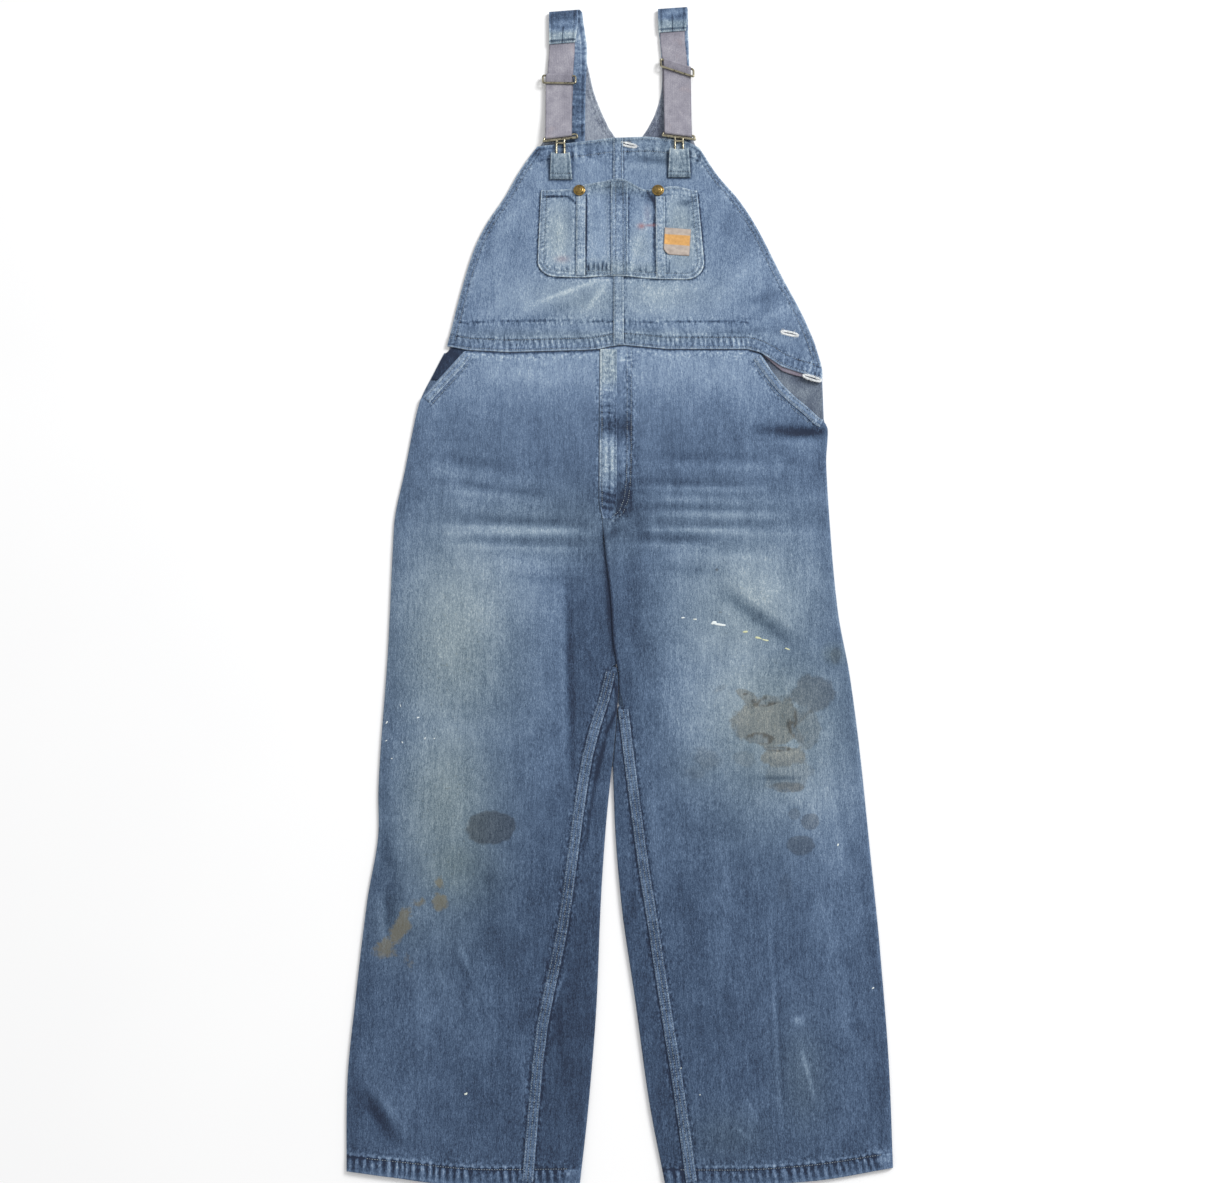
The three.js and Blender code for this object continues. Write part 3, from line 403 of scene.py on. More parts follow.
# Finer creases than the part's own; they stay within a millimetre and a half.
FINE_FOLDS = [
    Crease((-214, 12), (-30, 6), 3.5, 0.35, 0.13), Crease((-160, 22), (-24, 17), 4, -0.3, -0.08),
    Crease((-215, 62), (-70, 44), 6, 0.4, 0.08), Crease((-236, 92), (-60, 70), 9, 0.3, 0.06),
    Crease((-224, 78), (-90, 58), 4, -0.3, -0.06), Crease((-234, 112), (-130, 96), 8, -0.3, -0.06),
    Crease((-150, -14), (-20, -16), 3.5, -0.3, -0.08), Crease((-140, -58), (-30, -62), 6, -0.3, -0.06),
    Crease((46, 66), (230, 62), 4, 0.35, 0.1), Crease((48, 76), (190, 72), 5, -0.3, -0.08),
    Crease((60, 98), (270, 92), 8, 0.3, 0.06), Crease((52, 112), (210, 108), 7, -0.3, -0.05),
    Crease((40, 8), (190, 6), 3.5, 0.4, 0.13), Crease((30, -14), (150, -18), 4, 0.35, 0.08),
    Crease((60, -44), (170, -52), 6, -0.3, -0.06), Crease((150, 44), (300, 52), 7, 0.3, 0.05),
    Crease((-2, -8), (24, 10), 4, -0.3, -0.12), Crease((0, -20), (14, -160), 4, -0.3, -0.14),
    Crease((-46, -70), (-37, -338), 5, -0.7, -0.1), Crease((-54, -76), (-48, -330), 6, 0.5, 0.05),
    Crease((-204, 3), (-14, 3), 5, 0.5, 0.14), Crease((-203, -16), (-12, -20), 5, 0.45, 0.1),
    Crease((-190, -6), (-30, -8), 5, -0.5, -0.07), Crease((-200, 42), (-60, 30), 9, 0.4, 0.04),
    Crease((-230, 26), (-110, 18), 8, -0.4, -0.04), Crease((-180, -36), (-20, -44), 7, 0.4, 0.03),
    Crease((-279, -388), (-262, -452), 9, -0.9, -0.14),
    Crease((-262, -452), (-268, -512), 9, -0.7, -0.1), Crease((-283, -470), (-272, -540), 6, 0.6, 0.08),
    Crease((-181, -528), (-162, -571), 2.6, 0.35, 0.12),
    Crease((-146, -607), (-128, -645), 2.4, 0.3, 0.12),
    Crease((-190, -536), (-126, -650), 3.5, -0.3, -0.05),
    Crease((-292, -712), (-251, -764), 7, -0.6, -0.12), Crease((-282, -700), (-236, -756), 6, 0.5, 0.08),
    Crease((-160, -430), (-120, -560), 16, -0.5, -0.04),
    Crease((-230, -560), (-214, -700), 14, 0.4, 0.03), Crease((-100, -640), (-92, -760), 8, 0.4, 0.05),
    Crease((-60, -560), (-48, -700), 7, -0.4, -0.04), Crease((40, 52), (180, 47), 5, 0.4, 0.1),
    Crease((60, 30), (250, 26), 5, 0.45, 0.11), Crease((49, 39), (200, 37), 4, -0.4, -0.06),
    Crease((46, -3), (150, -5), 6, -0.6, -0.1), Crease((70, 14), (290, 18), 6, -0.4, -0.05),
    Crease((120, 4), (280, 0), 5, 0.4, 0.06), Crease((80, -26), (230, -34), 6, 0.4, 0.05),
    Crease((210, 149), (302, 147), 7, -1.0, -0.22), Crease((238, 140), (302, 145), 5, -0.6, -0.16),
    Crease((206, 132), (300, 128), 9, 0.5, 0.04), Crease((157, -78), (246, -146), 8, -0.5, -0.12),
    Crease((168, -66), (258, -132), 7, 0.5, 0.06), Crease((196, -325), (254, -326), 3.2, -0.5, -0.16),
    Crease((200, -300), (256, -290), 6, 0.5, 0.05), Crease((208, -480), (216, -790), 2.6, 0.3, 0.08),
    Crease((214, -500), (221, -780), 4, -0.3, -0.05), Crease((168, -708), (192, -748), 1.8, 0.2, 0.13),
    Crease((158, -748), (176, -762), 1.8, 0.2, 0.12), Crease((60, -330), (74, -470), 7, 0.5, 0.04),
    Crease((96, -420), (120, -560), 12, -0.4, -0.03), Crease((150, -440), (140, -600), 14, 0.4, 0.03),
    Crease((276, -470), (300, -640), 12, 0.5, 0.04), Crease((300, -330), (322, -470), 8, -0.5, -0.05),
    Crease((30, -120), (62, -300), 8, 0.4, 0.02), Crease((38, 60), (60, -20), 8, -0.5, -0.06),
    Crease((-240, 130), (-190, 60), 16, 0.5, 0.03), Crease((244, -660), (250, -690), 2.6, 0.1, 0.24),
    Crease((249, -684), (258, -720), 1.6, 0.1, 0.18), Crease((234, -624), (247, -626), 3.6, 0.1, 0.26),
    Crease((-46, -562), (-60, -604), 2.0, 0.3, 0.2), Crease((98, -680), (92, -700), 1.4, 0.1, 0.14),
    Crease((-60, -606), (-64, -640), 1.6, 0.2, 0.1), Crease((200, 230), (196, 120), 16, 0.4, 0.02),
    Crease((-120, 235), (-60, 215), 10, 0.4, 0.03),
]
BIB_FOLDS = [
    Crease((-98, 332), (6, 376), 4, 0.7, 0.1), Crease((-120, 300), (-10, 348), 9, -0.6, -0.04),
    Crease((-26, 318), (8, 372), 4, 0.4, 0.07), Crease((-196, 330), (-150, 420), 10, 0.5, 0.03),
    Crease((-170, 300), (-120, 360), 12, 0.5, 0.03), Crease((-150, 430), (-108, 500), 9, 0.5, 0.05),
    Crease((-178, 345), (-150, 470), 6, -0.4, -0.05), Crease((150, 330), (226, 420), 12, 0.6, 0.04),
    Crease((190, 330), (256, 356), 7, -0.6, -0.06), Crease((200, 300), (262, 330), 6, 0.6, 0.05),
    Crease((215, 300), (240, 400), 7, -0.4, -0.05), Crease((148, 420), (170, 500), 9, 0.5, 0.04),
    Crease((150, 300), (226, 312), 8, -0.4, -0.04), Crease((36, 562), (120, 548), 5, -0.5, -0.08),
    Crease((30, 552), (90, 540), 6, 0.5, 0.06), Crease((-34, 560), (-6, 548), 5, 0.4, 0.05),
    Crease((60, 350), (150, 362), 9, 0.5, 0.04), Crease((40, 320), (120, 330), 10, 0.4, 0.03),
    Crease((196, 292), (268, 276), 6, 0.8, 0.06), Crease((150, 288), (220, 294), 5, -0.7, -0.1),
]


def crumple(x: Array, y: Array) -> Array:
    """The low unevenness of cloth that has been worn and washed."""
    broad = 0.45 * mottle(x, y, 60, 90, 31) + 0.25 * mottle(x, y, 24, 40, 32)
    return broad + 0.09 * mottle(x, y, 8, 13, 33)


def total(creases: Sequence[Crease], x: Array, y: Array) -> tuple[Array, Array]:
    """Height and paleness of a list of creases at each point."""
    height, pale = np.zeros(np.shape(x)), np.zeros(np.shape(x))
    for crease in creases:
        felt = crease.strength(x, y)
        height += crease.height * felt
        pale += crease.pale * felt
    return height, pale


def leg_floor(x: Array, y: Array) -> Array:
    """Underside of the leg fronts: full air inside, falling to the back panel along the outer seam."""
    to_side = np.minimum(x - LEFT_SIDE(y), RIGHT_SIDE(y) - x)
    free = ramp(110, 150, y) * np.where(x > 0, 1.0, ramp(140, 190, y))
    side = lerp(rolled(to_side, 12), 1.0, free)
    seam = ramp(0, 10, np.abs(x - MIDDLE(y)) + 20 * ramp(-150, -320, y))
    body = side * ramp(0, 40, to_side + 400 * free)
    fold = total(FOLDS, x, y)[0] + 0.8 * total(FINE_FOLDS, x, y)[0] + 0.8 * crumple(x, y)
    low = CLOTH + GAP + (AIR - GAP) * side
    return np.maximum(low + fold * body * seam * ramp(-816, -760, y) * (1 - ramp(200, 255, y)), CLOTH + 0.1)


def overlap(x: Array, y: Array) -> Array:
    """The right thigh lies over the left one from the fly down to where the legs part."""
    run = ramp(-196, -174, y) * (1 - ramp(-2, 12, y))
    return (CLOTH + GAP + 0.15) * run * (1 - ramp(7, 30, x - MIDDLE(y)))


def right_floor(x: Array, y: Array) -> Array:
    """Underside of the right leg front."""
    return leg_floor(x, y) + overlap(x, y)


def hem_thickness(edge: Plan) -> Plan:
    """Thickness of a leg front: thicker where its hem is turned under."""
    return lambda x, y: CLOTH + BAND_EXTRA * (1 - ramp(HEM_BAND - 3, HEM_BAND + 3, y - edge(x)))


def bib_floor(x: Array, y: Array) -> Array:
    """Underside of the bib."""
    to_side = np.minimum(x - BIB_LEFT(y), BIB_RIGHT(y) - x)
    edge = lerp(1.0, rolled(to_side + 2, 14), ramp(275, 300, y))
    swell = 0.8 * np.exp(-(((x + 90) / 60) ** 2) - ((y - 330) / 40) ** 2)
    swell += 0.7 * np.exp(-(((x - 170) / 50) ** 2) - ((y - 400) / 60) ** 2)
    inner = ramp(0, 40, to_side)
    fold = 0.8 * total(BIB_FOLDS, x, y)[0] + 0.7 * crumple(x, y)
    clear = ramp(290, 316, y) * (1 - ramp(540, 575, y))
    flap = 1.4 * (1 - ramp(274, 296, y)) * ramp(196, 212, x)
    return CLOTH + GAP + (AIR - GAP) * edge + (swell + fold * clear) * inner + flap


def bib_thickness(x: Array, y: Array) -> Array:
    """Thickness of the bib: thicker along its top facing and its lower band."""
    low = 1 - ramp(BIB_BAND - 3, BIB_BAND + 3, y - BIB_LOW_AT(x))
    high = ramp(-BIB_TOP_BAND - 3, -BIB_TOP_BAND + 3, y - BIB_TOP_AT(x))
    return CLOTH + BAND_EXTRA * np.maximum(low, high)


# ---- meshes --------------------------------------------------------------------------------------
def to_frame(points: Array) -> Array:
    """Garment millimetres to the frame's metres."""
    return (points + np.array([CENTRE[0], CENTRE[1], 0.0])) / 1000


def make_mesh(name: str, points: Array, faces: Array | list[Array], fields: Fields,
              finish: bpy.types.Material) -> bpy.types.Object:
    """A smooth-shaded mesh object from garment points.

    Args:
        name: the piece's name.
        points: (n, 3) garment points in millimetres.
        faces: corner numbers, as one (m, k) array or one array for each number of corners.
        fields: numbers kept on the points for the finish to read.
        finish: its material.

    Returns:
        The object, at the origin.
    """
    kinds = faces if isinstance(faces, list) else [faces]
    used = np.unique(np.concatenate([f.ravel() for f in kinds]))
    renumber = np.zeros(len(points), np.int64)
    renumber[used] = np.arange(len(used))
    corners = renumber[np.concatenate([f.ravel() for f in kinds])]
    sizes = np.concatenate([np.full(len(f), f.shape[1]) for f in kinds])
    mesh = bpy.data.meshes.new(name)
    mesh.vertices.add(len(used))
    mesh.vertices.foreach_set("co", to_frame(points[used]).astype(np.float32).ravel())
    mesh.loops.add(len(corners))
    mesh.loops.foreach_set("vertex_index", corners.astype(np.int32))
    mesh.polygons.add(len(sizes))
    mesh.polygons.foreach_set("loop_start", (np.cumsum(sizes) - sizes).astype(np.int32))
    mesh.polygons.foreach_set("use_smooth", np.ones(len(sizes), bool))
    mesh.update(calc_edges=True)
    for key, values in fields.items():
        layer = mesh.attributes.new(key, "FLOAT", "POINT")
        layer.data.foreach_set("value", np.asarray(values, np.float32).ravel()[used])
    mesh.materials.append(finish)
    mesh.validate()
    piece = bpy.data.objects.new(name, mesh)
    bpy.context.scene.collection.objects.link(piece)
    return piece


def shell(top: Array, bottom: Array, present: Array | None = None) -> tuple[Array, Array]:
    """Closed sheet between two grids of points.

    Args:
        top, bottom: (rows, columns, 3) points of the two sides.
        present: (rows - 1, columns - 1) which cells are there; all of them by default.

    Returns:
        Points and four-cornered faces, which point outwards.
    """
    rows, cols = top.shape[:2]
    here = np.ones((rows - 1, cols - 1), bool) if present is None else present
    ids = np.arange(rows * cols).reshape(rows, cols)
    a, b, c, d = ids[:-1, :-1], ids[:-1, 1:], ids[1:, 1:], ids[1:, :-1]
    n = rows * cols
    around = np.pad(here, 1)
    faces = [np.stack([a, b, c, d], -1)[here], np.stack([a, d, c, b], -1)[here] + n]
    beyonds = (around[:-2, 1:-1], around[1:-1, 2:], around[2:, 1:-1], around[1:-1, :-2])
    for p, q, beyond in zip((a, b, c, d), (b, c, d, a), beyonds):
        edge = here & ~beyond
        faces.append(np.stack([p + n, q + n, q, p], -1)[edge])
    quads = np.concatenate(faces)
    i, j = np.argwhere(here)[len(np.argwhere(here)) // 2]
    up = np.cross(top[i, j + 1] - top[i, j], top[i + 1, j] - top[i, j])
    if np.dot(up, top[i, j] - bottom[i, j]) < 0:
        quads = quads[:, ::-1]
    return np.concatenate([top.reshape(-1, 3), bottom.reshape(-1, 3)]), quads


def twice(fields: Fields) -> Fields:
    """Fields of a grid, repeated for its other side."""
    return {key: np.concatenate([np.ravel(v), np.ravel(v)]) for key, v in fields.items()}


def across(width: float, step: float) -> Array:
    """Fractions across a piece of that width: even steps, with fine ones at both edges."""
    first, second = EDGE_STEPS
    inner = np.linspace(second, width - second, max(int(round((width - 2 * second) / step)), 2) + 1)
    return np.concatenate([[0, first], inner, [width - first, width]]) / width


def stops(low: float, high: float, step: float, fine: Sequence[tuple[float, float, float]] = ()) -> Array:
    """Row positions from low to high: even steps, fine ones at both ends and inside the given stretches.

    Args:
        low, high: the ends.
        step: usual distance between rows.
        fine: (from, to, step) stretches that need closer rows.

    Returns:
        Rising positions.
    """
    first, second = EDGE_STEPS
    at = [low, low + first]
    y = low + second
    while y < high - second - step / 2:
        at.append(y)
        y += min([s for a, b, s in fine if a <= y <= b] + [step])
    return np.array([*at, high - second, high - first, high])


def rounding(rows: int, cols: int) -> Array:
    """Share of the full thickness at each grid point: less on the outermost rows and columns."""
    profile = np.array(EDGE_SHARES)
    share_r, share_c = np.ones(rows), np.ones(cols)
    share_r[:2], share_r[-2:] = profile, profile[::-1]
    share_c[:2], share_c[-2:] = profile, profile[::-1]
    return np.minimum(share_r[:, None], share_c[None, :])


def edge_between(points: Points, left: Plan, right: Plan) -> Broken:
    """A top or bottom edge given as (x, y) points, read as y against the fraction of the row's width."""
    return Broken([(float((x - left(y)) / (right(y) - left(y))), y) for x, y in points])


@dataclass
class Panel:
    """A cut piece of cloth as a grid between its own edges.

    Args:
        left, right: its sides, as x against y.
        rows: y of each row, before the ends are drawn to their curves.
        cols: fractions of the width.
        bottom, top: its ends, as y against the fraction of the width; straight without them.
        bottom_reach, top_reach: how far from each end its curve is felt.
    """

    left: Line
    right: Line
    rows: Array
    cols: Array
    bottom: Line | None = None
    bottom_reach: float = HEM_REACH
    top: Line | None = None
    top_reach: float = HEM_REACH

    def plan(self) -> tuple[Array, Array]:
        """Plan position of every grid point."""
        first, last = self.rows[0], self.rows[-1]
        y = np.repeat(self.rows[:, None], len(self.cols), axis=1)
        v = np.repeat(self.cols[None, :], len(self.rows), axis=0)
        level = y.copy()
        if self.bottom is not None:
            y = y + (self.bottom(v) - first) * (1 - np.minimum((level - first) / self.bottom_reach, 1))
        if self.top is not None:
            y = y + (self.top(v) - last) * np.maximum(1 - (last - level) / self.top_reach, 0)
        return lerp(self.left(y), self.right(y), v), y


def lay(name: str, panel: Panel, floor: Plan, thickness: Plan, fields: Callable[[Array, Array], Fields],
        finish: bpy.types.Material, relief: Plan | None = None, sewn: bool = False) -> bpy.types.Object:
    """Make a panel as a sheet of cloth.

    Args:
        name: the piece's name.
        panel: its plan.
        floor: height of its underside.
        thickness: how thick it is.
        fields: what its finish reads at each point.
        finish: its material.
        relief: height that puckers add.
        sewn: a piece sewn down on another, so that only its upper side puckers.

    Returns:
        The object.
    """
    x, y = panel.plan()
    low = floor(x, y)
    lift = relief(x, y) if relief is not None else np.zeros(x.shape)
    deep = thickness(x, y) * rounding(*x.shape)
    if sewn:
        deep = np.maximum(deep + lift * rounding(*x.shape), 0.3)
    else:
        low = low + lift
    points, faces = shell(np.stack([x, y, low + deep], -1), np.stack([x, y, low], -1))
    return make_mesh(name, points, faces, twice(fields(x, y)), finish)


def dress(piece: bpy.types.Object, slot: str, *nodes: str) -> bpy.types.Object:
    """Ride a piece on the garment, hide the CAD nodes that it stands for, and log it."""
    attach(piece, "root")
    if nodes:
        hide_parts(*nodes)
    LOG.info("%s: %d faces", piece.name, len(piece.data.polygons))
    return piece


# ---- shaders -------------------------------------------------------------------------------------
class Value:
    """A socket's value: Python operators on it add Math nodes to its shader."""

    def __init__(self, shader: "Shader", socket: bpy.types.NodeSocket) -> None:
        """Wrap a socket of a shader."""
        self.shader, self.socket = shader, socket

    def __add__(self, other: "Value | float") -> "Value":
        """Sum."""
        return self.shader.maths("ADD", self, other)

    def __sub__(self, other: "Value | float") -> "Value":
        """Difference."""
        return self.shader.maths("SUBTRACT", self, other)

    def __rsub__(self, other: float) -> "Value":
        """Difference from a number."""
        return self.shader.maths("SUBTRACT", other, self)

    def __mul__(self, other: "Value | float") -> "Value":
        """Product."""
        return self.shader.maths("MULTIPLY", self, other)

    __radd__ = __add__
    __rmul__ = __mul__


Tint = tuple[float, float, float]


def tint(red: int, green: int, blue: int) -> Tint:
    """A colour seen on a screen, from 0 to 255, as the linear one that shaders take."""
    shares = (red / 255, green / 255, blue / 255)
    linear = [c / 12.92 if c <= 0.04045 else ((c + 0.055) / 1.055) ** 2.4 for c in shares]
    return (linear[0], linear[1], linear[2])


class NodeTree:
    """A tree of nodes under construction, for a material or for geometry."""

    def __init__(self, tree: bpy.types.NodeTree) -> None:
        """Work on that tree."""
        self.tree = tree

    def node(self, kind: str, settings: dict | None = None, inputs: dict | None = None) -> bpy.types.Node:
        """Add any node.

        Args:
            kind: the node's type.
            settings: its own settings, set first; "stops" fills a colour ramp.
            inputs: socket name or number against a number, colour, Value or socket.

        Returns:
            The node.
        """
        made = self.tree.nodes.new(kind)
        for key, value in (settings or {}).items():
            if key == "stops":
                elements = made.color_ramp.elements
                while len(elements) < len(value):
                    elements.new(0.5)
                for element, (position, colour) in zip(elements, value):
                    element.position, element.color = position, (*colour, 1.0)
            else:
                setattr(made, key, value)
        for key, value in (inputs or {}).items():
            if isinstance(value, Value):
                self.tree.links.new(value.socket, made.inputs[key])
            elif isinstance(value, bpy.types.NodeSocket):
                self.tree.links.new(value, made.inputs[key])
            else:
                made.inputs[key].default_value = value
        return made


class Shader(NodeTree):
    """A material under construction."""

    def __init__(self, name: str) -> None:
        """Start an empty material with that name."""
        self.material = bpy.data.materials.new(name)
        self.material.use_nodes = True
        super().__init__(self.material.node_tree)
        self.tree.nodes.clear()

    def maths(self, operation: str, a: "Value | float", b: "Value | float" = 0.0) -> Value:
        """A Math node's result."""
        return Value(self, self.node("ShaderNodeMath", {"operation": operation}, {0: a, 1: b}).outputs[0])

    def place(self) -> Value:
        """Object coordinates."""
        return Value(self, self.node("ShaderNodeTexCoord").outputs["Object"])

    def stretch(self, vector: Value, by: Tint) -> Value:
        """A vector times a constant one."""
        made = self.node("ShaderNodeVectorMath", {"operation": "MULTIPLY"}, {0: vector, 1: by})
        return Value(self, made.outputs[0])

    def split(self, vector: Value) -> tuple[Value, Value, Value]:
        """A vector's three numbers."""
        made = self.node("ShaderNodeSeparateXYZ", None, {0: vector})
        return Value(self, made.outputs[0]), Value(self, made.outputs[1]), Value(self, made.outputs[2])

    def noise(self, vector: Value, size: Tint, detail: float = 1.0, rough: float = 0.5) -> Value:
        """Noise centred on 0, with patches of that size in millimetres along X, Y and Z."""
        per_metre = (1000 / size[0], 1000 / size[1], 1000 / size[2])
        place = self.stretch(vector, per_metre)
        inputs = {"Vector": place, "Scale": 1.0, "Detail": detail, "Roughness": rough}
        return Value(self, self.node("ShaderNodeTexNoise", None, inputs).outputs[0]) - 0.5

    def attribute(self, name: str) -> Value:
        """A number kept on the mesh's points."""
        return Value(self, self.node("ShaderNodeAttribute", {"attribute_name": name}).outputs["Fac"])

    def step(self, value: Value, low: float, high: float) -> Value:
        """Smooth step of a value: 0 at low, 1 at high."""
        settings = {"interpolation_type": "SMOOTHSTEP"}
        inputs = {"Value": value, "From Min": low, "From Max": high, "To Min": 0.0, "To Max": 1.0}
        return Value(self, self.node("ShaderNodeMapRange", settings, inputs).outputs["Result"])

    def scale(self, value: Value, colours: Sequence[tuple[float, Tint]]) -> Value:
        """A colour read off a scale of stops."""
        made = self.node("ShaderNodeValToRGB", {"stops": colours}, {"Fac": value})
        return Value(self, made.outputs["Color"])

    def mix(self, factor: "Value | float", a: "Value | Tint", b: "Value | Tint", how: str = "MIX") -> Value:
        """Two colours mixed."""
        settings = {"data_type": "RGBA", "blend_type": how, "clamp_factor": True}
        colours = [c if isinstance(c, Value) else (*c, 1.0) for c in (a, b)]
        made = self.node("ShaderNodeMix", settings, {0: factor, 6: colours[0], 7: colours[1]})
        return Value(self, made.outputs[2])

    def bump(self, height: Value, distance: float, strength: float = 1.0,
             normal: Value | None = None) -> Value:
        """A Bump node's normal; distance is the height of 1 in metres."""
        inputs: dict = {"Height": height, "Distance": distance, "Strength": strength}
        if normal is not None:
            inputs["Normal"] = normal
        return Value(self, self.node("ShaderNodeBump", None, inputs).outputs["Normal"])

    def finish(self, colour: Value, roughness: "Value | float", normal: Value,
               **fixed: float) -> bpy.types.Material:
        """Close the material with a Principled shader.

        Args:
            colour, roughness, normal: what changes over the surface.
            fixed: the shader's other sockets, with spaces as underscores, each the same all over.

        Returns:
            The material.
        """
        inputs: dict = {"Base Color": colour, "Roughness": roughness, "Normal": normal}
        inputs.update({key.replace("_", " "): value for key, value in fixed.items()})
        shader = self.node("ShaderNodeBsdfPrincipled", None, inputs)
        self.node("ShaderNodeOutputMaterial", None, {"Surface": shader.outputs[0]})
        return self.material


class Side(Enum):
    """Which side of the denim shows, with its scale of colours from unworn to worn out."""

    FACE = ((0.0, tint(26, 38, 60)), (0.25, tint(56, 75, 101)), (0.5, tint(91, 112, 140)),
            (0.75, tint(131, 151, 175)), (1.0, tint(186, 200, 208)))
    WRONG = ((0.0, tint(58, 64, 82)), (0.3, tint(92, 100, 118)), (0.55, tint(128, 136, 150)),
             (0.8, tint(160, 168, 178)), (1.0, tint(196, 202, 208)))


GREENISH = ((0.0, tint(32, 44, 58)), (0.25, tint(62, 79, 92)), (0.5, tint(99, 116, 125)),
            (0.75, tint(138, 152, 158)), (1.0, tint(188, 199, 198)))


@dataclass(frozen=True)
class Denim:
    """Worn denim. It reads the wear that each piece keeps on its points.

    Args:
        name: the finish's name.
        side: which side shows.
        level: added to the paleness all over.
        contrast: strength of the slubs and grain.
    """

    name: str
    side: Side = Side.FACE
    level: float = 0.0
    contrast: float = 1.0

    def material(self) -> bpy.types.Material:
        """Build the finish."""
        s = Shader(self.name)
        p = s.place()
        slub = s.noise(p, (1.3, 6.5, 3.0), 2.0, 0.6)
        grain = s.noise(p, (1.0, 1.6, 1.5), 1.0)
        streak = s.noise(p, (4.0, 70.0, 20.0), 2.0)
        cloud = s.noise(p, (30.0, 40.0, 40.0), 4.0, 0.65)
        fleck = s.noise(p, (3.2, 4.5, 4.0), 2.0, 0.65)
        x, y, _ = s.split(p)
        twill = s.maths("SINE", x * TWILL[0] + y * TWILL[1])
        pale = s.attribute("pale") + self.level
        speck = s.noise(p, (0.9, 2.4, 1.5), 2.0, 0.7)
        texture = slub * 0.55 + grain * 0.36 + speck * 0.6 + streak * 0.2 + cloud * 0.34 + twill * 0.02
        worn = s.attribute("seam") * fleck * 1.1
        soil_edge = s.noise(p, (16.0, 16.0, 16.0), 4.0, 0.6) * 0.7
        soil = s.step(s.attribute("soil") + soil_edge, 0.0, 0.16)
        grime = s.step(s.attribute("grime") + soil_edge, 0.0, 0.2)
        freckle = s.step(s.noise(p, (5.0, 4.0, 4.0), 3.0, 0.6), 0.1, 0.2) * s.attribute("green")
        earth = s.step(s.attribute("earth") + s.noise(p, (9.0, 9.0, 9.0), 3.0, 0.6) * 1.5, 0.0, 0.5)
        value = pale + texture * self.contrast + worn
        blue = s.scale(value, self.side.value)
        colour = s.mix(s.attribute("green"), blue, s.scale(value, GREENISH))
        colour = s.mix(soil * s.attribute("depth"), colour, (0.8, 0.7, 0.6), "MULTIPLY")
        colour = s.mix(grime * s.attribute("depth"), colour, (0.54, 0.48, 0.44), "MULTIPLY")
        colour = s.mix(freckle * 0.5, colour, (0.66, 0.62, 0.52), "MULTIPLY")
        colour = s.mix(earth * 0.58, colour, tint(112, 104, 76))
        colour = s.mix(s.attribute("blush"), colour, tint(150, 104, 104))
        weave = s.bump(slub * 0.9 + grain * 0.5 + twill * 0.22, 0.00035, 0.7)
        soft = s.bump(s.noise(p, (14.0, 22.0, 18.0), 3.0, 0.55), 0.0016, 0.55, weave)
        rough = cloud * 0.12 + 0.9
        return s.finish(colour, rough, soft, Sheen_Weight=0.12, Sheen_Roughness=0.6, Specular_IOR_Level=0.18)


@dataclass(frozen=True)
class Webbing:
    """Elastic webbing with fine ribs across it, rubbed and a little stained."""

    name: str = "elastic webbing"

    def material(self) -> bpy.types.Material:
        """Build the finish."""
        s = Shader(self.name)
        p = s.place()
        run, side = s.attribute("run"), s.attribute("side")
        ribs = s.maths("SINE", run * 5.2)
        wales = s.maths("SINE", side * 96.0)
        blotch = s.noise(p, (12.0, 16.0, 14.0), 3.0, 0.6)
        fibre = s.noise(p, (0.8, 1.4, 1.0), 2.0, 0.6)
        edge = s.step(s.maths("ABSOLUTE", side - 0.5), 0.455, 0.5)
        value = blotch * 0.62 + fibre * 0.75 + ribs * 0.09 + wales * 0.025 + 0.56 - edge * 0.3
        value = value - s.attribute("dark")
        colours = ((0.0, tint(80, 77, 86)), (0.35, tint(122, 120, 132)), (0.65, tint(150, 148, 158)),
                   (1.0, tint(190, 188, 194)))
        colour = s.scale(value, colours)
        rust = s.step(s.noise(p, (26.0, 30.0, 30.0), 2.0), 0.1, 0.26)
        colour = s.mix(rust * 0.25, colour, tint(164, 148, 148))
        normal = s.bump(ribs * 0.5 + wales * 0.25 + fibre, 0.0002, 0.8)
        return s.finish(colour, 0.9, normal, Sheen_Weight=0.1, Specular_IOR_Level=0.2)


@dataclass(frozen=True)
class WovenLabel:
    """Blank woven square: pale ground crossed from edge to edge by one plain amber band."""

    name: str = "woven label"

    def material(self) -> bpy.types.Material:
        """Build the finish."""
        s = Shader(self.name)
        p = s.place()
        u, w = s.attribute("run"), s.attribute("side")
        threads = s.maths("SINE", w * 260.0)
        dirt = s.noise(p, (7.0, 7.0, 7.0), 3.0, 0.65)
        fibre = s.noise(p, (2.4, 0.7, 1.0), 2.0)
        colours = ((0.0, tint(118, 108, 102)), (0.4, tint(160, 148, 140)), (0.75, tint(184, 173, 163)),
                   (1.0, tint(208, 199, 190)))
        ground = s.scale(dirt * 0.9 + fibre * 0.35 + threads * 0.04 + 0.56, colours)
        band = s.step(s.maths("ABSOLUTE", w - 0.56), 0.21, 0.17)
        amber = s.mix(fibre + dirt + 0.5, tint(186, 130, 56), tint(228, 170, 78))
        colour = s.mix(band * 0.8, ground, amber)
        from_middle = s.maths("MAXIMUM", s.maths("ABSOLUTE", u - 0.5), s.maths("ABSOLUTE", w - 0.5))
        rim = s.step(from_middle, 0.455, 0.495)
        colour = s.mix(rim * 0.5, colour, tint(140, 122, 112))
        normal = s.bump(threads * 0.4 + fibre, 0.00018, 0.8)
        return s.finish(colour, dirt * 0.1 + 0.8, normal, Sheen_Weight=0.05, Specular_IOR_Level=0.25)


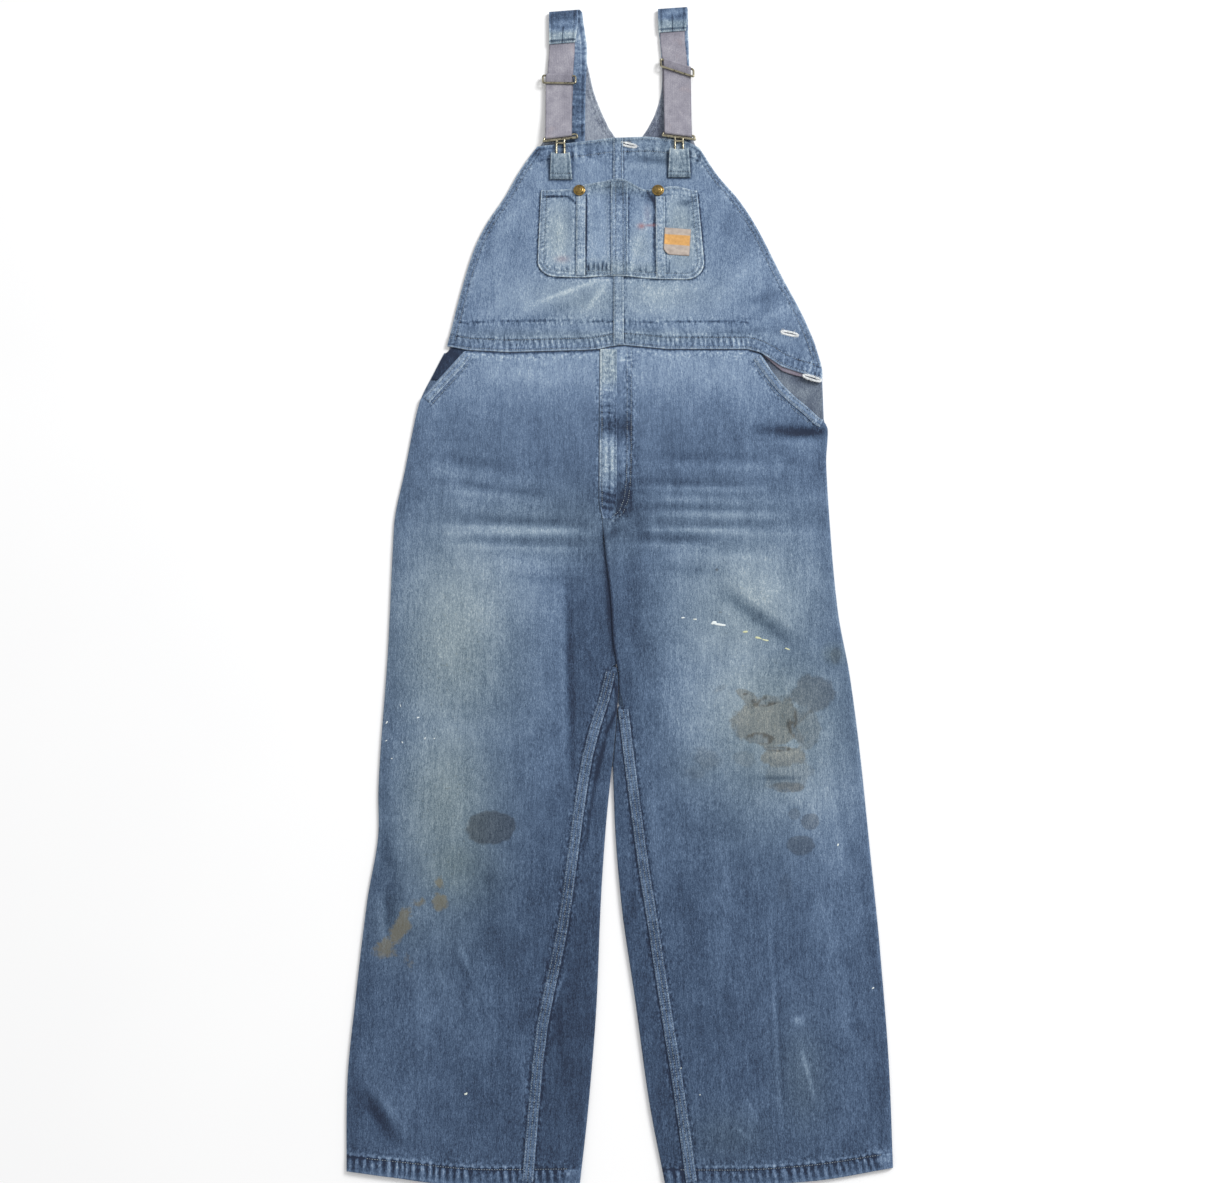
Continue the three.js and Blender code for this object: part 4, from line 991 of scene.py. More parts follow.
@dataclass(frozen=True)
class Brass:
    """Brass-coloured metal with dull and tarnished places."""

    name: str
    bright: Tint
    tarnish: float = 0.5

    def material(self) -> bpy.types.Material:
        """Build the finish."""
        s = Shader(self.name)
        p = s.place()
        cloudy = s.noise(p, (5.0, 5.0, 5.0), 3.0, 0.6)
        fine = s.noise(p, (0.7, 0.7, 0.7), 2.0, 0.6)
        dull = s.step(cloudy + fine * 0.6, -0.05, 0.22) * self.tarnish
        colour = s.mix(dull, self.bright, tint(40, 37, 30))
        normal = s.bump(fine + cloudy, 0.00012, 0.5)
        return s.finish(colour, dull * 0.3 + fine * 0.12 + 0.27, normal, Metallic=1.0)


@dataclass(frozen=True)
class Thread:
    """Sewing thread, faded unevenly, its twist just raised."""

    name: str
    light: Tint
    dark: Tint

    def material(self) -> bpy.types.Material:
        """Build the finish."""
        s = Shader(self.name)
        p = s.place()
        patch = s.noise(p, (9.0, 9.0, 9.0), 2.0)
        twist = s.noise(p, (0.5, 0.5, 0.5), 1.0)
        colour = s.mix(patch * 1.6 + twist * 0.5 + 0.5, self.dark, self.light)
        return s.finish(colour, 0.85, s.bump(twist, 0.00012, 0.8), Sheen_Weight=0.1, Specular_IOR_Level=0.2)


@dataclass(frozen=True)
class Paint:
    """Dried paint: off-white, or yellower where its points say so."""

    name: str = "dried paint"

    def material(self) -> bpy.types.Material:
        """Build the finish."""
        s = Shader(self.name)
        p = s.place()
        skin = s.noise(p, (2.0, 2.0, 2.0), 3.0, 0.6)
        white = s.mix(skin + 0.5, tint(190, 200, 204), tint(236, 240, 238))
        yellow = s.mix(skin + 0.5, tint(176, 180, 132), tint(206, 208, 160))
        colour = s.mix(s.attribute("tone"), white, yellow)
        return s.finish(colour, skin * 0.2 + 0.5, s.bump(skin, 0.0002, 0.6), Specular_IOR_Level=0.4)


@dataclass(frozen=True)
class Backdrop:
    """The pale floor."""

    name: str = "pale floor"

    def material(self) -> bpy.types.Material:
        """Build the finish."""
        s = Shader(self.name)
        p = s.place()
        haze = s.noise(p, (400.0, 400.0, 400.0), 2.0)
        colour = s.mix(haze + 0.5, (0.86, 0.86, 0.865), (0.9, 0.9, 0.9))
        return s.finish(colour, 0.9, s.bump(haze, 0.0001, 0.1), Specular_IOR_Level=0.0)


# ---- what repeats: stitches, by Geometry Nodes ---------------------------------------------------
class StitchTree(NodeTree):
    """Geometry Nodes that lay evenly spaced stitches along every line of a mesh of edges."""

    NUMBERS = (("Pitch", 0.0031), ("Length", 0.0024), ("Width", 0.0007), ("Turn", 0.0), ("Unevenness", 0.12))

    def __init__(self) -> None:
        """Build the tree once; each seam sets its own inputs."""
        super().__init__(bpy.data.node_groups.new("row of stitches", "GeometryNodeTree"))
        sockets = self.tree.interface
        sockets.new_socket("Lines", in_out="INPUT", socket_type="NodeSocketGeometry")
        for name, value in self.NUMBERS:
            sockets.new_socket(name, in_out="INPUT", socket_type="NodeSocketFloat").default_value = value
        sockets.new_socket("Seed", in_out="INPUT", socket_type="NodeSocketInt").default_value = 1
        sockets.new_socket("Thread", in_out="INPUT", socket_type="NodeSocketMaterial")
        sockets.new_socket("Stitches", in_out="OUTPUT", socket_type="NodeSocketGeometry")
        given = self.node("NodeGroupInput")
        lines = self.node("GeometryNodeMeshToCurve", {}, {0: given.outputs["Lines"]})
        points = self.node("GeometryNodeCurveToPoints", {"mode": "LENGTH"},
                          {"Curve": lines.outputs[0], "Length": given.outputs["Pitch"]})
        facing = self.node("FunctionNodeAlignRotationToVector", {"axis": "X"},
                           {"Vector": points.outputs["Tangent"]})
        wobble = self.node("FunctionNodeRandomValue", {"data_type": "FLOAT"},
                          {2: self.maths("MULTIPLY", given.outputs["Unevenness"], -1.0),
                           3: given.outputs["Unevenness"], "Seed": given.outputs["Seed"]})
        turn = self.maths("ADD", given.outputs["Turn"], wobble.outputs[1])
        spin = self.node("ShaderNodeCombineXYZ", {}, {"Z": turn})
        rotation = self.node("FunctionNodeRotateRotation", {"rotation_space": "LOCAL"},
                            {0: facing.outputs[0], 1: spin.outputs[0]})
        bead = self.node("GeometryNodeMeshUVSphere", {}, {"Segments": 5, "Rings": 3, "Radius": 0.5})
        flat = self.maths("MULTIPLY", given.outputs["Width"], 0.7)
        size = self.node("ShaderNodeCombineXYZ", {},
                         {"X": given.outputs["Length"], "Y": given.outputs["Width"], "Z": flat})
        swell = self.node("FunctionNodeRandomValue", {"data_type": "FLOAT"},
                         {2: 0.86, 3: 1.12, "Seed": self.maths("ADD", given.outputs["Seed"], 5.0)})
        scale = self.node("ShaderNodeVectorMath", {"operation": "SCALE"},
                          {0: size.outputs[0], "Scale": swell.outputs[1]})
        placed = self.node("GeometryNodeInstanceOnPoints", {},
                          {"Points": points.outputs[0], "Instance": bead.outputs["Mesh"],
                           "Rotation": rotation.outputs[0], "Scale": scale.outputs[0]})
        real = self.node("GeometryNodeRealizeInstances", {}, {0: placed.outputs[0]})
        smooth = self.node("GeometryNodeSetShadeSmooth", {}, {0: real.outputs[0]})
        dyed = self.node("GeometryNodeSetMaterial", {},
                         {"Geometry": smooth.outputs[0], "Material": given.outputs["Thread"]})
        self.node("NodeGroupOutput", {}, {0: dyed.outputs[0]})

    def maths(self, operation: str, a: bpy.types.NodeSocket | float,
              b: bpy.types.NodeSocket | float) -> bpy.types.NodeSocket:
        """A Math node's result socket."""
        return self.node("ShaderNodeMath", {"operation": operation}, {0: a, 1: b}).outputs[0]

    def sew(self, name: str, lines: Sequence[Array], thread: bpy.types.Material,
            **sizes: float) -> bpy.types.Object:
        """Stitches along lines.

        Args:
            name: the piece's name.
            lines: (n, 3) garment points of each line, on the cloth.
            thread: the stitches' material.
            sizes: any of the tree's inputs, lengths in metres.

        Returns:
            A plain mesh object of all the stitches.
        """
        points = np.concatenate(lines)
        edges, start = [], 0
        for line in lines:
            edges += [(start + k, start + k + 1) for k in range(len(line) - 1)]
            start += len(line)
        guide = bpy.data.meshes.new(name + "_lines")
        guide.from_pydata([tuple(p) for p in to_frame(points)], edges, [])
        carrier = bpy.data.objects.new(name + "_lines", guide)
        bpy.context.scene.collection.objects.link(carrier)
        modifier = carrier.modifiers.new("stitches", "NODES")
        modifier.node_group = self.tree
        values = {**dict(self.NUMBERS), "Seed": len(name), "Thread": thread, **sizes}
        for item in self.tree.interface.items_tree:
            if item.in_out == "INPUT" and item.name in values:
                modifier[item.identifier] = values[item.name]
        evaluated = carrier.evaluated_get(bpy.context.evaluated_depsgraph_get())
        mesh = bpy.data.meshes.new_from_object(evaluated)
        mesh.name = name
        bpy.data.objects.remove(carrier)
        piece = bpy.data.objects.new(name, mesh)
        bpy.context.scene.collection.objects.link(piece)
        return piece


# ---- how the cloth has worn, with painted light and shade on its creases -------------------------
@dataclass(frozen=True)
class Stain:
    """A stained oval with a ragged rim, and how deep its colour is."""

    patch: Patch
    depth: float = 0.8


@dataclass(frozen=True)
class Wear:
    """What years of use have done to one part of the garment, with painted light and shade on its creases.

    Args:
        base: paleness against Y.
        pale, green: soft ovals of fading, and of greenish fading; some of the darker pale ovals are painted
            shade in folds.
        creases: worn ridges and dark troughs; their paleness is partly wear, partly painted light on the
            ridges and painted shade in the troughs.
        soil, grime, earth: stains: warm grey, dark grey and olive-brown.
        blush: soft reddish ovals.
    """

    base: Curve
    pale: Sequence[Patch] = ()
    green: Sequence[Patch] = ()
    creases: Sequence[Crease] = ()
    soil: Sequence[Stain] = ()
    grime: Sequence[Stain] = ()
    earth: Sequence[Stain] = ()
    blush: Sequence[Patch] = ()

    def fields(self, x: Array, y: Array, extra: Array | float = 0.0, seam: Array | float = 0.0) -> Fields:
        """What a denim finish reads at each point.

        Args:
            x, y: points in plan.
            extra: paleness that seams and edges add.
            seam: how near a seam each point is, from 0 to 1.

        Returns:
            The fields by name.
        """
        height, worn = total(self.creases, x, y)
        # creases make the cloth paler on ridges and darker in troughs: partly wear, partly painted light and
        # shade
        pale = self.base(y) + CREASE_WEAR_AND_SHADE * worn + RIDGE_WEAR_AND_LIGHT * height + extra
        for patch in self.pale:
            pale = pale + patch.soft(x, y)
        green = np.zeros(x.shape)
        for patch in self.green:
            green = np.maximum(green, patch.soft(x, y))
        blush = np.zeros(x.shape)
        for patch in self.blush:
            blush = np.maximum(blush, patch.soft(x, y))
        found = {"pale": pale, "green": green, "blush": blush, "seam": np.zeros(x.shape) + seam}
        depth, deepest = np.zeros(x.shape), np.full(x.shape, 3 * NO_STAIN)
        for key, stains in (("soil", self.soil), ("grime", self.grime), ("earth", self.earth)):
            reach = np.full(x.shape, NO_STAIN)
            for stain in stains:
                edge = stain.patch.edge(x, y)
                depth = np.where(edge > deepest, stain.depth, depth)
                deepest = np.maximum(deepest, edge)
                reach = np.maximum(reach, edge)
            found[key] = reach
        found["depth"] = depth
        return found


LEG_WEAR_AND_SHADE = Wear(
    base=Curve([(-816, 0.27), (-700, 0.24), (-560, 0.26), (-420, 0.32), (-300, 0.36), (-150, 0.4),
                (-40, 0.45), (20, 0.42), (90, 0.39), (150, 0.42), (200, 0.53), (235, 0.61),
                (262, 0.64)]),
    # the long dark ovals at (-22, -130) and (36, -150), either side of the middle line, are painted shade in
    # the folds of the inner thighs
    pale=[Patch((-196, -120), (78, 140), 0.23), Patch((-205, -320), (66, 110), 0.2),
          Patch((-120, -60), (60, 60), 0.06), Patch((178, -84), (90, 96), 0.17),
          Patch((240, -50), (56, 60), 0.08), Patch((158, -200), (76, 80), 0.22),
          Patch((130, -300), (50, 50), 0.08), Patch((300, -360), (50, 120), 0.18),
          Patch((232, -350), (60, 60), 0.18), Patch((-22, -130), (34, 150), -0.16),
          Patch((36, -150), (40, 170), -0.17), Patch((-40, -560), (60, 150), -0.05),
          Patch((-110, -720), (50, 60), -0.05), Patch((-215, -450), (66, 100), 0.12),
          Patch((-60, -400), (40, 160), -0.04), Patch((130, 130), (100, 50), -0.03),
          Patch((290, -640), (70, 140), 0.05), Patch((-240, -660), (60, 120), 0.04),
          Patch((-110, 222), (80, 20), 0.05), Patch((110, 226), (70, 22), 0.03),
          Patch((214, -256), (70, 50), 0.16), Patch((272, -216), (34, 30), 0.1),
          Patch((232, -300), (34, 20), 0.08), Patch((40, -60), (20, 80), -0.06),
          Patch((60, 60), (60, 40), -0.05), Patch((-70, 60), (60, 40), -0.04)],
    green=[Patch((-196, -150), (86, 170), 0.85), Patch((-200, -360), (70, 150), 0.92),
           Patch((190, -110), (110, 130), 0.65), Patch((140, -306), (56, 46), 0.5),
           Patch((215, -250), (104, 130), 0.85), Patch((-190, -430), (60, 70), 0.95),
           Patch((300, -164), (24, 20), 0.7), Patch((-100, 10), (200, 60), 0.35),
           Patch((160, 10), (150, 60), 0.3), Patch((244, -690), (30, 60), 0.35),
           Patch((150, -760), (50, 30), 0.3), Patch((-240, -500), (60, 60), 0.4)],
    creases=[*FOLDS, *FINE_FOLDS],
    soil=[Stain(Patch((214, -252), (50, 35), 1.0), 0.9), Stain(Patch((233, -299), (32, 17), 1.0), 0.95),
          Stain(Patch((187, -219), (17, 8), 0.8, -30), 0.8),
          Stain(Patch((182, -300), (16, 12), 0.5), 0.3), Stain(Patch((262, -262), (20, 30), 0.7), 0.5),
          Stain(Patch((236, -318), (34, 30), 0.6), 0.4)],
    grime=[Stain(Patch((272, -216), (30, 27), 1.0), 0.62),
           Stain(Patch((258, -238), (10, 22), 0.7, -30), 0.4),
           Stain(Patch((202, -274), (20, 9), 0.8), 0.4),
           Stain(Patch((214, -226), (30, 7), 0.5, 14), 0.35),
           Stain(Patch((246, -262), (8, 22), 0.5, 30), 0.35),
           Stain(Patch((150, -210), (14, 4), 0.4, 30), 0.25),
           Stain(Patch((132, -302), (22, 16), 0.35), 0.3),
           Stain(Patch((118, -318), (16, 12), 0.3), 0.25),
           Stain(Patch((-143, -389), (35, 24), 1.2), 0.8), Stain(Patch((263, -381), (13, 12), 1.0), 0.6),
           Stain(Patch((250, -410), (21, 14), 1.0), 0.62), Stain(Patch((243, -371), (9, 8), 0.8), 0.4),
           Stain(Patch((228, -466), (11, 20), 0.5), 0.22), Stain(Patch((235, -337), (25, 8), 0.9), 0.6),
           Stain(Patch((151, -49), (3.2, 3.2), 0.5), 0.8), Stain(Patch((224, -172), (3.5, 3), 0.5), 0.7),
           Stain(Patch((154, -106), (4, 2.6), 0.5), 0.6), Stain(Patch((184, -216), (5, 3), 0.5), 0.8),
           Stain(Patch((196, -226), (7, 4), 0.5), 0.6), Stain(Patch((304, -166), (9, 14), 0.5), 0.4),
           Stain(Patch((226, -288), (24, 4), 0.6), 0.45)],
    earth=[Stain(Patch((-253, -512), (13, 32), 1.1, -22)), Stain(Patch((-270, -538), (17, 16), 0.9)),
           Stain(Patch((-204, -482), (14, 12), 1.1)), Stain(Patch((-206, -458), (8, 12), 0.8)),
           Stain(Patch((-228, -480), (10, 8), 0.5)), Stain(Patch((-240, -556), (8, 10), 0.4))],
)
BIB_WEAR_AND_SHADE = Wear(
    base=Curve([(262, 0.52), (284, 0.54), (320, 0.6), (380, 0.61), (440, 0.56), (520, 0.57), (560, 0.57),
                (595, 0.58)]),
    pale=[Patch((-30, 350), (90, 40), 0.08), Patch((70, 350), (80, 40), 0.07),
          Patch((-180, 330), (30, 60), -0.08), Patch((250, 300), (30, 40), -0.08),
          Patch((-60, 470), (40, 40), 0.02), Patch((196, 440), (70, 90), -0.07),
          Patch((-160, 450), (60, 70), -0.03), Patch((12, 330), (7, 50), -0.06),
          Patch((32, 330), (7, 50), -0.08), Patch((-100, 572), (22, 14), -0.14),
          Patch((-66, 556), (10, 30), -0.06), Patch((-20, 576), (16, 12), -0.12),
          Patch((44, 556), (40, 10), -0.1)],
    green=[Patch((-20, 340), (80, 40), 0.45), Patch((70, 350), (80, 40), 0.4),
           Patch((100, 570), (60, 30), 0.4), Patch((0, 285), (200, 12), 0.4),
           Patch((20, 590), (80, 12), 0.4)],
    creases=BIB_FOLDS,
)
POCKET_WEAR_AND_SHADE = Wear(
    base=Curve([(370, 0.68), (400, 0.72), (450, 0.69), (490, 0.67), (527, 0.66)]),
    # the dark ovals at (23, 500) and (66, 494) are painted shade: on the top of the middle strip and in the
    # opening beside the right strip
    pale=[Patch((23, 500), (16, 26), -0.34), Patch((36, 470), (9, 40), -0.12),
          Patch((118, 489), (11, 6), -0.34), Patch((66, 494), (7, 12), -0.3, 30),
          Patch((-12, 450), (16, 60), -0.04), Patch((-60, 440), (10, 50), 0.08),
          Patch((110, 395), (20, 14), -0.06), Patch((-48, 455), (5, 40), -0.1)],
    green=[Patch((-62, 440), (30, 60), 0.6), Patch((110, 440), (30, 70), 0.65),
           Patch((50, 420), (20, 30), 0.4), Patch((20, 385), (120, 16), 0.5),
           Patch((20, 516), (110, 14), 0.5)],
    # the crease from (62, 508) to (74, 486) is painted shade in that same opening
    creases=[Crease((-88, 498), (-50, 498), 1.6, -0.5, -0.5),
             Crease((-52, 498), (-36, 487), 1.8, -0.5, -0.45),
             Crease((-23.5, 500), (-23.5, 378), 1.4, -0.4, -0.5),
             Crease((72, 500), (71, 378), 1.6, -0.4, -0.45),
             Crease((62, 508), (74, 486), 2.4, -0.5, -0.4),
             Crease((-20, 382), (-20, 394), 1.5, -0.3, -0.5),
             Crease((-13, 382), (-13, 397), 1.5, -0.3, -0.5),
             Crease((-7, 382), (-7, 395), 1.4, -0.3, -0.45),
             Crease((-1, 381), (0, 398), 1.5, -0.3, -0.5), Crease((4, 382), (5, 396), 1.2, -0.3, -0.4),
             Crease((60, 380), (60, 392), 1.3, -0.3, -0.3),
             Crease((52, 380), (52, 390), 1.3, -0.3, -0.25),
             Crease((92, 380), (92, 398), 1.4, -0.3, -0.3),
             Crease((-30, 380), (-74, 380), 3.0, 0.3, 0.08),
             Crease((-50, 390), (-50, 380), 1.4, -0.3, -0.25),
             Crease((-58, 390), (-58, 381), 1.4, -0.3, -0.25),
             Crease((-68, 392), (-67, 383), 1.4, -0.3, -0.25),
             Crease((36, 376), (60, 470), 5, 0.3, 0.06)],
    blush=[Patch((54, 452), (5, 4), 0.8), Patch((66, 453), (9, 2), 0.6), Patch((-57, 401), (9, 5), 0.3),
           Patch((62, 470), (5, 14), 0.12)],
)
STRAP_WEAR = Wear(base=Curve([(560, 0.42), (640, 0.36), (700, 0.42), (745, 0.62), (765, 0.66),
                              (776, 0.5), (800, 0.5)]))
BACK_WEAR = Wear(base=Curve([(262, 0.5), (560, 0.46), (600, 0.56), (724, 0.52)]),
                 pale=[Patch((74, 600), (26, 60), -0.3)])


def felt(seams: Sequence[Seam], x: Array, y: Array) -> tuple[Array, Array, Array]:
    """Height, paleness and nearness that seams give each point."""
    height, pale, near = np.zeros(x.shape), np.zeros(x.shape), np.zeros(x.shape)
    for seam in seams:
        lift, worn = seam.felt(x, y)
        height, pale = height + lift, pale + worn
        off = np.abs(along(x, y, seam.path)[1])
        near = np.maximum(near, 1 - ramp(2, 5 + max(seam.inside, seam.outside), off))
    return height, pale, near


def trace(curve: Line, low: float, high: float, count: int = 14) -> list[tuple[float, float]]:
    """Plan points of a line given as x against y."""
    return [(float(curve(y)), float(y)) for y in np.linspace(low, high, count)]


def shifted(path: Points, by: float) -> list[tuple[float, float]]:
    """A path moved sideways: to its left for a positive distance."""
    line = np.array(path, float)[:, :2]
    run = headings(line)
    moved = line + by * np.stack([-run[:, 1], run[:, 0]], 1)
    return [(float(p[0]), float(p[1])) for p in moved]


@dataclass
class Strip:
    """A narrow folded strip, sewn down along a line by one or two rows of stitches.

    Args:
        path: its middle line in plan.
        width: how wide it is.
        surface: height of the cloth it lies on.
        thick: its own thickness.
        pale: its paleness, and contrast how much its puckers vary it.
        period: length of a pucker.
        pucker: height of the puckers.
        slant: lean of the puckers.
        seed: which pattern.
        rows: distances of the stitch rows from its edges.
        step: distance between the rows of its mesh.
    """

    path: Points
    width: float
    surface: Plan
    thick: float = 0.95
    pale: float = 0.62
    contrast: float = 0.16
    period: float = 5.0
    pucker: float = 0.26
    slant: float = 0.25
    seed: int = 3
    rows: tuple[float, ...] = (1.9,)
    step: float = 1.5

    def grid(self) -> tuple[Array, Array, Array, Array]:
        """Plan position, run and offset of every grid point."""
        line = walk(self.path, self.step)[:, :2]
        run_by = headings(line)
        run = np.concatenate([[0], np.cumsum(np.hypot(*np.diff(line, axis=0).T))])
        off = (across(self.width, 1.4) - 0.5) * self.width
        x = line[:, 0, None] + off[None, :] * run_by[:, 1, None]
        y = line[:, 1, None] - off[None, :] * run_by[:, 0, None]
        return x, y, run[:, None] + 0 * x, off[None, :] + 0 * x

    def shape(self, run: Array, off: Array) -> tuple[Array, Array]:
        """Thickness and paleness change at each place along and across the strip; the paleness follows the
        puckers and sunk stitch rows: worn tops, and painted light and shade.
        """
        seam = Seam(self.path, self.period, 1.0, slant=self.slant, seed=self.seed)
        wave = seam.wave(run, off)
        sewn = np.zeros(run.shape)
        for inset in self.rows:
            sewn = np.maximum(sewn, bump(np.abs(np.abs(off) - (self.width / 2 - inset)), 0.75))
        crown = 0.22 * (1 - (2 * off / self.width) ** 2)
        slubs = 0.35 * mottle(run, off, 3.0, 2.6, self.seed + 20, 2)
        deep = self.thick + crown + self.pucker * (wave + slubs * 0.6) - 0.3 * sewn
        rim = bump(self.width / 2 - np.abs(off), 1.0)
        return deep, self.contrast * (wave + slubs) - 0.24 * sewn + 0.2 * rim

    def height(self, x: Array, y: Array, run: Array, off: Array) -> Array:
        """Height of its upper side."""
        return self.surface(x, y) + SIT + self.shape(run, off)[0]

    def build(self, name: str, wear: Wear, finish: bpy.types.Material,
              fade: Plan | None = None) -> bpy.types.Object:
        """Make the strip.

        Args:
            name: the piece's name.
            wear: gives it greenness and stains; its own paleness takes the place of the wear's.
            finish: its material.
            fade: extra paleness in plan.

        Returns:
            The object.
        """
        x, y, run, off = self.grid()
        deep, worn = self.shape(run, off)
        low = self.surface(x, y) + SIT
        high = low + deep * rounding(*x.shape)
        fields = wear.fields(x, y, 0.0, 0.7)
        fields["pale"] = self.pale + worn + (fade(x, y) if fade is not None else 0.0)
        points, faces = shell(np.stack([x, y, high], -1), np.stack([x, y, low], -1))
        return make_mesh(name, points, faces, twice(fields), finish)

    def rows_of_stitches(self) -> list[Array]:
        """Lines on its upper side where the stitches run."""
        found = []
        for inset in self.rows:
            for side in (-1, 1):
                off = side * (self.width / 2 - inset)
                line = walk(self.path, self.step)[2:-2, :2]
                run_by = headings(line)
                x, y = line[:, 0] + off * run_by[:, 1], line[:, 1] - off * run_by[:, 0]
                run = (2 + np.arange(len(x))) * self.step
                z = self.height(x, y, run, np.full(len(x), off)) + 0.16
                found.append(np.stack([x, y, z], 1))
        return found


def stitch_line(path: Points, surface: Plan) -> Array:
    """A line of stitches on a surface."""
    line = walk(path, 2.0)
    x, y = line[:, 0], line[:, 1]
    return np.stack([x, y, surface(x, y) + THREAD_LIFT], 1)


# ---- trousers ------------------------------------------------------------------------------------
@dataclass
class Finishes:
    """Every finish on the garment, made once."""

    face: bpy.types.Material
    wrong: bpy.types.Material
    seam: bpy.types.Material
    webbing: bpy.types.Material
    mauve: bpy.types.Material
    label: bpy.types.Material
    brass: bpy.types.Material
    gold: bpy.types.Material
    pale_thread: bpy.types.Material
    dark_thread: bpy.types.Material
    white_thread: bpy.types.Material
    paint: bpy.types.Material

    @staticmethod
    def mixed() -> "Finishes":
        """Mix them all."""
        return Finishes(
            face=Denim("faded denim").material(),
            wrong=Denim("wrong side of denim", Side.WRONG).material(),
            seam=Denim("worn seam denim", contrast=1.25).material(),
            webbing=Webbing().material(),
            mauve=Denim("mauve facing", Side.WRONG, -0.05, 0.7).material(),
            label=WovenLabel().material(),
            brass=Brass("dull brass", tint(168, 162, 140), 1.0).material(),
            gold=Brass("rubbed brass", tint(146, 122, 74), 0.9).material(),
            pale_thread=Thread("pale thread", tint(178, 188, 190), tint(128, 142, 152)).material(),
            dark_thread=Thread("dark thread", tint(58, 66, 84), tint(34, 40, 56)).material(),
            white_thread=Thread("white thread", tint(236, 238, 238), tint(196, 200, 202)).material(),
            paint=Paint().material(),
        )


@dataclass
class Trousers:
    """Front and back legs, inseams, fly and hip pockets."""

    finishes: Finishes
    stitches: StitchTree
    cell: float = 2.6
    row: float = 4.2
    left_thread: list[Array] = field(default_factory=list)
    right_thread: list[Array] = field(default_factory=list)

    def __post_init__(self) -> None:
        """Work out the seams that pucker each leg."""
        self.left_line = trace(LEFT_INSEAM, -812, -186, 18)
        self.right_line = trace(RIGHT_INSEAM, -812, -236, 18)
        self.left_hem_line = [(x, float(left_hem_at(x)) + HEM_BAND) for x in range(-308, -20, 24)]
        self.right_hem_line = [(x, float(right_hem_at(x)) + HEM_BAND) for x in range(70, 356, 24)]
        self.fly_curve = [(39, 268), (38.5, 190), (38, 110), (37, 76), (34, 50), (27, 31), (14, 19)]
        mouth_left, mouth_right = walk(MOUTH_LEFT[1:], 9), walk(MOUTH_RIGHT, 9)
        self.left_seams = [
            *self.leg_seams(self.left_hem_line, self.left_line, MOUTH_LEFT[1:], mouth_left, (4, 6), 11, 16),
            Seam([(-4, 262), (-3, 100), (0, 20)], 8.0, 0.2, 0.05, 9, 9, groove=0.1, seed=15),
        ]
        self.right_seams = [
            *self.leg_seams(self.right_hem_line, self.right_line, MOUTH_RIGHT[:-1], mouth_right, (6, 4),
                            21, 27),
            Seam(self.fly_curve, 6.5, 0.35, 0.14, 4, 9, groove=0.22, seed=25),
            Seam(shifted(self.fly_curve, -5.5), 6.5, 0.2, 0.08, 3, 3, groove=0.16, seed=26),
        ]

    @staticmethod
    def leg_seams(hem_line: Points, inseam: Points, mouth: Points, fine_mouth: Array,
                  reach: tuple[float, float], seed: int, edge_seed: int) -> list[Seam]:
        """Seams that both legs have; the first four are the hem's and the inseam's.

        Args:
            hem_line: stitching of the hem.
            inseam: middle of the inseam.
            mouth: the pocket mouth, and fine_mouth the same in even steps.
            reach: how far the mouth's puckers run to its left and right.
            seed: pattern of the first seam; edge_seed that of the first edge.

        Returns:
            The seams.
        """
        rim = {"period": 7.0, "lift": 0.05, "pale": 0.02, "inside": 3.0, "outside": 3.0, "groove": 0.3}
        fell_edge = FELL_LEG / 2 + 0.7
        return [
            Seam(hem_line, 9.0, 0.6, 0.62, 3, 15, slant=0.12, groove=0.6, seed=seed),
            Seam(inseam, 7.0, 0.3, 0.06, 11, 11, groove=0.0, seed=seed + 1),
            Seam(shifted(inseam, fell_edge), seed=edge_seed, **rim),
            Seam(shifted(inseam, -fell_edge), seed=edge_seed + 1, **rim),
            Seam([(x, y - 2.0) for x, y in WAIST], 8.0, 0.25, 0.05, 5, 16, groove=0.0, seed=seed + 2),
            Seam(shifted(mouth, -MOUTH_STITCH), 7.0, 0.25, 0.05, *reach, groove=0.3, seed=seed + 3),
            Seam(shifted(fine_mouth, -(MOUTH_BAND + 1.2)), 7.0, 0.05, 0.02, 2, 2, groove=0.24,
                 seed=edge_seed + 2),
        ]

    def left_surface(self, x: Array, y: Array) -> Array:
        """Upper side of the left leg's front, inseam allowance included."""
        thick = hem_thickness(left_hem_at)(x, y)
        return leg_floor(x, y) + felt(self.left_seams, x, y)[0] + thick

    def right_surface(self, x: Array, y: Array) -> Array:
        """Upper side of the right leg's front."""
        thick = hem_thickness(right_hem_at)(x, y)
        return right_floor(x, y) + felt(self.right_seams, x, y)[0] + thick

    def edge_wear_and_shade(self, x: Array, y: Array, left: bool) -> Array:
        """Paleness that outer edges, hems, the waist and the middle line add to a front, with painted shadow
        under the bib's lower edge and along the middle line where the thighs lap, and faint painted shade
        inside the outer edge.
        """
        hem = (left_hem_at if left else right_hem_at)(x)
        outer = np.abs(x - (LEFT_SIDE(y) if left else RIGHT_SIDE(y)))
        up = y - hem
        low = 0.16 * bump(up, 2.2) - 0.1 * bump(up - HEM_BAND + 2.6, 1.6) + 0.16 * bump(up - 20.5, 1.8)
        waist = BIB_LOW_AT(x) - y
        uneven = 0.5 + mottle(x, y, 9, 30, 41, 2)
        # under: painted shadow, a dark line on the leg just below the bib's lower edge, with uneven pale
        # wear a little lower
        under = -0.9 * bump(waist + 0.5, 2.6) + 0.05 * bump(waist - 9, 5) * uneven
        # side: the outer edge is paler from wear, with a faint painted shade a little inside it
        side = 0.06 * bump(outer, 3.0) - 0.05 * bump(outer - 9, 7)
        line = lap_shadow(x, y)
        frayed = 0.2 * bump(waist - 5.0, 1.3) * ramp(0.2, 0.6, mottle(x, y, 22, 50, 43, 2))
        return low + (under + frayed) * ramp(180, 230, y) + side + line

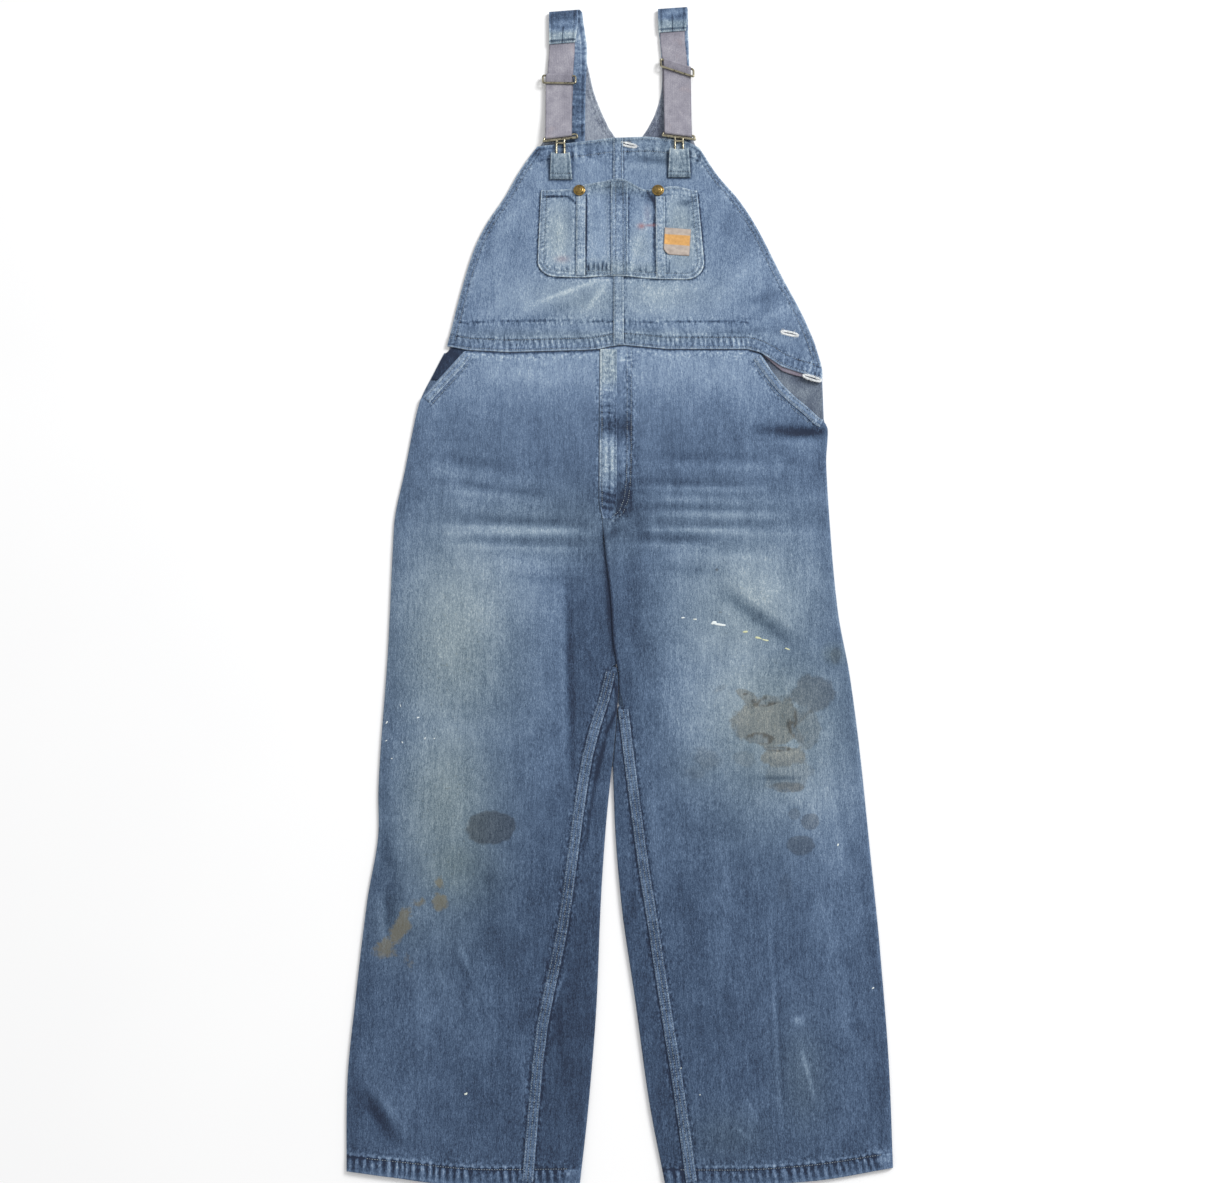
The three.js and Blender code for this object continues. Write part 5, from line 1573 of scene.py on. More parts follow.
    def fly_wear(self, x: Array, y: Array) -> Array:
        """Dark pressed places and pale ribs between the fly strip and its curved stitching."""
        inside = ramp(14, 20, x) * (1 - ramp(38, 41, x)) * ramp(16, 34, y)
        dark = -0.3 * (bump(y - 152, 17) + 1.1 * bump(y - 48, 26))
        ribs = bump(x - 24.5, 1.4) + bump(x - 29.5, 1.2) + 0.8 * bump(x - 34, 1.2)
        ribs = 0.26 * ribs * bump(y - 104, 36)
        upper = 0.1 * mottle(x, y, 4, 7, 44, 2) - 0.1 * ramp(170, 205, y) * (1 - ramp(230, 250, y))
        box = 0.14 * (bump(np.abs(x - 33) - 7, 1.2) + bump(np.abs(y - 259) - 9, 1.2)) * ramp(246, 250, y)
        return (dark + ribs + upper) * inside + box * inside

    def fronts(self) -> None:
        """Both leg fronts."""
        hem_rows = [(-816, -790, 1.5), (-790, -760, 2.4), (236, 270, 1.8)]
        ys = stops(HEM_ROW, 264, self.row, hem_rows)
        edge = [(-249, 192), (-220, 228), (-191, 263.5), *[(x, y - 0.4) for x, y in WAIST[1:5]]]
        tuck = lambda y: 4.6 * ramp(-178, -173, y) * (1 - ramp(-40, -12, y))
        meet = lambda y: lerp(LEFT_INSEAM(y), MIDDLE(y), ramp(CROTCH_LEFT, CROTCH_LEFT + 6, y))
        inner = lambda y: np.where(y < CROTCH_LEFT, LEFT_INSEAM(y) - HALF, meet(y) - HALF + tuck(y))
        panel = Panel(LEFT_SIDE, inner, ys, across(255, self.cell), LEFT_HEM, HEM_REACH,
                      edge_between(edge, LEFT_SIDE, MIDDLE), 230)
        self.front(panel, True)
        waist = [(x, y - 0.4) for x, y in [(-4.8, 266.6), (9, 270.3), *WAIST[6:]]]
        edge = [*waist, (216, 260), *MOUTH_RIGHT[1:]]
        low = lambda y: RIGHT_INSEAM(np.minimum(y, CROTCH_RIGHT)) + HALF
        inner = lambda y: lerp(low(y), MIDDLE(y) + HALF, ramp(CROTCH_RIGHT, CROTCH_RIGHT + 29, y))
        ys = stops(HEM_ROW, 266, self.row, hem_rows)
        panel = Panel(inner, RIGHT_SIDE, ys, across(265, self.cell), RIGHT_HEM, HEM_REACH,
                      edge_between(edge, MIDDLE, RIGHT_SIDE), 230)
        self.front(panel, False)

    def front(self, panel: Panel, left: bool) -> None:
        """One leg front from its panel."""
        side = "left" if left else "right"
        seams = self.left_seams if left else self.right_seams

        def fields(x: Array, y: Array) -> Fields:
            """Wear of the front, with the painted light and shade of its creases, seams and edges."""
            _, pale, near = felt(seams, x, y)
            worn = pale + self.edge_wear_and_shade(x, y, left)
            return LEG_WEAR_AND_SHADE.fields(x, y, worn if left else worn + self.fly_wear(x, y), near)

        floor, hem_at = (leg_floor, left_hem_at) if left else (right_floor, right_hem_at)
        piece = lay(side + "_leg_front", panel, floor, hem_thickness(hem_at), fields, self.finishes.face,
                    lambda x, y: felt(seams, x, y)[0])
        dress(piece, "denim", side + "_front_leg")

    def back(self, name: str, node: str, left: bool) -> None:
        """Seat and back leg in one, rolled round the inner leg up to the inseam.

        Args:
            name: the piece's name.
            node: the CAD node it stands for.
            left: which leg.
        """
        side = -1 if left else 1
        outer, inner, inseam, crotch, hem = (
            (LEFT_SIDE, left_inner, LEFT_INSEAM, CROTCH_LEFT, LEFT_HEM) if left
            else (RIGHT_SIDE, right_inner, RIGHT_INSEAM, CROTCH_RIGHT, RIGHT_HEM))
        hem_at = left_hem_at if left else right_hem_at
        seams = (self.left_seams if left else self.right_seams)[:4]
        ys = stops(HEM_ROW, WAIST_BACK, 6.0, [(-816, -786, 1.6), (crotch - 140, crotch, 3.0)])
        ys[np.argmin(np.abs(ys - crotch))] = crotch
        flat, bend, back = 18, 10, 24
        j = np.arange(flat + bend + back + 1)
        v = np.minimum(j / flat, 1.0)
        pull = 1 - np.minimum((ys - HEM_ROW) / HEM_REACH, 1)
        y = ys[:, None] + (hem(v if left else 1 - v)[None, :] - HEM_ROW) * pull[:, None]
        end = np.where(ys[:, None] <= crotch, inner(y) + side * (TURN + HALF), MIDDLE(y) + side * HALF)
        top_z = leg_floor(end, y) + (felt(seams, end, y)[0] + hem_thickness(hem_at)(end, y))
        turn = -np.pi / 2 + np.pi * np.clip((j - flat) / bend, 0, 1)[None, :]
        over = np.clip((j - flat - bend) / back, 0, 1)[None, :]
        flat_x = lerp(outer(y), end, v[None, :])
        grids = []
        for inset in (0.0, CLOTH):
            x = np.where(j[None, :] <= flat, flat_x, end - side * (TURN - inset) * np.cos(turn))
            z = np.where(j[None, :] <= flat, inset, top_z / 2 + (top_z / 2 - inset) * np.sin(turn))
            front_x = lerp(end, inseam(y) - side * HALF, over)
            x = np.where(j[None, :] > flat + bend, front_x, x)
            thick = hem_thickness(hem_at)(front_x, y)
            front_z = leg_floor(front_x, y) + felt(seams, front_x, y)[0] + thick - inset
            z = np.where(j[None, :] > flat + bend, front_z, z)
            grids.append(np.stack([x, y, z], -1))
        present = (j[None, :-1] < flat) | (ys[:-1, None] < crotch - 0.01)
        points, faces = shell(grids[0], grids[1], present)
        x = grids[0][..., 0]
        _, pale, near = felt(seams, x, y)
        on_top = j[None, :] > flat + 3
        extra = np.where(on_top, pale + inner_wear_and_shade(x, y, left) + 0.14 * bump(y - hem_at(x), 2.2), -0.04)
        fields = LEG_WEAR_AND_SHADE.fields(x, y, extra, near * on_top)
        under = ~(on_top & np.ones(x.shape, bool))
        for key in ("soil", "grime", "earth"):
            fields[key] = np.where(under, NO_STAIN, fields[key])
        fields["pale"] = np.where(under, 0.4 + 0.06 * mottle(x, y, 80, 120, 51, 2), fields["pale"])
        fields["green"] = np.where(under, 0.0, fields["green"])
        piece = make_mesh(name, points, faces, twice(fields), self.finishes.face)
        dress(piece, "denim_dark", node)

    def inseams(self) -> None:
        """Both felled inseams."""
        def fade(x: Array, y: Array) -> Array:
            """A little paler than the legs; the top, and a stretch of the left one, are darker."""
            stretch = -0.08 * ramp(-440, -470, y) * (1 - ramp(-560, -580, y)) * (x < 0)
            top = -0.16 * ramp(-260, -205, y)
            low = 0.08 * ramp(-560, -640, y)
            return LEG_WEAR_AND_SHADE.base(y) - 0.3 + low + stretch + top + 0.05 * mottle(x, y, 30, 60, 61, 2)

        for side, line, surface, seed in (("left", self.left_line, self.left_surface, 31),
                                          ("right", self.right_line, self.right_surface, 32)):
            strip = Strip(line, FELL_LEG, surface, pale=0.35, contrast=0.12, period=3.4, pucker=0.2,
                          slant=0.0, seed=seed, rows=(1.7, 6.5))
            piece = strip.build(side + "_inseam_fell", LEG_WEAR_AND_SHADE, self.finishes.seam, fade)
            dress(piece, "seam_denim", side + "_inseam")
            self.threads(side).extend(strip.rows_of_stitches())

    def threads(self, name: str) -> list[Array]:
        """Stitch lines of the leg whose side the name starts with."""
        return self.left_thread if name.startswith("left") else self.right_thread

    def pockets(self) -> None:
        """Hip pocket facings and the stitched bands along their mouths."""
        floor = lambda x, y: CLOTH + GAP + 0.25 * mottle(x, y, 14, 20, 71, 2) + 0.25
        thick = level(0.9)
        rows = stops(222, 270, 2.4)
        side = lambda y: LEFT_SIDE(np.minimum(y, 258)) + 1 + np.maximum(y - 258, 0)
        panel = Panel(side, upright(-180), rows, across(56, 2.4))
        fields = lambda x, y: LEG_WEAR_AND_SHADE.fields(x, y, -0.6 + 0.1 * mottle(x, y, 8, 12, 72, 2))
        dress(lay("left_pocket_inside", panel, floor, thick, fields, self.finishes.face), "denim_dark",
              "left_pocket_facing")
        bottom = Broken([(0, 222), (0.45, 194), (0.75, 174), (1, 160)])
        rows = stops(200, 258, 2.4)
        panel = Panel(upright(205), lambda y: RIGHT_SIDE(y) - 1, rows, across(95, 2.4), bottom, 58)
        shade = lambda x, y: -0.26 * bump(y - BIB_LOW_AT(x), 12) + 0.12 * mottle(x, y, 9, 12, 73, 2) - 0.02
        fields = lambda x, y: {**LEG_WEAR_AND_SHADE.fields(x, y), "pale": 0.4 + shade(x, y), "green": 0.35 + 0 * x}
        dress(lay("right_pocket_inside", panel, floor, thick, fields, self.finishes.wrong), "denim_dark",
              "right_pocket_facing")
        for name, mouth, surface, node in (
                ("left_pocket_edge", MOUTH_LEFT[1:], self.left_surface, "left_pocket_band"),
                ("right_pocket_edge", MOUTH_RIGHT, self.right_surface, "right_pocket_band")):
            curve = walk(mouth, 9.0)
            middle = shifted(curve, -(MOUTH_BAND / 2 + 0.6))
            if node.startswith("right"):
                middle = middle[:-1] + [(296.5, 157.5)]
            strip = Strip(middle, MOUTH_BAND, surface, pale=0.6, contrast=0.07, period=6.0, pucker=0.16,
                          seed=33, rows=(2.0, 8.6))
            dress(strip.build(name, LEG_WEAR_AND_SHADE, self.finishes.seam), "seam_denim", node)
            self.threads(name).extend(strip.rows_of_stitches())

    def fly(self) -> None:
        """Placket strip over the front seam, with its pressed dark places and its ribs: worn pale, with
        painted shade in the lines between them.
        """
        rows = stops(22, 266.5, 1.7)
        inner = lambda y: MIDDLE(y) + 1.2
        outer = lambda y: MIDDLE(y) + lerp(14, FLY_WIDTH + 1.2, ramp(22, 52, y))
        panel = Panel(inner, outer, rows, across(FLY_WIDTH, 1.2))
        floor = lambda x, y: self.right_surface(x, y) + SIT
        seam = Seam([(-3, 266), (-3, 60), (0, 22)], 7.0, 1.0, slant=-0.1, seed=34)
        ladder = Seam([(8, 200), (8, 134)], 9.0, 1.0, slant=0.1, seed=35)

        def wave(x: Array, y: Array) -> Array:
            """Puckers across the strip."""
            run, off = along(x, y, seam.path)
            return seam.wave(run, off) * 0.7 + 0.35 * mottle(x, y, 3, 5, 36, 2)

        def ribs(x: Array, y: Array) -> Array:
            """Worn ribs that run down the strip between its dark places."""
            return (bump(x - 4, 2.0) + bump(x - 12.5, 1.7) + 0.8 * bump(x - 19.5, 1.4)) * bump(y - 104, 38)

        def thick(x: Array, y: Array) -> Array:
            """Thickness of the strip."""
            rungs = 0.3 * ladder.wave(*along(x, y, ladder.path)) * bump(y - 170, 26)
            fold = 0.35 * np.sin(y * 0.62 + x * 0.16) * bump(y - 42, 22)
            return 0.95 + 0.16 * wave(x, y) + 0.3 * ribs(x, y) - 0.15 + rungs + fold

        def fields(x: Array, y: Array) -> Fields:
            """Wear of the strip, with painted light and shade that follow its relief."""
            found = LEG_WEAR_AND_SHADE.fields(x, y, 0.0, 0.8)
            pale = 0.72 + 0.08 * wave(x, y) - 0.3 * bump(y - 182, 22)
            pale = pale - 0.5 * bump(y - 152, 15) - 0.56 * bump(y - 46, 24)
            # ladder, ribs and fold: paler where raised and darker between, in step with the thickness: worn
            # tops, and painted light and shade
            pale += 0.16 * ladder.wave(*along(x, y, ladder.path)) * bump(y - 174, 24) * (1 - ramp(10, 16, x))
            dark_lines = bump(x - 8.4, 1.0) + bump(x - 16.2, 0.9) + 0.7 * bump(x - 22, 0.9)
            pale += (0.22 * ribs(x, y) - 0.26 * dark_lines) * (0.4 + 0.6 * bump(y - 104, 60))
            pale += -0.1 * bump(y - 104, 34) + 0.16 * np.sin(y * 0.62 + x * 0.16) * bump(y - 42, 22)
            pale += 0.22 * bump(x - MIDDLE(y) - 1.8, 1.3) - 0.12 * bump(x - MIDDLE(y) - 4.4, 0.9)
            found["pale"] = pale - 0.1 * ramp(14, 19, x) * ramp(196, 240, y)
            found["green"] = 0.5 * ramp(200, 230, y) + 0.3 * bump(y - 100, 34)
            return found

        piece = lay("fly_strip", panel, floor, thick, fields, self.finishes.seam, level(0), True)
        dress(piece, "seam_denim", "fly_placket")
        top = lambda x, y: floor(x, y) + thick(x, y)
        self.right_thread += [stitch_line([(float(MIDDLE(y)) + 4.2, y) for y in (262, 180, 100, 40)], top)]

    def thread(self) -> None:
        """Stitches on hems, fly, pocket mouths and inseams."""
        left, right, pale = self.left_surface, self.right_surface, self.finishes.pale_thread
        self.left_thread.append(stitch_line([p for p in self.left_hem_line if -303 < p[0] < -34], left))
        self.left_thread.append(stitch_line(shifted(walk(MOUTH_LEFT[1:], 9), -MOUTH_STITCH)[:-1], left))
        self.right_thread.append(stitch_line([p for p in self.right_hem_line if 80 < p[0] < 344], right))
        self.right_thread.append(stitch_line(self.fly_curve, right))
        self.right_thread.append(stitch_line(shifted(self.fly_curve, -5.5), right))
        self.right_thread.append(stitch_line(shifted(walk(MOUTH_RIGHT, 9), -MOUTH_STITCH)[1:-2], right))
        dress(self.stitches.sew("left_leg_stitching", self.left_thread, pale), "thread")
        dress(self.stitches.sew("right_leg_stitching", self.right_thread, pale), "thread")

    def make(self) -> None:
        """Make every piece of the trousers."""
        self.back("left_leg_back", "left_back_leg", True)
        self.back("right_leg_back", "right_back_leg", False)
        self.fronts()
        self.inseams()
        self.pockets()
        self.fly()
        self.thread()


def lap_shadow(x: Array, y: Array) -> Array:
    """Painted shadow where the thighs lap over each other: a dark line along the middle line, with a faint
    lighter line beside it.
    """
    off = x - MIDDLE(y)
    lap = ramp(-230, -190, y) * (1 - ramp(0, 26, y))
    return (-0.22 * bump(off, 2.4) + 0.06 * bump(off - 5, 2.4)) * lap


def inner_wear_and_shade(x: Array, y: Array, left: bool) -> Array:
    """Paleness of the back panel where it shows between the inseam and the inner edge, with dark lines of
    painted shade in the grooves beside the inseam.
    """
    edge = LEFT_GAP(y) if left else RIGHT_GAP(y)
    rim = 0.05 * bump(x - edge, 4) - 0.06
    # dark lines: painted shade in the grooves beside the inseam
    if left:
        lines = [Crease((21, -228), (5, -266), 2.6, 0, -0.34),
                 Crease((6, -262), (-11, -334), 2.8, 0, -0.34),
                 Crease((-8, -320), (-26, -430), 2.6, 0, -0.2),
                 Crease((16, -200), (20, -232), 3.0, 0, -0.3)]
    else:
        lines = [Crease((24, -234), (29, -290), 2.4, 0, -0.34),
                 Crease((28, -280), (36, -360), 2.4, 0, -0.3),
                 Crease((34, -350), (48, -480), 2.2, 0, -0.16)]
    return rim + total(lines, x, y)[1]


# ---- bib -----------------------------------------------------------------------------------------
POCKET_LEFT = Curve([(370, -91.5), (400, -91), (505, -87.5), (530, -86.5)])
POCKET_RIGHT = Curve([(370, 141), (400, 140.5), (430, 138.5), (492, 134), (530, 131)])
POCKET_BASE = Curve([(-91, 376), (-31, 373.5), (8, 375.7), (35, 375), (61, 372), (106, 370.5), (141, 372)])
POCKET_TOP = Curve([(-88, 507.5), (-45, 510), (-24, 517), (8, 523.5), (23, 526.5), (35, 522.5),
                    (62, 509), (78, 510.5), (99, 514), (131, 507)])
POCKET_CORNER = 24.0
LABEL_SIZE = (36.5, 41.0)
LABEL_AT = (103.5, 427.3)
LABEL_TURN = -0.07
RIVETS = ((-33.4, 507.0), (77.6, 507.0))
TAB_FEET = ((-59.5, 525.0), (108.0, 528.0))  # middle of each tab's lower edge
POCKET_FOOT = (-91.0, 140.5)  # the pocket's corners below and above, along X
POCKET_HEAD = (-87.5, 133.0)
BUTTONHOLES = (((25, 582.5), (47, 577)), ((246, 292), (268, 286.5)), ((274, 226.5), (297, 219)))


def pocket_base_at(x: Array) -> Array:
    """Lower edge of the bib pocket, with its rounded corners."""
    def corner(distance: Array) -> Array:
        """How far the rounding lifts the edge at that distance from a side."""
        s = np.maximum(1 - distance / POCKET_CORNER, 0)
        return POCKET_CORNER * (1 - np.sqrt(np.maximum(1 - s * s, 0)))
    return POCKET_BASE(x) + corner(x + 91.2) + corner(140.6 - x)


def pocket_outline(inset: float) -> list[tuple[float, float]]:
    """Sides and base of the pocket, from its upper left corner to its upper right one, moved inwards."""
    left = [(float(POCKET_LEFT(y)), y) for y in (507, 470, 430, 400)]
    foot = (-91, -89, -84, -76, -67, -40, 0, 40, 80, 116, 125, 133, 138, 140.2)
    base = [(x, float(pocket_base_at(x))) for x in foot]
    right = [(float(POCKET_RIGHT(y)), y) for y in (400, 430, 470, 507)]
    return shifted([*left, *base, *right], inset)


@dataclass
class Bib:
    """Both bib halves with the side flap, the high back, the pocket, its strips, label and rivets."""

    finishes: Finishes
    stitches: StitchTree
    bib_thread: list[Array] = field(default_factory=list)
    pocket_thread: list[Array] = field(default_factory=list)

    def __post_init__(self) -> None:
        """Work out the seams that pucker the bib and its pocket."""
        low = walk([*WAIST, *FLAP_EDGE], 16.0)
        self.low_line = [(float(x), float(y)) for x, y in low]
        top = [(x, y - BIB_TOP_BAND + 2) for x, y in BIB_TOP]
        second = [(-200, 306), (-120, 308), (-30, 308), (60, 306), (140, 308), (200, 306)]
        sides = ((trace(BIB_LEFT, 262, 574, 16), -1), (trace(BIB_RIGHT, 220, 572, 18), 1))
        self.side_lines = [shifted(side, way * inset) for side, way in sides for inset in (3.2, 9)]
        pocket_top = [(x, float(POCKET_TOP(x))) for x in range(-86, 132, 12)]
        band = {"lift": 0.4, "inside": 8.0, "outside": 7.0}
        edge = {"period": 5.6, "lift": 0.4, "pale": 0.16, "inside": 4.0, "outside": 4.0, "groove": 0.26}
        rim = {"period": 6.0, "lift": 0.05, "pale": 0.03, "inside": 2.0, "outside": 2.0, "groove": 0.34}
        self.seams = [
            Seam(shifted(self.low_line, 10), 7.2, pale=0.42, groove=0.0, slant=0.1, seed=51, **band),
            Seam(shifted(self.low_line, 3), 5.2, 0.1, 0.06, 2, 2, groove=0.3, seed=52),
            Seam(shifted(self.low_line, 17.5), 6.5, 0.4, 0.24, 8, 4, groove=0.4, seed=53),
            Seam(second, 7.5, 0.35, 0.22, 5, 8, groove=0.34, seed=54),
            Seam(top, 9.5, 0.5, 0.26, 9, 6, slant=0.05, groove=0.28, seed=55),
            Seam([(x, y - 6) for x, y in BIB_TOP], 9.5, 0.35, 0.14, 5, 7, slant=0.05, groove=0.18, seed=56),
            Seam([(BIB_CENTRE - 7.6, 276), (BIB_CENTRE - 7.6, 590)], seed=47, **rim),
            Seam([(BIB_CENTRE + 7.6, 276), (BIB_CENTRE + 7.6, 590)], seed=48, **rim),
            *(Seam(line, seed=57 + k, **edge) for k, line in enumerate(self.side_lines)),
            Seam([(BIB_CENTRE, 274), (BIB_CENTRE, 590)], 6.0, 0.35, 0.1, 13, 13, groove=0.0, seed=61),
            # just outside the pocket: its dark groove is painted shadow in the gap under the pocket's edge
            Seam(pocket_outline(-1.2), 6.0, 0.25, 0.08, 2, 6, groove=0.5, seed=62),
        ]
        self.pocket_seams = [
            Seam(pocket_outline(3.4), 5.6, 0.5, 0.16, 8, 3.4, slant=0.35, groove=0.3, seed=63),
            Seam(pocket_outline(8.6), 5.6, 0.2, 0.06, 4, 3, slant=0.35, groove=0.24, seed=64),
            *(Seam([(x, top_y), (x, 376)], 6.0, 0.05, 0.03, 2, 2, groove=0.36, seed=40)
              for x, top_y in ((-38.6, 500), (-23.8, 500), (10.2, 520), (35.8, 500), (73.2, 500),
                               (87.8, 500))),
            Seam([(x, y - 11.5) for x, y in pocket_top], 6.0, 0.3, 0.1, 7, 4, groove=0.18, seed=65),
            Seam([(x, y - 3) for x, y in pocket_top], 6.0, 0.2, 0.06, 3, 4, groove=0.1, seed=66),
        ]

    def surface(self, x: Array, y: Array) -> Array:
        """Upper side of the bib."""
        return bib_floor(x, y) + bib_thickness(x, y) + felt(self.seams, x, y)[0]

    def pocket_floor(self, x: Array, y: Array) -> Array:
        """Underside of the pocket, which rides over the centre seam."""
        level = np.minimum(y, 545)
        over = 1.1 * (1 - np.clip((np.abs(x - BIB_CENTRE) - 13.5) / 3.5, 0, 1))
        return bib_floor(x, level) + bib_thickness(x, level) + GAP + 0.2 + over

    def pocket_surface(self, x: Array, y: Array) -> Array:
        """Upper side of the pocket."""
        inside = bump(x + 72, 14) * bump(y - 440, 60) * 0.5 - 0.4 * bump(x - 54, 10) * bump(y - 440, 60)
        return self.pocket_floor(x, y) + felt(self.pocket_seams, x, y)[0] + CLOTH + inside

    def edge_wear_and_shade(self, x: Array, y: Array) -> Array:
        """Paleness that the bib's edges add, with painted shadow round the tabs."""
        side = np.minimum(x - BIB_LEFT(y), BIB_RIGHT(y) - x)
        low, high = y - BIB_LOW_AT(x), BIB_TOP_AT(x) - y
        rim = 0.24 * (bump(side - 1, 2.2) + bump(low - 1, 1.8) + bump(high, 1.7)) - 0.1 * bump(side - 6, 2.4)
        rim += 0.1 * bump(low - 21, 1.8) - 0.12 * bump(side + 0.5, 2.0) + 0.06 * bump(side - 9, 8)
        gathers_and_tab_shadow = 0.26 * mottle(x, y, 6.5, 60, 67, 2) * bump(high - 13, 11)
        gathers_and_tab_shadow += 0.14 * mottle(x, y, 9, 40, 68, 2) * bump(low - 28, 13)
        # painted shadow on the bib round the tabs
        gathers_and_tab_shadow += tab_shade(x, y)
        shade = -0.1 * bump(side - 1, 10) * bump(y - 330, 60) * (x < 0)
        return rim + gathers_and_tab_shadow + shade

    def fields(self, x: Array, y: Array) -> Fields:
        """What the bib's finish reads."""
        _, pale, near = felt(self.seams, x, y)
        return BIB_WEAR_AND_SHADE.fields(x, y, pale + self.edge_wear_and_shade(x, y), near * 0.8)

    def halves(self) -> None:
        """Left half, right half and the facing under the side flap."""
        rows = stops(272, 588, 2.6, [(272, 292, 1.5), (560, 588, 1.9)])
        relief = lambda x, y: felt(self.seams, x, y)[0]
        left_low = [*WAIST[:6], (21.35, 272.2)]
        right_low = [(21.65, 272.2), *WAIST[7:], *FLAP_EDGE]
        join_left, join_right = upright(BIB_CENTRE - HALF), upright(BIB_CENTRE + HALF)
        for side, left, right, cols, low, high in (
                ("left", BIB_LEFT, join_left, across(236, 2.2), left_low, [*BIB_TOP[:3], (21, 592)]),
                ("right", join_right, BIB_RIGHT, across(276, 2.3), right_low, [(21.5, 592), *BIB_TOP[3:]])):
            panel = Panel(left, right, rows, cols, edge_between(low, left, right), 90,
                          edge_between(high, left, right), 90)
            dress(lay(side + "_bib", panel, bib_floor, bib_thickness, self.fields, self.finishes.face,
                      relief), "denim_pale", "bib_" + side)
        facing_x = lambda v: lerp(222, 290, v)
        low = lambda v: BIB_LOW_AT(facing_x(v)) - 5.5 * np.sin(np.pi * v) - 0.5
        panel = Panel(upright(222), upright(290), stops(0, 12, 1.2), across(68, 1.6), low, 12,
                      lambda v: BIB_LOW_AT(facing_x(v)) + 7, 12)
        uneven = lambda x, y: 0.1 * mottle(x, y, 6, 6, 69, 2) - 0.02
        mauve = lambda x, y: {**BIB_WEAR_AND_SHADE.fields(x, y, uneven(x, y)), "blush": 0.25 + 0 * x, "green": 0 * x}
        dress(lay("flap_facing", panel, level(3.6), level(1.0), mauve, self.finishes.mauve), "mauve_facing",
              "side_flap_facing")

    def high_back(self) -> None:
        """Back of the bib part, wrong side up, with its double-stitched neckline."""
        rows = stops(WAIST_BACK + GAP, 580, 5.0, [(520, 580, 2.6)])
        top = edge_between(NECKLINE, BACK_LEFT, BACK_RIGHT)
        panel = Panel(BACK_LEFT, BACK_RIGHT, rows, across(300, 2.1), None, 60, top, 300)
        neck = NECKLINE[1:-1]
        seams = [Seam(shifted(neck, -3.4), 6.0, 0.2, 0.1, 3, 5, groove=0.2, seed=71),
                 Seam(shifted(neck, -9.0), 6.0, 0.2, 0.1, 5, 5, groove=0.16, seed=72)]
        rim = lambda x, y: 0.16 * bump(along(x, y, neck)[1], 2.0) + 0.1 * mottle(x, y, 14, 20, 73, 2)

        def fields(x: Array, y: Array) -> Fields:
            """Wear of the high back."""
            _, pale, near = felt(seams, x, y)
            return BACK_WEAR.fields(x, y, pale + rim(x, y), near * 0.7)

        thick = lambda x, y: CLOTH + np.maximum(felt(seams, x, y)[0], -0.3)
        piece = lay("back_panel", panel, level(0.0), thick, fields, self.finishes.wrong)
        dress(piece, "denim_wrong_side", "high_back")
        lines = [stitch_line(shifted(neck, by)[1:-1], thick) for by in (-3.4, -9.0)]
        dress(self.stitches.sew("neckline_stitching", lines, self.finishes.pale_thread), "thread")

    def pocket(self) -> None:
        """Pocket with its three sewn-down strips."""
        rows = stops(372, 508, 1.9)
        panel = Panel(POCKET_LEFT, POCKET_RIGHT, rows, across(231, 1.9),
                      lambda v: pocket_base_at(lerp(*POCKET_FOOT, v)), 60,
                      lambda v: POCKET_TOP(lerp(*POCKET_HEAD, v)), 80)

        def fields(x: Array, y: Array) -> Fields:
            """Wear of the pocket, with painted shade in its openings."""
            _, pale, near = felt(self.pocket_seams, x, y)
            off = along(x, y, pocket_outline(0.0))[1]
            down = POCKET_TOP(x) - y
            rim = 0.2 * bump(off, 1.5) + 0.16 * bump(down, 1.6) - 0.1 * bump(down - 5, 2)
            return POCKET_WEAR_AND_SHADE.fields(x, y, pale + rim, near * 0.9)

        low = lambda x, y: self.pocket_surface(x, y) - CLOTH
        dress(lay("pocket", panel, low, level(CLOTH), fields, self.finishes.face), "denim_pale",
              "bib_pocket")
        # dark: painted shade on the top of the middle strip; plain: uneven tone
        dark = lambda x, y: -0.34 * bump(y - 505, 20) * bump(x - 24, 9) - 0.14 * bump(x - 31, 3)
        plain = lambda x, y: 0.06 * mottle(x, y, 9, 14, 77, 2)
        for part, x, width, start, end, pale, stitch_rows, shade in (
                ("left", -31.2, 12.5, 375.5, 497.5, 0.72, (1.6,), plain),
                ("centre", 23.0, 23.5, 377.0, 519.0, 0.64, (1.8, 6.6), dark),
                ("right", 80.5, 12.5, 373.5, 497.5, 0.72, (1.6,), plain)):
            strip = Strip([(x, start), (x, end)], width, self.pocket_surface, pale=pale, contrast=0.06,
                          period=7.5, pucker=0.14, slant=0.0, seed=74 + int(width), rows=stitch_rows)
            piece = strip.build("pocket_rib_" + part, POCKET_WEAR_AND_SHADE, self.finishes.seam, shade)
            dress(piece, "seam_denim", "pocket_strip_" + part)
            self.pocket_thread += strip.rows_of_stitches()

    def centre(self) -> None:
        """Felled seam down the middle of the bib."""
        strip = Strip([(BIB_CENTRE, 273.5), (BIB_CENTRE, 590.5)], FELL_BIB, self.surface, thick=0.8,
                      pale=0.6, contrast=0.07, period=6.5, pucker=0.14, slant=0.0, seed=78)
        shade = lambda x, y: 0.08 * bump(y - 330, 34) + 0.08 * bump(y - 290, 12)
        dress(strip.build("centre_fell", BIB_WEAR_AND_SHADE, self.finishes.seam, shade), "seam_denim",
              "bib_centre_seam")
        self.bib_thread += strip.rows_of_stitches()

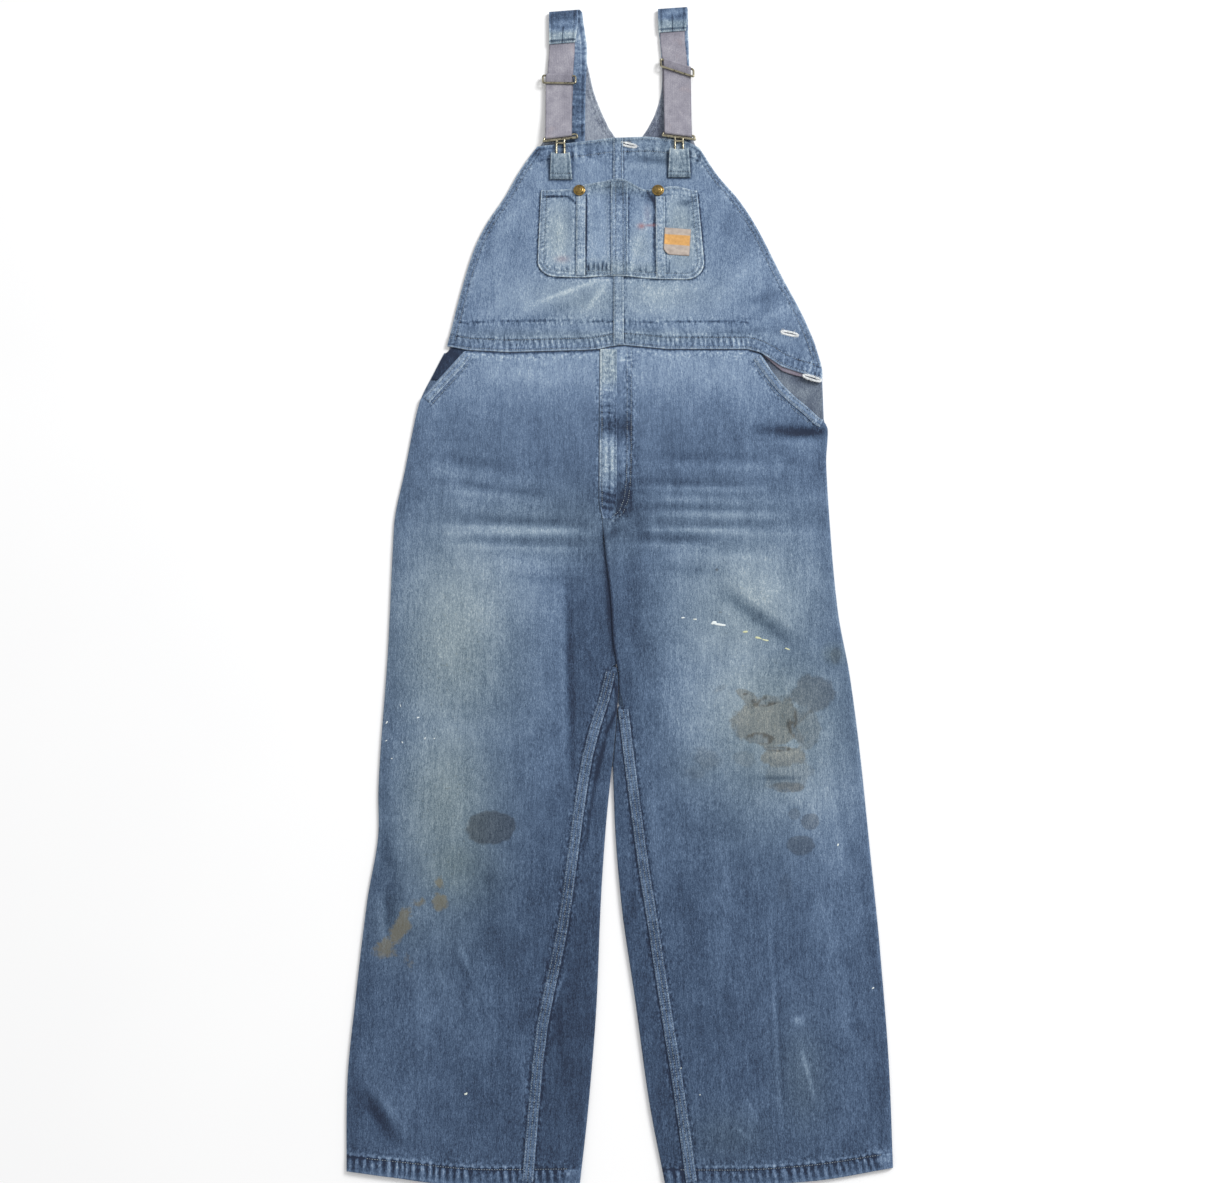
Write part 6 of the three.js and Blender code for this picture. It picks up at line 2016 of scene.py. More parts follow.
    def label(self) -> None:
        """Blank square label, turned a little, one corner lifting."""
        u, w = np.meshgrid(across(LABEL_SIZE[0], 1.2), across(LABEL_SIZE[1], 1.2))
        trim = 3.0 * bump(u * LABEL_SIZE[0], 5) * bump(w * LABEL_SIZE[1], 5)
        du, dw = (u - 0.5) * LABEL_SIZE[0] + trim, (w - 0.5) * LABEL_SIZE[1] + trim
        x = LABEL_AT[0] + du * math.cos(LABEL_TURN) - dw * math.sin(LABEL_TURN)
        y = LABEL_AT[1] + du * math.sin(LABEL_TURN) + dw * math.cos(LABEL_TURN)
        corner = 0.5 * bump(u * 36, 6) * bump(w * 41, 6)
        lift = 1.25 * (1 - ramp(86, 91, x)) + corner + 0.12 * np.sin(w * 31 + u * 6)
        low = self.pocket_surface(x, y) + 0.2 + lift
        high = low + 0.95 * rounding(*x.shape)
        points, faces = shell(np.stack([x, y, high], -1), np.stack([x, y, low], -1))
        patch = make_mesh("blank_label", points, faces, twice({"run": u, "side": w}), self.finishes.label)
        dress(patch, "label", "label_patch")

    def rivets(self) -> None:
        """Two domed caps."""
        for side, at, node in (("left", RIVETS[0], "rivet_left"), ("right", RIVETS[1], "rivet_right")):
            base = float(self.pocket_surface(np.array([at[0]]), np.array([at[1]]))[0]) + 0.3
            rim = [(7.5, 0.0), (8.2, 0.15), (8.5, 0.6), (8.45, 1.1), (8.0, 1.55), (7.4, 1.6), (6.9, 1.5),
                   (6.4, 1.85)]
            dome = [(6.4 * math.sin(a), 1.85 + 2.35 * math.cos(a)) for a in np.linspace(1.5, 0.08, 12)]
            dent = [(r, h - 0.35 * math.exp(-((r - 2.4) / 1.1) ** 2)) for r, h in dome]
            piece = turned("cap_" + side, (*at, base), [*rim, *dent], self.finishes.gold)
            dress(piece, "brass", node)

    def buttonholes(self) -> None:
        """Three frayed white buttonholes with their dark slits."""
        rings, fibres, slits = [], [], []
        for number, (a, b) in enumerate(BUTTONHOLES):
            along_x, along_y = b[0] - a[0], b[1] - a[1]
            length = math.hypot(along_x, along_y)
            ux, uy = along_x / length, along_y / length
            for reach, lift in ((2.2, 0.25), (3.0, 0.15), (1.6, 0.2)):
                turn = np.linspace(0, 2 * math.pi, 49)
                u = (length / 2 + reach * 0.2) * np.sign(np.cos(turn)) * np.abs(np.cos(turn)) ** 0.8
                v = reach * np.sign(np.sin(turn)) * np.abs(np.sin(turn)) ** 0.7
                x = (a[0] + b[0]) / 2 + u * ux - v * uy
                y = (a[1] + b[1]) / 2 + u * uy + v * ux
                rings.append(np.stack([x, y, self.surface(x, y) + lift], 1))
            for k in range(34):
                c = chance(np.arange(5), np.full(5, k), 90 + number)
                u, v = (c[0] - 0.5) * length * 1.05, (c[1] - 0.5) * 9.0
                t = np.linspace(0, 1, 6)
                x = (a[0] + b[0]) / 2 + u * ux - v * uy + (c[2] - 0.5) * 7 * t + (c[3] - 0.5) * 3 * t * t
                y = (a[1] + b[1]) / 2 + u * uy + v * ux + (c[4] - 0.5) * 7 * t
                x = np.minimum(x, BIB_RIGHT(y) - 1)
                fibres.append(np.stack([x, y, self.surface(x, y) + 0.5 + 0.5 * np.sin(t * 3)], 1))
            middle = ((a[0] + b[0]) / 2, (a[1] + b[1]) / 2)
            slits.append((*middle, length / 2 - 1.5, 0.9, math.atan2(uy, ux), 1.0))
        white = self.finishes.white_thread
        dress(self.stitches.sew("buttonhole_stitching", rings, white, Pitch=0.00085, Length=0.0036,
                                Width=0.0009,
                                Turn=math.pi / 2, Unevenness=0.5), "thread")
        dress(tubes("buttonhole_fibres", fibres, 0.13, white), "thread")
        above = lambda x, y: self.surface(x, y) + 0.3
        dress(blobs("buttonhole_slits", slits, above, 0.3, self.finishes.dark_thread), "thread")

    def thread(self) -> None:
        """Stitches all over the bib."""
        lines = list(self.bib_thread)
        for path in (shifted(self.low_line, 3), shifted(self.low_line, 17.5), *self.side_lines,
                     [(x, y - BIB_TOP_BAND + 2) for x, y in BIB_TOP], [(x, y - 4) for x, y in BIB_TOP]):
            lines.append(stitch_line(path[1:-1], self.surface))
        pale = self.finishes.pale_thread
        for side in ("left", "right"):
            halves = [line[(line[:, 0] < BIB_CENTRE) == (side == "left")] for line in lines]
            halves = [half for half in halves if len(half) > 2]
            dress(self.stitches.sew(side + "_bib_stitching", halves, pale), "thread")
        for inset in (3.4, 8.6):
            self.pocket_thread.append(stitch_line(pocket_outline(inset), self.pocket_surface))
        top = [(x, float(POCKET_TOP(x)) - 3) for x in range(-84, 128, 8)]
        self.pocket_thread.append(stitch_line(top, self.pocket_surface))
        dress(self.stitches.sew("pocket_stitching", self.pocket_thread, pale), "thread")

    def make(self) -> None:
        """Make every piece of the bib."""
        self.high_back()
        self.halves()
        self.centre()
        self.pocket()
        self.label()
        self.rivets()
        self.buttonholes()
        self.thread()


def tab_shade(x: Array, y: Array) -> Array:
    """Painted shadow on the bib round each tab."""
    shade = np.zeros(x.shape)
    for middle, foot in TAB_FEET:
        reach = np.maximum(np.abs(x - middle) - 15.6, foot - y)
        shade -= 0.34 * bump(np.maximum(reach, -1.0) - 0.8, 1.8) * (1 - ramp(566, 572, y))
    return shade


# ---- turned, swept and dropped shapes --------------------------------------------------------------
def turned(name: str, at: tuple[float, float, float], profile: Points,
           finish: bpy.types.Material) -> bpy.types.Object:
    """A closed lathe shape about the upright line through a point; profile runs from base to tip."""
    around = 48
    turn = np.linspace(0, 2 * np.pi, around, endpoint=False)
    line = np.array(profile)
    ring = np.stack([at[0] + line[:, 0, None] * np.cos(turn), at[1] + line[:, 0, None] * np.sin(turn),
                     at[2] + line[:, 1, None] + 0 * turn], -1)
    ends = [[at[0], at[1], at[2] + line[k, 1]] for k in (0, -1)]
    points = np.concatenate([ring.reshape(-1, 3), ends])
    ids = np.arange(len(line) * around).reshape(len(line), around)
    after = np.roll(ids, -1, axis=1)
    quads = np.stack([ids[:-1], after[:-1], after[1:], ids[1:]], -1).reshape(-1, 4)
    foot, tip = len(line) * around, len(line) * around + 1
    low = np.stack([np.full(around, foot), after[0], ids[0]], -1)
    high = np.stack([np.full(around, tip), ids[-1], after[-1]], -1)
    return make_mesh(name, points, [quads, np.concatenate([low, high])], {}, finish)


def tube(path: Array, radius: float, sides: int, loop: bool = False) -> tuple[Array, Array, Array]:
    """Points, quads and triangles of one tube with domed ends, or of a closed loop."""
    line = np.array(path, float)
    if loop:
        tangent = np.roll(line, -1, 0) - np.roll(line, 1, 0)
        radii = np.full(len(line), radius)
    else:
        tangent = np.gradient(line, axis=0)
        ends = tangent[[0, -1]] / np.linalg.norm(tangent[[0, -1]], axis=1)[:, None] * radius
        shares, reach = np.array([0.35, 0.75, 0.97]), np.array([0.94, 0.66, 0.24])
        start = line[0] - ends[0] * reach[:, None]
        finish = line[-1] + ends[1] * reach[::-1, None]
        radii = np.concatenate([shares, np.ones(len(line)), shares[::-1]]) * radius
        line = np.concatenate([start, line, finish])
        tangent = np.gradient(line, axis=0)
    tangent /= np.linalg.norm(tangent, axis=1)[:, None]
    aside = np.cross(tangent, np.where(np.abs(tangent[:, 2:3]) > 0.9, [[1.0, 0, 0]], [[0, 0, 1.0]]))
    aside /= np.linalg.norm(aside, axis=1)[:, None]
    up = np.cross(aside, tangent)
    turn = np.linspace(0, 2 * np.pi, sides, endpoint=False)
    around = np.cos(turn)[None, :, None] * aside[:, None] + np.sin(turn)[None, :, None] * up[:, None]
    ring = line[:, None] + radii[:, None, None] * around
    n = len(line)
    ids = np.arange(n * sides).reshape(n, sides)
    nxt = np.roll(ids, -1, 0) if loop else ids[1:]
    here = ids if loop else ids[:-1]
    quads = np.stack([here, nxt, np.roll(nxt, -1, 1), np.roll(here, -1, 1)], -1).reshape(-1, 4)
    points = ring.reshape(-1, 3)
    if loop:
        return points, quads, np.zeros((0, 3), int)
    caps = np.concatenate([
        np.stack([np.full(sides, n * sides), ids[0], np.roll(ids[0], -1)], -1),
        np.stack([np.full(sides, n * sides + 1), np.roll(ids[-1], -1), ids[-1]], -1)])
    return np.concatenate([points, line[[0, -1]]]), quads, caps


def tubes(name: str, paths: Sequence[Array], radius: float | Sequence[float], finish: bpy.types.Material,
          sides: int = 5,
          loops: Sequence[int] = ()) -> bpy.types.Object:
    """One mesh of many tubes; loops names the paths that close on themselves."""
    points, quads, caps, start = [], [], [], 0
    for number, path in enumerate(paths):
        size = radius if isinstance(radius, float) else radius[number]
        p, q, t = tube(path, size, sides, number in loops)
        points.append(p)
        quads.append(q + start)
        caps.append(t + start)
        start += len(p)
    return make_mesh(name, np.concatenate(points), [np.concatenate(quads), np.concatenate(caps)], {}, finish)


def blobs(name: str, drops: Sequence[tuple[float, ...]], surface: Plan, height: float,
          finish: bpy.types.Material,
          rough: float = 0.0) -> bpy.types.Object:
    """Thin closed drops lying on a surface.

    Args:
        name: the piece's name.
        drops: middle x, y, half length, half width, turn, and tone of each.
        surface: height below them.
        height: how high a drop stands in its middle.
        finish: their material.
        rough: how ragged their outline is.

    Returns:
        The object.
    """
    sides, rings = 22, np.array([0.3, 0.62, 0.86, 1.0])
    turn = np.linspace(0, 2 * np.pi, sides, endpoint=False)
    points, quads, caps, tones, start = [], [], [], [], 0
    for number, (cx, cy, half, wide, lean, tone) in enumerate(drops):
        ragged = 1 + rough * (2 * chance(np.arange(sides), np.full(sides, number), 8) - 1)
        ragged = (ragged + np.roll(ragged, 1) + np.roll(ragged, -1)) / 3
        u = half * rings[:, None] * np.cos(turn) * ragged
        v = wide * rings[:, None] * np.sin(turn) * ragged
        x, y = cx + u * math.cos(lean) - v * math.sin(lean), cy + u * math.sin(lean) + v * math.cos(lean)
        base = surface(x, y)
        z = base + 0.02 + height * np.sqrt(np.maximum(1 - rings[:, None] ** 2, 0.04))
        middle = float(surface(np.array([cx]), np.array([cy]))[0])
        top = np.stack([x, y, z], -1).reshape(-1, 3)
        rim = np.stack([x[-1], y[-1], base[-1] - 0.15], -1)
        points += [top, rim, [[cx, cy, middle + 0.02 + height], [cx, cy, middle - 0.15]]]
        ids = np.arange(start, start + len(rings) * sides).reshape(len(rings), sides)
        after = np.roll(ids, -1, 1)
        edge = ids[-1] + sides
        tip = edge[-1] + 1
        quads.append(np.stack([ids[:-1], ids[1:], after[1:], after[:-1]], -1).reshape(-1, 4))
        quads.append(np.stack([ids[-1], edge, np.roll(edge, -1), after[-1]], -1))
        caps.append(np.stack([np.full(sides, tip), ids[0], after[0]], -1))
        caps.append(np.stack([np.full(sides, tip + 1), np.roll(edge, -1), edge], -1))
        tones.append(np.full(tip + 2 - start, tone))
        start = tip + 2
    return make_mesh(name, np.concatenate(points), [np.concatenate(quads), np.concatenate(caps)],
                     {"tone": np.concatenate(tones)}, finish)


# ---- braces --------------------------------------------------------------------------------------
Station = tuple[float, float, float, float, float]


def arc(middle: tuple[float, float], radius: float, first: float, last: float,
        ends: tuple[tuple[float, float], ...],
        skew: float, count: int = 8) -> list[Station]:
    """Stations round a bar: angles in degrees from +Y towards +Z; its sides run from one pair to another."""
    found = []
    for k in range(count + 1):
        a = math.radians(lerp(first, last, k / count))
        left, right = lerp(ends[0][0], ends[-1][0], k / count), lerp(ends[0][1], ends[-1][1], k / count)
        found.append((middle[0] + radius * math.cos(a), middle[1] + radius * math.sin(a), left, right, skew))
    return found


@dataclass
class Ribbon:
    """A band that folds over itself.

    Args:
        stations: (y, z, left x, right x, lean) of its middle layer, in order.
        pivot: x about which it leans.
        thick: its thickness.
        columns: faces across it.
        notch: first and last station of a slot cut out of its middle.
    """

    stations: Sequence[Station]
    pivot: float
    thick: float = CLOTH
    columns: int = 16
    notch: tuple[int, int] | None = None

    def build(self, name: str, finish: bpy.types.Material,
              fields: Callable[..., Fields]) -> bpy.types.Object:
        """Make the band; fields is called with x, y, run and side."""
        line = np.array(self.stations, float)
        at = np.concatenate([[0], np.cumsum(np.hypot(*np.diff(line[:, :2], axis=0).T))])
        cuts = [np.linspace(a, b, max(2, math.ceil((b - a) / 1.5)), endpoint=False)
                for a, b in zip(at[:-1], at[1:])]
        run = np.concatenate([*cuts, [at[-1]]])
        y, z, left, right, skew = (Curve(list(zip(at, line[:, k])))(run) for k in range(5))
        dy, dz = np.gradient(y), np.gradient(z)
        length = np.hypot(dy, dz)
        share = np.concatenate([[0, 0.012], np.linspace(0.05, 0.95, self.columns - 3), [0.988, 1]])
        if self.notch is not None:
            share = np.unique(np.concatenate([share, NOTCH]))
        x = lerp(left[:, None], right[:, None], share[None, :])
        lean = skew[:, None] * (x - self.pivot)
        soft = self.thick / 2 * rounding(*x.shape)
        grids = []
        for way in (1, -1):
            off = way * soft
            grids.append(np.stack([x, y[:, None] + lean - (dz / length)[:, None] * off,
                                   z[:, None] + (dy / length)[:, None] * off], -1))
        present = None
        if self.notch is not None:
            middle = (share[:-1] >= NOTCH[0] - 1e-6) & (share[1:] <= NOTCH[1] + 1e-6)
            within = (run[:-1] >= at[self.notch[0]]) & (run[:-1] < at[self.notch[1]])
            present = ~(within[:, None] & middle[None, :])
        points, faces = shell(grids[0], grids[1], present)
        side = np.broadcast_to(share[None, :], x.shape)
        found = fields(x, y[:, None] + lean, run[:, None] + 0 * x, side)
        return make_mesh(name, points, faces, twice(found), finish)


@dataclass(frozen=True)
class BraceSize:
    """Everything that differs between the two braces.

    Args:
        side: left or right.
        low, high: the strap's two sides, as x, where it leaves the back and at the top.
        fold: y of its top.
        end_at, end_x: y and sides of its free end, and front_x its sides at the fold.
        skew: how much the strap leans, as y for each millimetre of x.
        start, widths: y at which the elastic starts, and its sides at the top, the slider and the clasp.
        middle: x of the clasp.
        bar, bar_skew: y and lean of the clasp's wide bar.
        slide, slide_skew, slider_x: y, lean and x of the slider.
        clasp_length, clasp_foot: width of the wide bar, and y of the wire in the tab.
        tab_bottom, tab_top: the tab's sides, as x; tab_from is the y of its lower edge.
    """

    side: str
    low: tuple[float, float]
    high: tuple[float, float]
    fold: float
    end_at: float
    end_x: tuple[float, float]
    front_x: tuple[float, float]
    skew: float
    start: float
    widths: tuple[tuple[float, float], ...]
    middle: float
    bar: float
    slide: float
    bar_skew: float
    slide_skew: float
    slider_x: float
    clasp_length: float
    clasp_foot: float
    tab_bottom: tuple[float, float]
    tab_top: tuple[float, float]
    tab_from: float


LEFT_BRACE = BraceSize(
    side="left", low=(-65, -26), high=(-78.6, -30.6), fold=800, end_at=745, end_x=(-78.2, -40.5),
    front_x=(-78.6, -36.4), skew=0.09, start=761, widths=((-78, -41), (-80, -43), (-82.3, -44.2)),
    middle=-60.5, bar=587, slide=685, bar_skew=0.13, slide_skew=-0.02, slider_x=-63,
    clasp_length=51, clasp_foot=563,
    tab_bottom=(-75, -43.5), tab_top=(-73.8, -47.2), tab_from=525)
RIGHT_BRACE = BraceSize(
    side="right", low=(88, 125), high=(80.5, 124), fold=804.5, end_at=764, end_x=(81.5, 120.5),
    front_x=(80.1, 122.4), skew=0.08, start=779, widths=((83, 119), (85.5, 121.5), (87.5, 126.5)),
    middle=108, bar=590, slide=703.5, bar_skew=-0.14, slide_skew=-0.37, slider_x=107,
    clasp_length=49, clasp_foot=570,
    tab_bottom=(92, 124), tab_top=(94.7, 121.3), tab_from=528)
STRAP_Z = 0.6  # height of the strap's middle layer where it comes up from under the elastic
STRAP_TURN = 2.35  # radius at which it turns over
FRONT_Z = STRAP_Z + 2 * STRAP_TURN
LOOP_AT = 5.4  # from the clasp's wide bar to the wire above it, which carries the elastic
LOOP_Z = 8.2  # height of the clasp
BAR = 2.0  # radius of its wide bar
NECK = 1.5  # radius of its other wires
WIRE = 1.5  # radius of the slider's wire
SLIDER_HALF = 25.0  # half its outer width
SLIDER_SIDES = (-7.5, 5.5)  # its lower and upper side, from the line that it lies on
SLIDER_CORNER = 2.4
SLIDER_Z = (8.3, 6.5)  # heights of those sides
TAB_STITCH = (2.4, 8.5)  # stitches above the tab's foot


@dataclass
class Brace:
    """One brace: denim strap, elastic, slider, clasp and the tab that holds it."""

    size: BraceSize
    finishes: Finishes
    stitches: StitchTree

    def strap(self) -> None:
        """Denim strap from the high back, turned over at the top."""
        s = self.size
        fold_at = s.fold - STRAP_TURN - CLOTH / 2
        mix = lambda t: (lerp(s.low[0], s.high[0], t), lerp(s.low[1], s.high[1], t))
        wide = lambda pair, by: (pair[0], pair[1] + (by if s.side == "left" else 0.0))
        stations = [(566, 2.15, *s.low, 0), (660, 2.15, *wide(s.low, 0.8), 0),
                    (728, 2.15, *wide(mix(0.5), 5.0), 0),
                    (742, 1.1, *wide(mix(0.6), 5.2), s.skew / 4),
                    (756, 0.62, *wide(mix(0.75), 4.4), s.skew / 2),
                    (778, STRAP_Z, *wide(s.high, 2.2), s.skew),
                    *arc((fold_at, STRAP_Z + STRAP_TURN), STRAP_TURN, -90, 90, (s.high, s.front_x), s.skew),
                    (fold_at - 14, FRONT_Z, *s.front_x, s.skew), (s.end_at, FRONT_Z, *s.end_x, s.skew)]

        def fields(x: Array, y: Array, run: Array, side: Array) -> Fields:
            """Wear of the strap: stitched edges, the doubled end and its cross seams."""
            end = run.max() - run
            front = 1 - ramp(s.fold - s.end_at + 4, s.fold - s.end_at + 10, end)
            edge = np.minimum(side, 1 - side) * 40
            lines = -0.6 * (bump(end - 4.6, 1.3) + 0.3 * bump(end - 1.0, 0.8)) * front
            lines += 0.24 * bump(end - 2.2, 0.9) * front
            lines -= 0.5 * bump(side - 0.5, 0.022) * front * (1 - ramp(22, 34, end))
            rim = 0.2 * bump(edge, 1.4) - 0.2 * bump(edge - 4.4, 1.3)
            rim += 0.16 * bump(edge - 6.6, 0.9) * (1 - front)
            bars = 0.2 * mottle(run, side * 3, 4.0, 1.2, 81, 2) * (1 - front)
            bars += 0.16 * mottle(x, y, 6, 6, 82, 3)
            found = STRAP_WEAR.fields(x, y, lines + rim + bars, 0.5)
            shaded = 0.3 * ramp(s.end_at + 16, s.end_at + 28, y)
            found["pale"] += front * (0.1 - shaded + 0.2 * bump(end - 32, 6))
            found["green"] = front * (1 - ramp(s.end_at + 14, s.end_at + 24, y)) * 0.6
            return found

        pivot = (s.high[0] + s.high[1]) / 2
        piece = Ribbon(stations, pivot, columns=26).build(s.side + "_brace", self.finishes.face, fields)
        dress(piece, "denim", s.side + "_strap")
        thread_z = FRONT_Z + CLOTH / 2 + 0.12
        lines = []
        for end in (2.6, 6.6):
            x = np.linspace(s.end_x[0] + 3, s.end_x[1] - 3, 20)
            lines.append(np.stack([x, s.end_at + end + s.skew * (x - pivot), np.full(20, thread_z)], 1))
        for share in (0.1, 0.5, 0.9):
            y = np.linspace(s.end_at + 3, s.fold - 8 if share != 0.5 else s.end_at + 24, 24)
            t = (y - s.end_at) / (s.fold - s.end_at)
            x = lerp(lerp(s.end_x[0], s.end_x[1], share), lerp(s.front_x[0], s.front_x[1], share), t)
            lines.append(np.stack([x, y + s.skew * (x - pivot), np.full(24, thread_z)], 1))
        sewn = self.stitches.sew(s.side + "_brace_stitching", lines, self.finishes.dark_thread,
                                 Length=0.0026)
        dress(sewn, "thread")

    def elastic(self) -> None:
        """Webbing down through the slider, round the clasp and back up over the slider."""
        s = self.size
        top, mid, low = s.widths
        b, c = s.bar_skew, s.slide_skew
        stations = [(s.start, 3.85, *top, 0), (s.start - 24, 3.85, *top, 0), (s.slide + 8, 4.0, *mid, c / 2),
                    (s.slide - 12, 4.1, *mid, c / 2), (640, 4.2, *low, 0), (616, 4.7, *low, b),
                    (604, 5.5, *low, b),
                    *arc((s.bar + LOOP_AT, LOOP_Z), 2.0, -90, -270, (low, low), b),
                    (s.bar + LOOP_AT + 8, 9.8, *low, b),
                    (616, 8.2, *low, b), (630, 6.9, *low, b / 2), (644, 6.2, *low, 0),
                    (s.slide - 16, 6.1, *low, c / 2),
                    (s.slide - 8, 6.1, *low, c), (s.slide - 1, 7.4, *low, c),
                    *arc((s.slide + 5.5, 6.5), 2.1, 115, -10, (low, low), c, 7)]
        near = lambda y: 0.1 * bump(y - s.slide, 12) + 0.14 * bump(y - s.end_at, 8)
        dark = lambda x, y: near(y) + 0.06 * mottle(x, y, 20, 30, 83, 2)
        fields = lambda x, y, run, side: {"run": run, "side": side, "dark": dark(x, y)}
        piece = Ribbon(stations, s.middle, 1.2, 14).build(s.side + "_webbing", self.finishes.webbing, fields)
        dress(piece, "webbing", s.side + "_elastic")

    def slider(self) -> None:
        """Rounded rectangle of wire, tilted over the webbing."""
        s = self.size
        half = SLIDER_HALF - WIRE - SLIDER_CORNER
        low, high = SLIDER_SIDES
        loop = []
        for sx, dy, first in ((-1, low, 180), (1, low, 270), (1, high, 0), (-1, high, 90)):
            for step in np.linspace(0, 90, 5):
                a = math.radians(first + step)
                x = s.slider_x + sx * half + SLIDER_CORNER * math.cos(a)
                off = dy - math.copysign(SLIDER_CORNER, dy) + SLIDER_CORNER * math.sin(a)
                z = lerp(*SLIDER_Z, (off - low) / (high - low))
                loop.append((x, s.slide + off + s.slide_skew * (x - s.middle), z))
        closed = walk([*loop, loop[0]], 1.2)[:-1]
        piece = tubes(s.side + "_slide", [closed], WIRE, self.finishes.brass, 14, loops=(0,))
        dress(piece, "brass", s.side + "_slider")

    def clasp(self) -> None:
        """Wide-bar loop with a pinched neck that hangs in the tab."""
        s = self.size
        x0, y0, z, half = s.middle, s.bar, LOOP_Z, s.clasp_length / 2 - BAR
        at = lambda u, dy: (x0 + u, y0 + dy + s.bar_skew * u, z)
        bar = walk([at(-half, 0), at(half, 0)], 2.0)
        end = ((half, 0), (half, 2.5), (half - 0.9, 4.6), (half - 2.8, LOOP_AT))
        upper = [*(at(-u, dy) for u, dy in end), *(at(u, dy) for u, dy in reversed(end))]
        leg = lambda side: [(x0 + side * 5.9, y0 - 0.4 + s.bar_skew * side * 5.9, z),
                            (x0 + side * 5.3, y0 - 3.5, z), (x0 + side * 4.9, y0 - 6, z),
                            (x0 + side * 5.7, y0 - 9, z), (x0 + side * 5.6, s.clasp_foot, z)]
        collar = [(x0 - 5.6, y0 - 6, z), (x0 + 5.6, y0 - 6, z)]
        foot = [(x0 - 11.4, s.clasp_foot, z), (x0 + 11.4, s.clasp_foot, z)]
        paths = [bar, *(walk(path, 1.0) for path in (upper, leg(-1), leg(1), collar)), walk(foot, 1.5)]
        radii = (BAR, NECK, NECK, NECK, NECK + 0.25, NECK)
        piece = tubes(s.side + "_loop", paths, radii, self.finishes.brass, 14)
        dress(piece, "brass", s.side + "_clasp")

    def tab(self) -> None:
        """Denim loop sewn on the bib, folded round the foot of the clasp."""
        s = self.size
        z, r = LOOP_Z, NECK + GAP + 0.5
        to = s.clasp_foot + r + 0.5
        middle = (s.tab_bottom[0] + s.tab_bottom[1]) / 2

        def at(y: float) -> tuple[float, float]:
            """The tab's two sides, as x, at that y."""
            t = (y - s.tab_from) / (to - s.tab_from)
            return lerp(s.tab_bottom[0], s.tab_top[0], t), lerp(s.tab_bottom[1], s.tab_top[1], t)

        def seat(y: float) -> float:
            """Height of the tab's lower layer, which lies on the bib."""
            x_at, y_at = np.array([middle]), np.array([y])
            return float((bib_floor(x_at, y_at) + bib_thickness(x_at, y_at))[0]) + 0.95

        rows = [s.tab_from, s.tab_from + 10, s.tab_from + 22, s.clasp_foot - 6]
        low = [(y, seat(y), *at(y), 0.0) for y in rows]
        upper = 1.45
        foot = seat(s.tab_from) + upper
        rise = [z + r, lerp(z + r, foot, 0.55), foot + 0.05, foot]
        high = [(y, max(rise[i], seat(y) + upper), *at(y), 0.0) for i, y in enumerate(reversed(rows))]
        turn = arc((s.clasp_foot, z), r, -90, 90, (at(to), at(to)), 0.0)

        def fields(x: Array, y: Array, run: Array, side: Array) -> Fields:
            """Wear of the tab."""
            edge = np.minimum(side, 1 - side) * 30
            end = y - s.tab_from
            sewn = bump(end - TAB_STITCH[0], 1.0) + bump(end - TAB_STITCH[1], 1.0)
            lines = -0.34 * sewn + 0.14 * bump(edge, 1.2) - 0.26 * bump(edge - 3.4, 1.1)
            fold = 0.16 * bump(y - s.clasp_foot, 6)
            found = BIB_WEAR_AND_SHADE.fields(x, y, lines + 0.14 * mottle(x, y, 5, 5, 84, 2) + 0.06 + fold, 0.6)
            found["green"] = 0.6 + 0 * x
            return found

        ribbon = Ribbon([*low, *turn, *high], 0.0, 1.0, 16, (len(low), len(low) + len(turn) - 1))
        dress(ribbon.build(s.side + "_tab_loop", self.finishes.face, fields), "denim_pale", s.side + "_tab")
        x = np.linspace(s.tab_bottom[0] + 2.5, s.tab_bottom[1] - 2.5, 14)
        lines = [np.stack([x, s.tab_from + up + 0 * x, foot + 0.62 + 0 * x], 1) for up in TAB_STITCH]
        dress(self.stitches.sew(s.side + "_tab_stitching", lines, self.finishes.pale_thread), "thread")

    def make(self) -> None:
        """Make every piece of the brace."""
        self.strap()
        self.elastic()
        self.slider()
        self.clasp()
        self.tab()


# ---- paint: middle x, y, half length, half width, turn and tone of each drop --------------------
PAINT_RIGHT = (
    (153, -123, 9, 1.4, -0.2, 0.0), (145, -121, 4, 2.1, 0.3, 0.0), (105, -114, 2.6, 0.9, 0.1, 0.0),
    (121, -116, 3, 0.8, 0.0, 0.2), (186, -133, 3.2, 1.5, 0.1, 0.9), (203, -141, 4, 1.3, -0.33, 0.9),
    (212, -144, 4, 1.1, -0.25, 0.8), (241, -156, 3, 1.0, -0.3, 0.8), (297, -410, 1.6, 0.9, 1.3, 0.1),
    (334, -586, 1.5, 0.8, 0.6, 0.1), (95, -681, 1.6, 0.8, 0.9, 0.3), (92, -724, 1.3, 0.8, 0.4, 0.0),
    (118, -712, 0.8, 0.6, 0.0, 0.2),
)
PAINT_LEFT = (
    (-279, -253, 2.0, 0.8, 0.9, 0.0), (-239, -247, 2.1, 0.8, 0.3, 0.0), (-229, -274, 1.5, 0.7, 1.2, 0.0),
    (-217, -274, 1.0, 0.7, 0.0, 0.0), (-279, -277, 1.4, 0.6, 0.5, 0.0), (-258, -279, 1.3, 0.7, 2.0, 0.0),
    (-167, -711, 1.8, 1.3, 0.2, 0.3), (-262, -231, 1.6, 0.5, 1.9, 0.0), (-271, -300, 1.0, 0.5, 0.2, 0.1),
)


def spatter(trousers: Trousers, finishes: Finishes) -> None:
    """Dried paint on both legs."""
    for name, drops, surface in (("paint_on_right_leg", PAINT_RIGHT, trousers.right_surface),
                                 ("paint_on_left_leg", PAINT_LEFT, trousers.left_surface)):
        dress(blobs(name, drops, surface, 0.35, finishes.paint, 0.5), "paint")


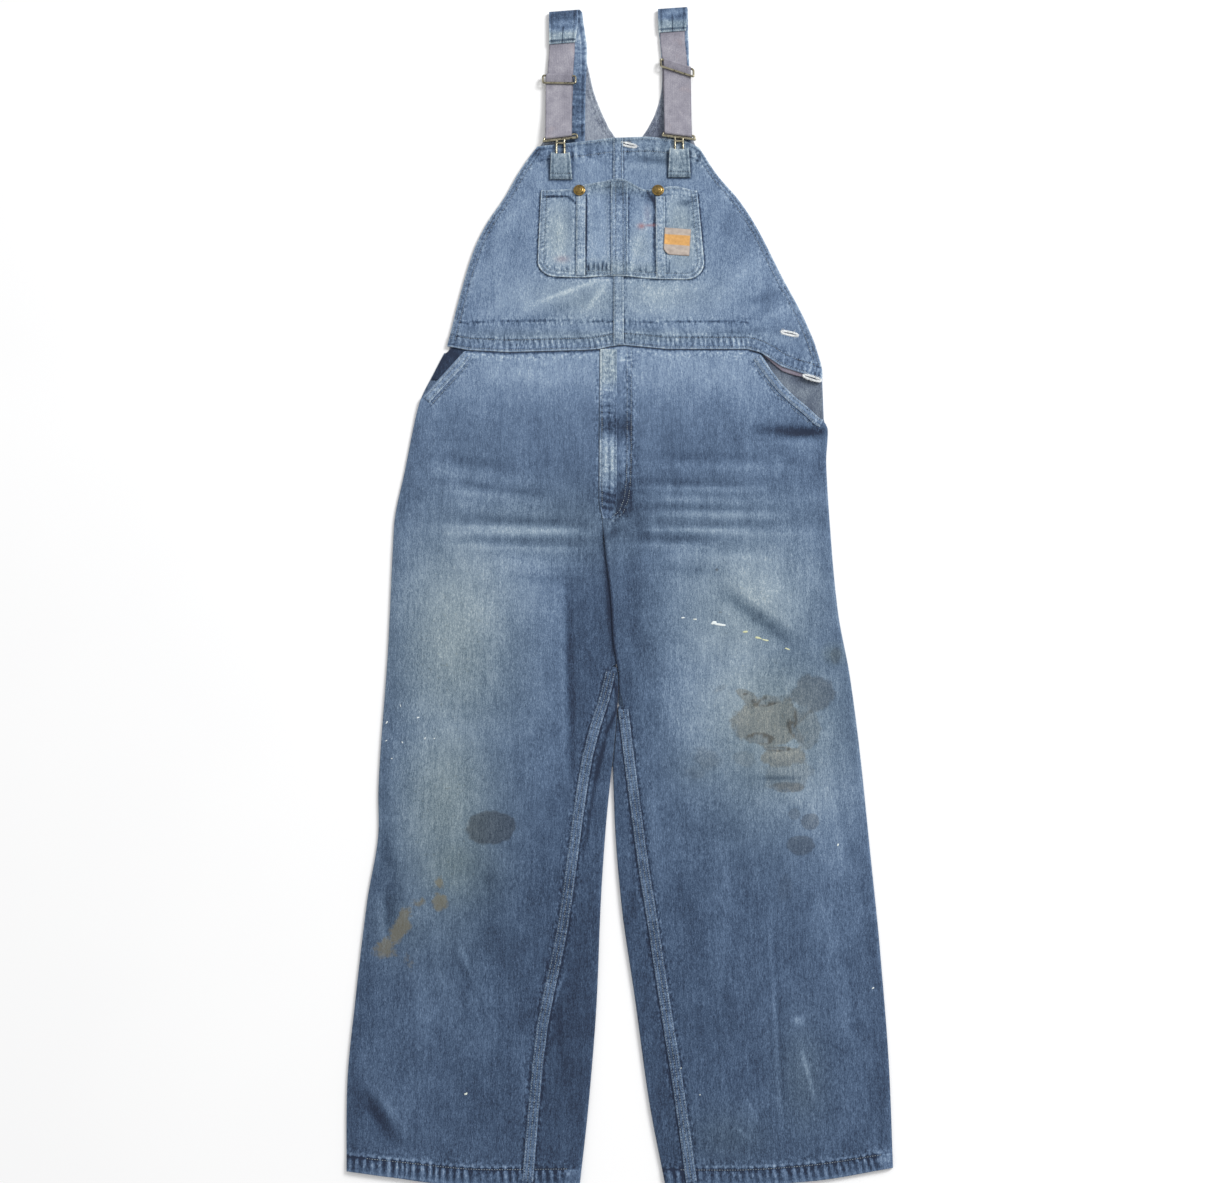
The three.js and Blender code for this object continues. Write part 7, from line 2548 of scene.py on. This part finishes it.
# ---- studio --------------------------------------------------------------------------------------
@dataclass(frozen=True)
class Studio:
    """Pale floor, soft light from the upper right, and the camera. Places and sizes are in metres."""

    camera_at: tuple[float, float, float] = (-0.019, -0.6225, 2.0521)
    tilt: float = 15.0
    lens: float = 48.0
    sensor: float = 36.0
    floor_half: float = 4.0
    sky: float = 0.74
    key_power: float = 260.0
    key_size: float = 2.0
    key_at: tuple[float, float, float] = (3.6, 2.6, 3.3)

    def make(self) -> None:
        """Set it all up."""
        scene = bpy.context.scene
        scene.view_settings.view_transform = "Standard"
        eye = bpy.data.cameras.new("camera")
        eye.lens, eye.sensor_width, eye.sensor_fit = self.lens, self.sensor, "HORIZONTAL"
        eye.dof.use_dof = False
        camera = bpy.data.objects.new("camera", eye)
        camera.location, camera.rotation_euler = self.camera_at, (math.radians(self.tilt), 0, 0)
        scene.collection.objects.link(camera)
        scene.camera = camera
        half = self.floor_half
        corners = [(-half, -half, 0), (half, -half, 0), (half, half, 0), (-half, half, 0)]
        plane = bpy.data.meshes.new("floor")
        plane.from_pydata(corners, [], [(0, 1, 2, 3)])
        plane.materials.append(Backdrop().material())
        floor = bpy.data.objects.new("floor", plane)
        scene.collection.objects.link(floor)
        lamp = bpy.data.lights.new("key", "AREA")
        lamp.size, lamp.energy = self.key_size, self.key_power
        key = bpy.data.objects.new("key", lamp)
        key.location = self.key_at
        reach = math.hypot(self.key_at[0], self.key_at[1])
        swing = math.atan2(self.key_at[1], self.key_at[0])
        key.rotation_euler = (0, math.atan2(reach, self.key_at[2]), swing)
        scene.collection.objects.link(key)
        world = bpy.data.worlds.new("soft sky")
        world.use_nodes = True
        world.node_tree.nodes["Background"].inputs["Color"].default_value = (1.0, 1.0, 1.0, 1.0)
        world.node_tree.nodes["Background"].inputs["Strength"].default_value = self.sky
        scene.world = world


@dataclass(frozen=True)
class Cut:
    """The flat cloth that shows of one piece, in metres, and what that piece lies on and carries."""

    piece: str
    flat: tuple[float, float]
    area: float
    rests_on: tuple[str, ...] = ()
    carries: tuple[str, ...] = ()
    held: str = "laid"

    def declare(self) -> None:
        """Look up the objects that the piece carries."""
        carried = [bpy.data.objects[name] for name in self.carries]
        list(self.rests_on)


CUTS = (
    Cut("left_leg_back", (0.42, 1.08), 0.336),
    Cut("right_leg_back", (0.44, 1.08), 0.349),
    Cut("back_panel", (0.503, 0.462), 0.140, (), ("neckline_stitching",)),
    Cut("left_leg_front", (0.333, 1.081), 0.276, ("left_leg_back",),
        ("left_inseam_fell", "left_pocket_edge", "left_leg_stitching", "paint_on_left_leg")),
    Cut("right_leg_front", (0.356, 1.088), 0.307, ("right_leg_back",),
        ("right_inseam_fell", "right_pocket_edge", "fly_strip", "right_leg_stitching",
         "paint_on_right_leg")),
    Cut("left_pocket_inside", (0.057, 0.048), 0.0022, ("left_leg_back",)),
    Cut("right_pocket_inside", (0.095, 0.098), 0.0063, ("right_leg_back",)),
    Cut("left_bib", (0.236, 0.33), 0.061, ("back_panel",), ("left_bib_stitching", "centre_fell")),
    Cut("right_bib", (0.278, 0.373), 0.067, ("back_panel",),
        ("right_bib_stitching", "buttonhole_stitching", "buttonhole_fibres", "buttonhole_slits")),
    Cut("flap_facing", (0.068, 0.0125), 0.0008, ("right_leg_front",)),
    Cut("pocket", (0.232, 0.156), 0.0322, ("left_bib", "right_bib"),
        ("pocket_rib_left", "pocket_rib_centre", "pocket_rib_right", "pocket_stitching", "cap_left",
         "cap_right")),
    Cut("blank_label", (0.0365, 0.041), 0.00149, ("pocket",)),
    Cut("left_brace", (0.048, 0.3), 0.0126, ("back_panel",), ("left_brace_stitching",), "folded"),
    Cut("right_brace", (0.0435, 0.285), 0.0112, ("back_panel",), ("right_brace_stitching",), "folded"),
    Cut("left_webbing", (0.038, 0.282), 0.0107, ("left_brace",), ("left_slide",), "folded"),
    Cut("right_webbing", (0.038, 0.311), 0.0118, ("right_brace",), ("right_slide",), "folded"),
    Cut("left_tab_loop", (0.0315, 0.086), 0.0023, ("left_bib",), ("left_tab_stitching",), "folded"),
    Cut("right_tab_loop", (0.032, 0.094), 0.0026, ("right_bib",), ("right_tab_stitching",), "folded"),
)


def main() -> None:
    """Build the dungarees in order, then the studio."""
    logging.basicConfig(level=logging.INFO, format="%(message)s", stream=sys.stdout)
    finishes = Finishes.mixed()
    stitches = StitchTree()
    trousers = Trousers(finishes, stitches)
    trousers.make()
    Bib(finishes, stitches).make()
    for size in (LEFT_BRACE, RIGHT_BRACE):
        Brace(size, finishes, stitches).make()
    spatter(trousers, finishes)
    for cut in CUTS:
        cut.declare()
    Studio().make()


if __name__ == "__main__":
    main()
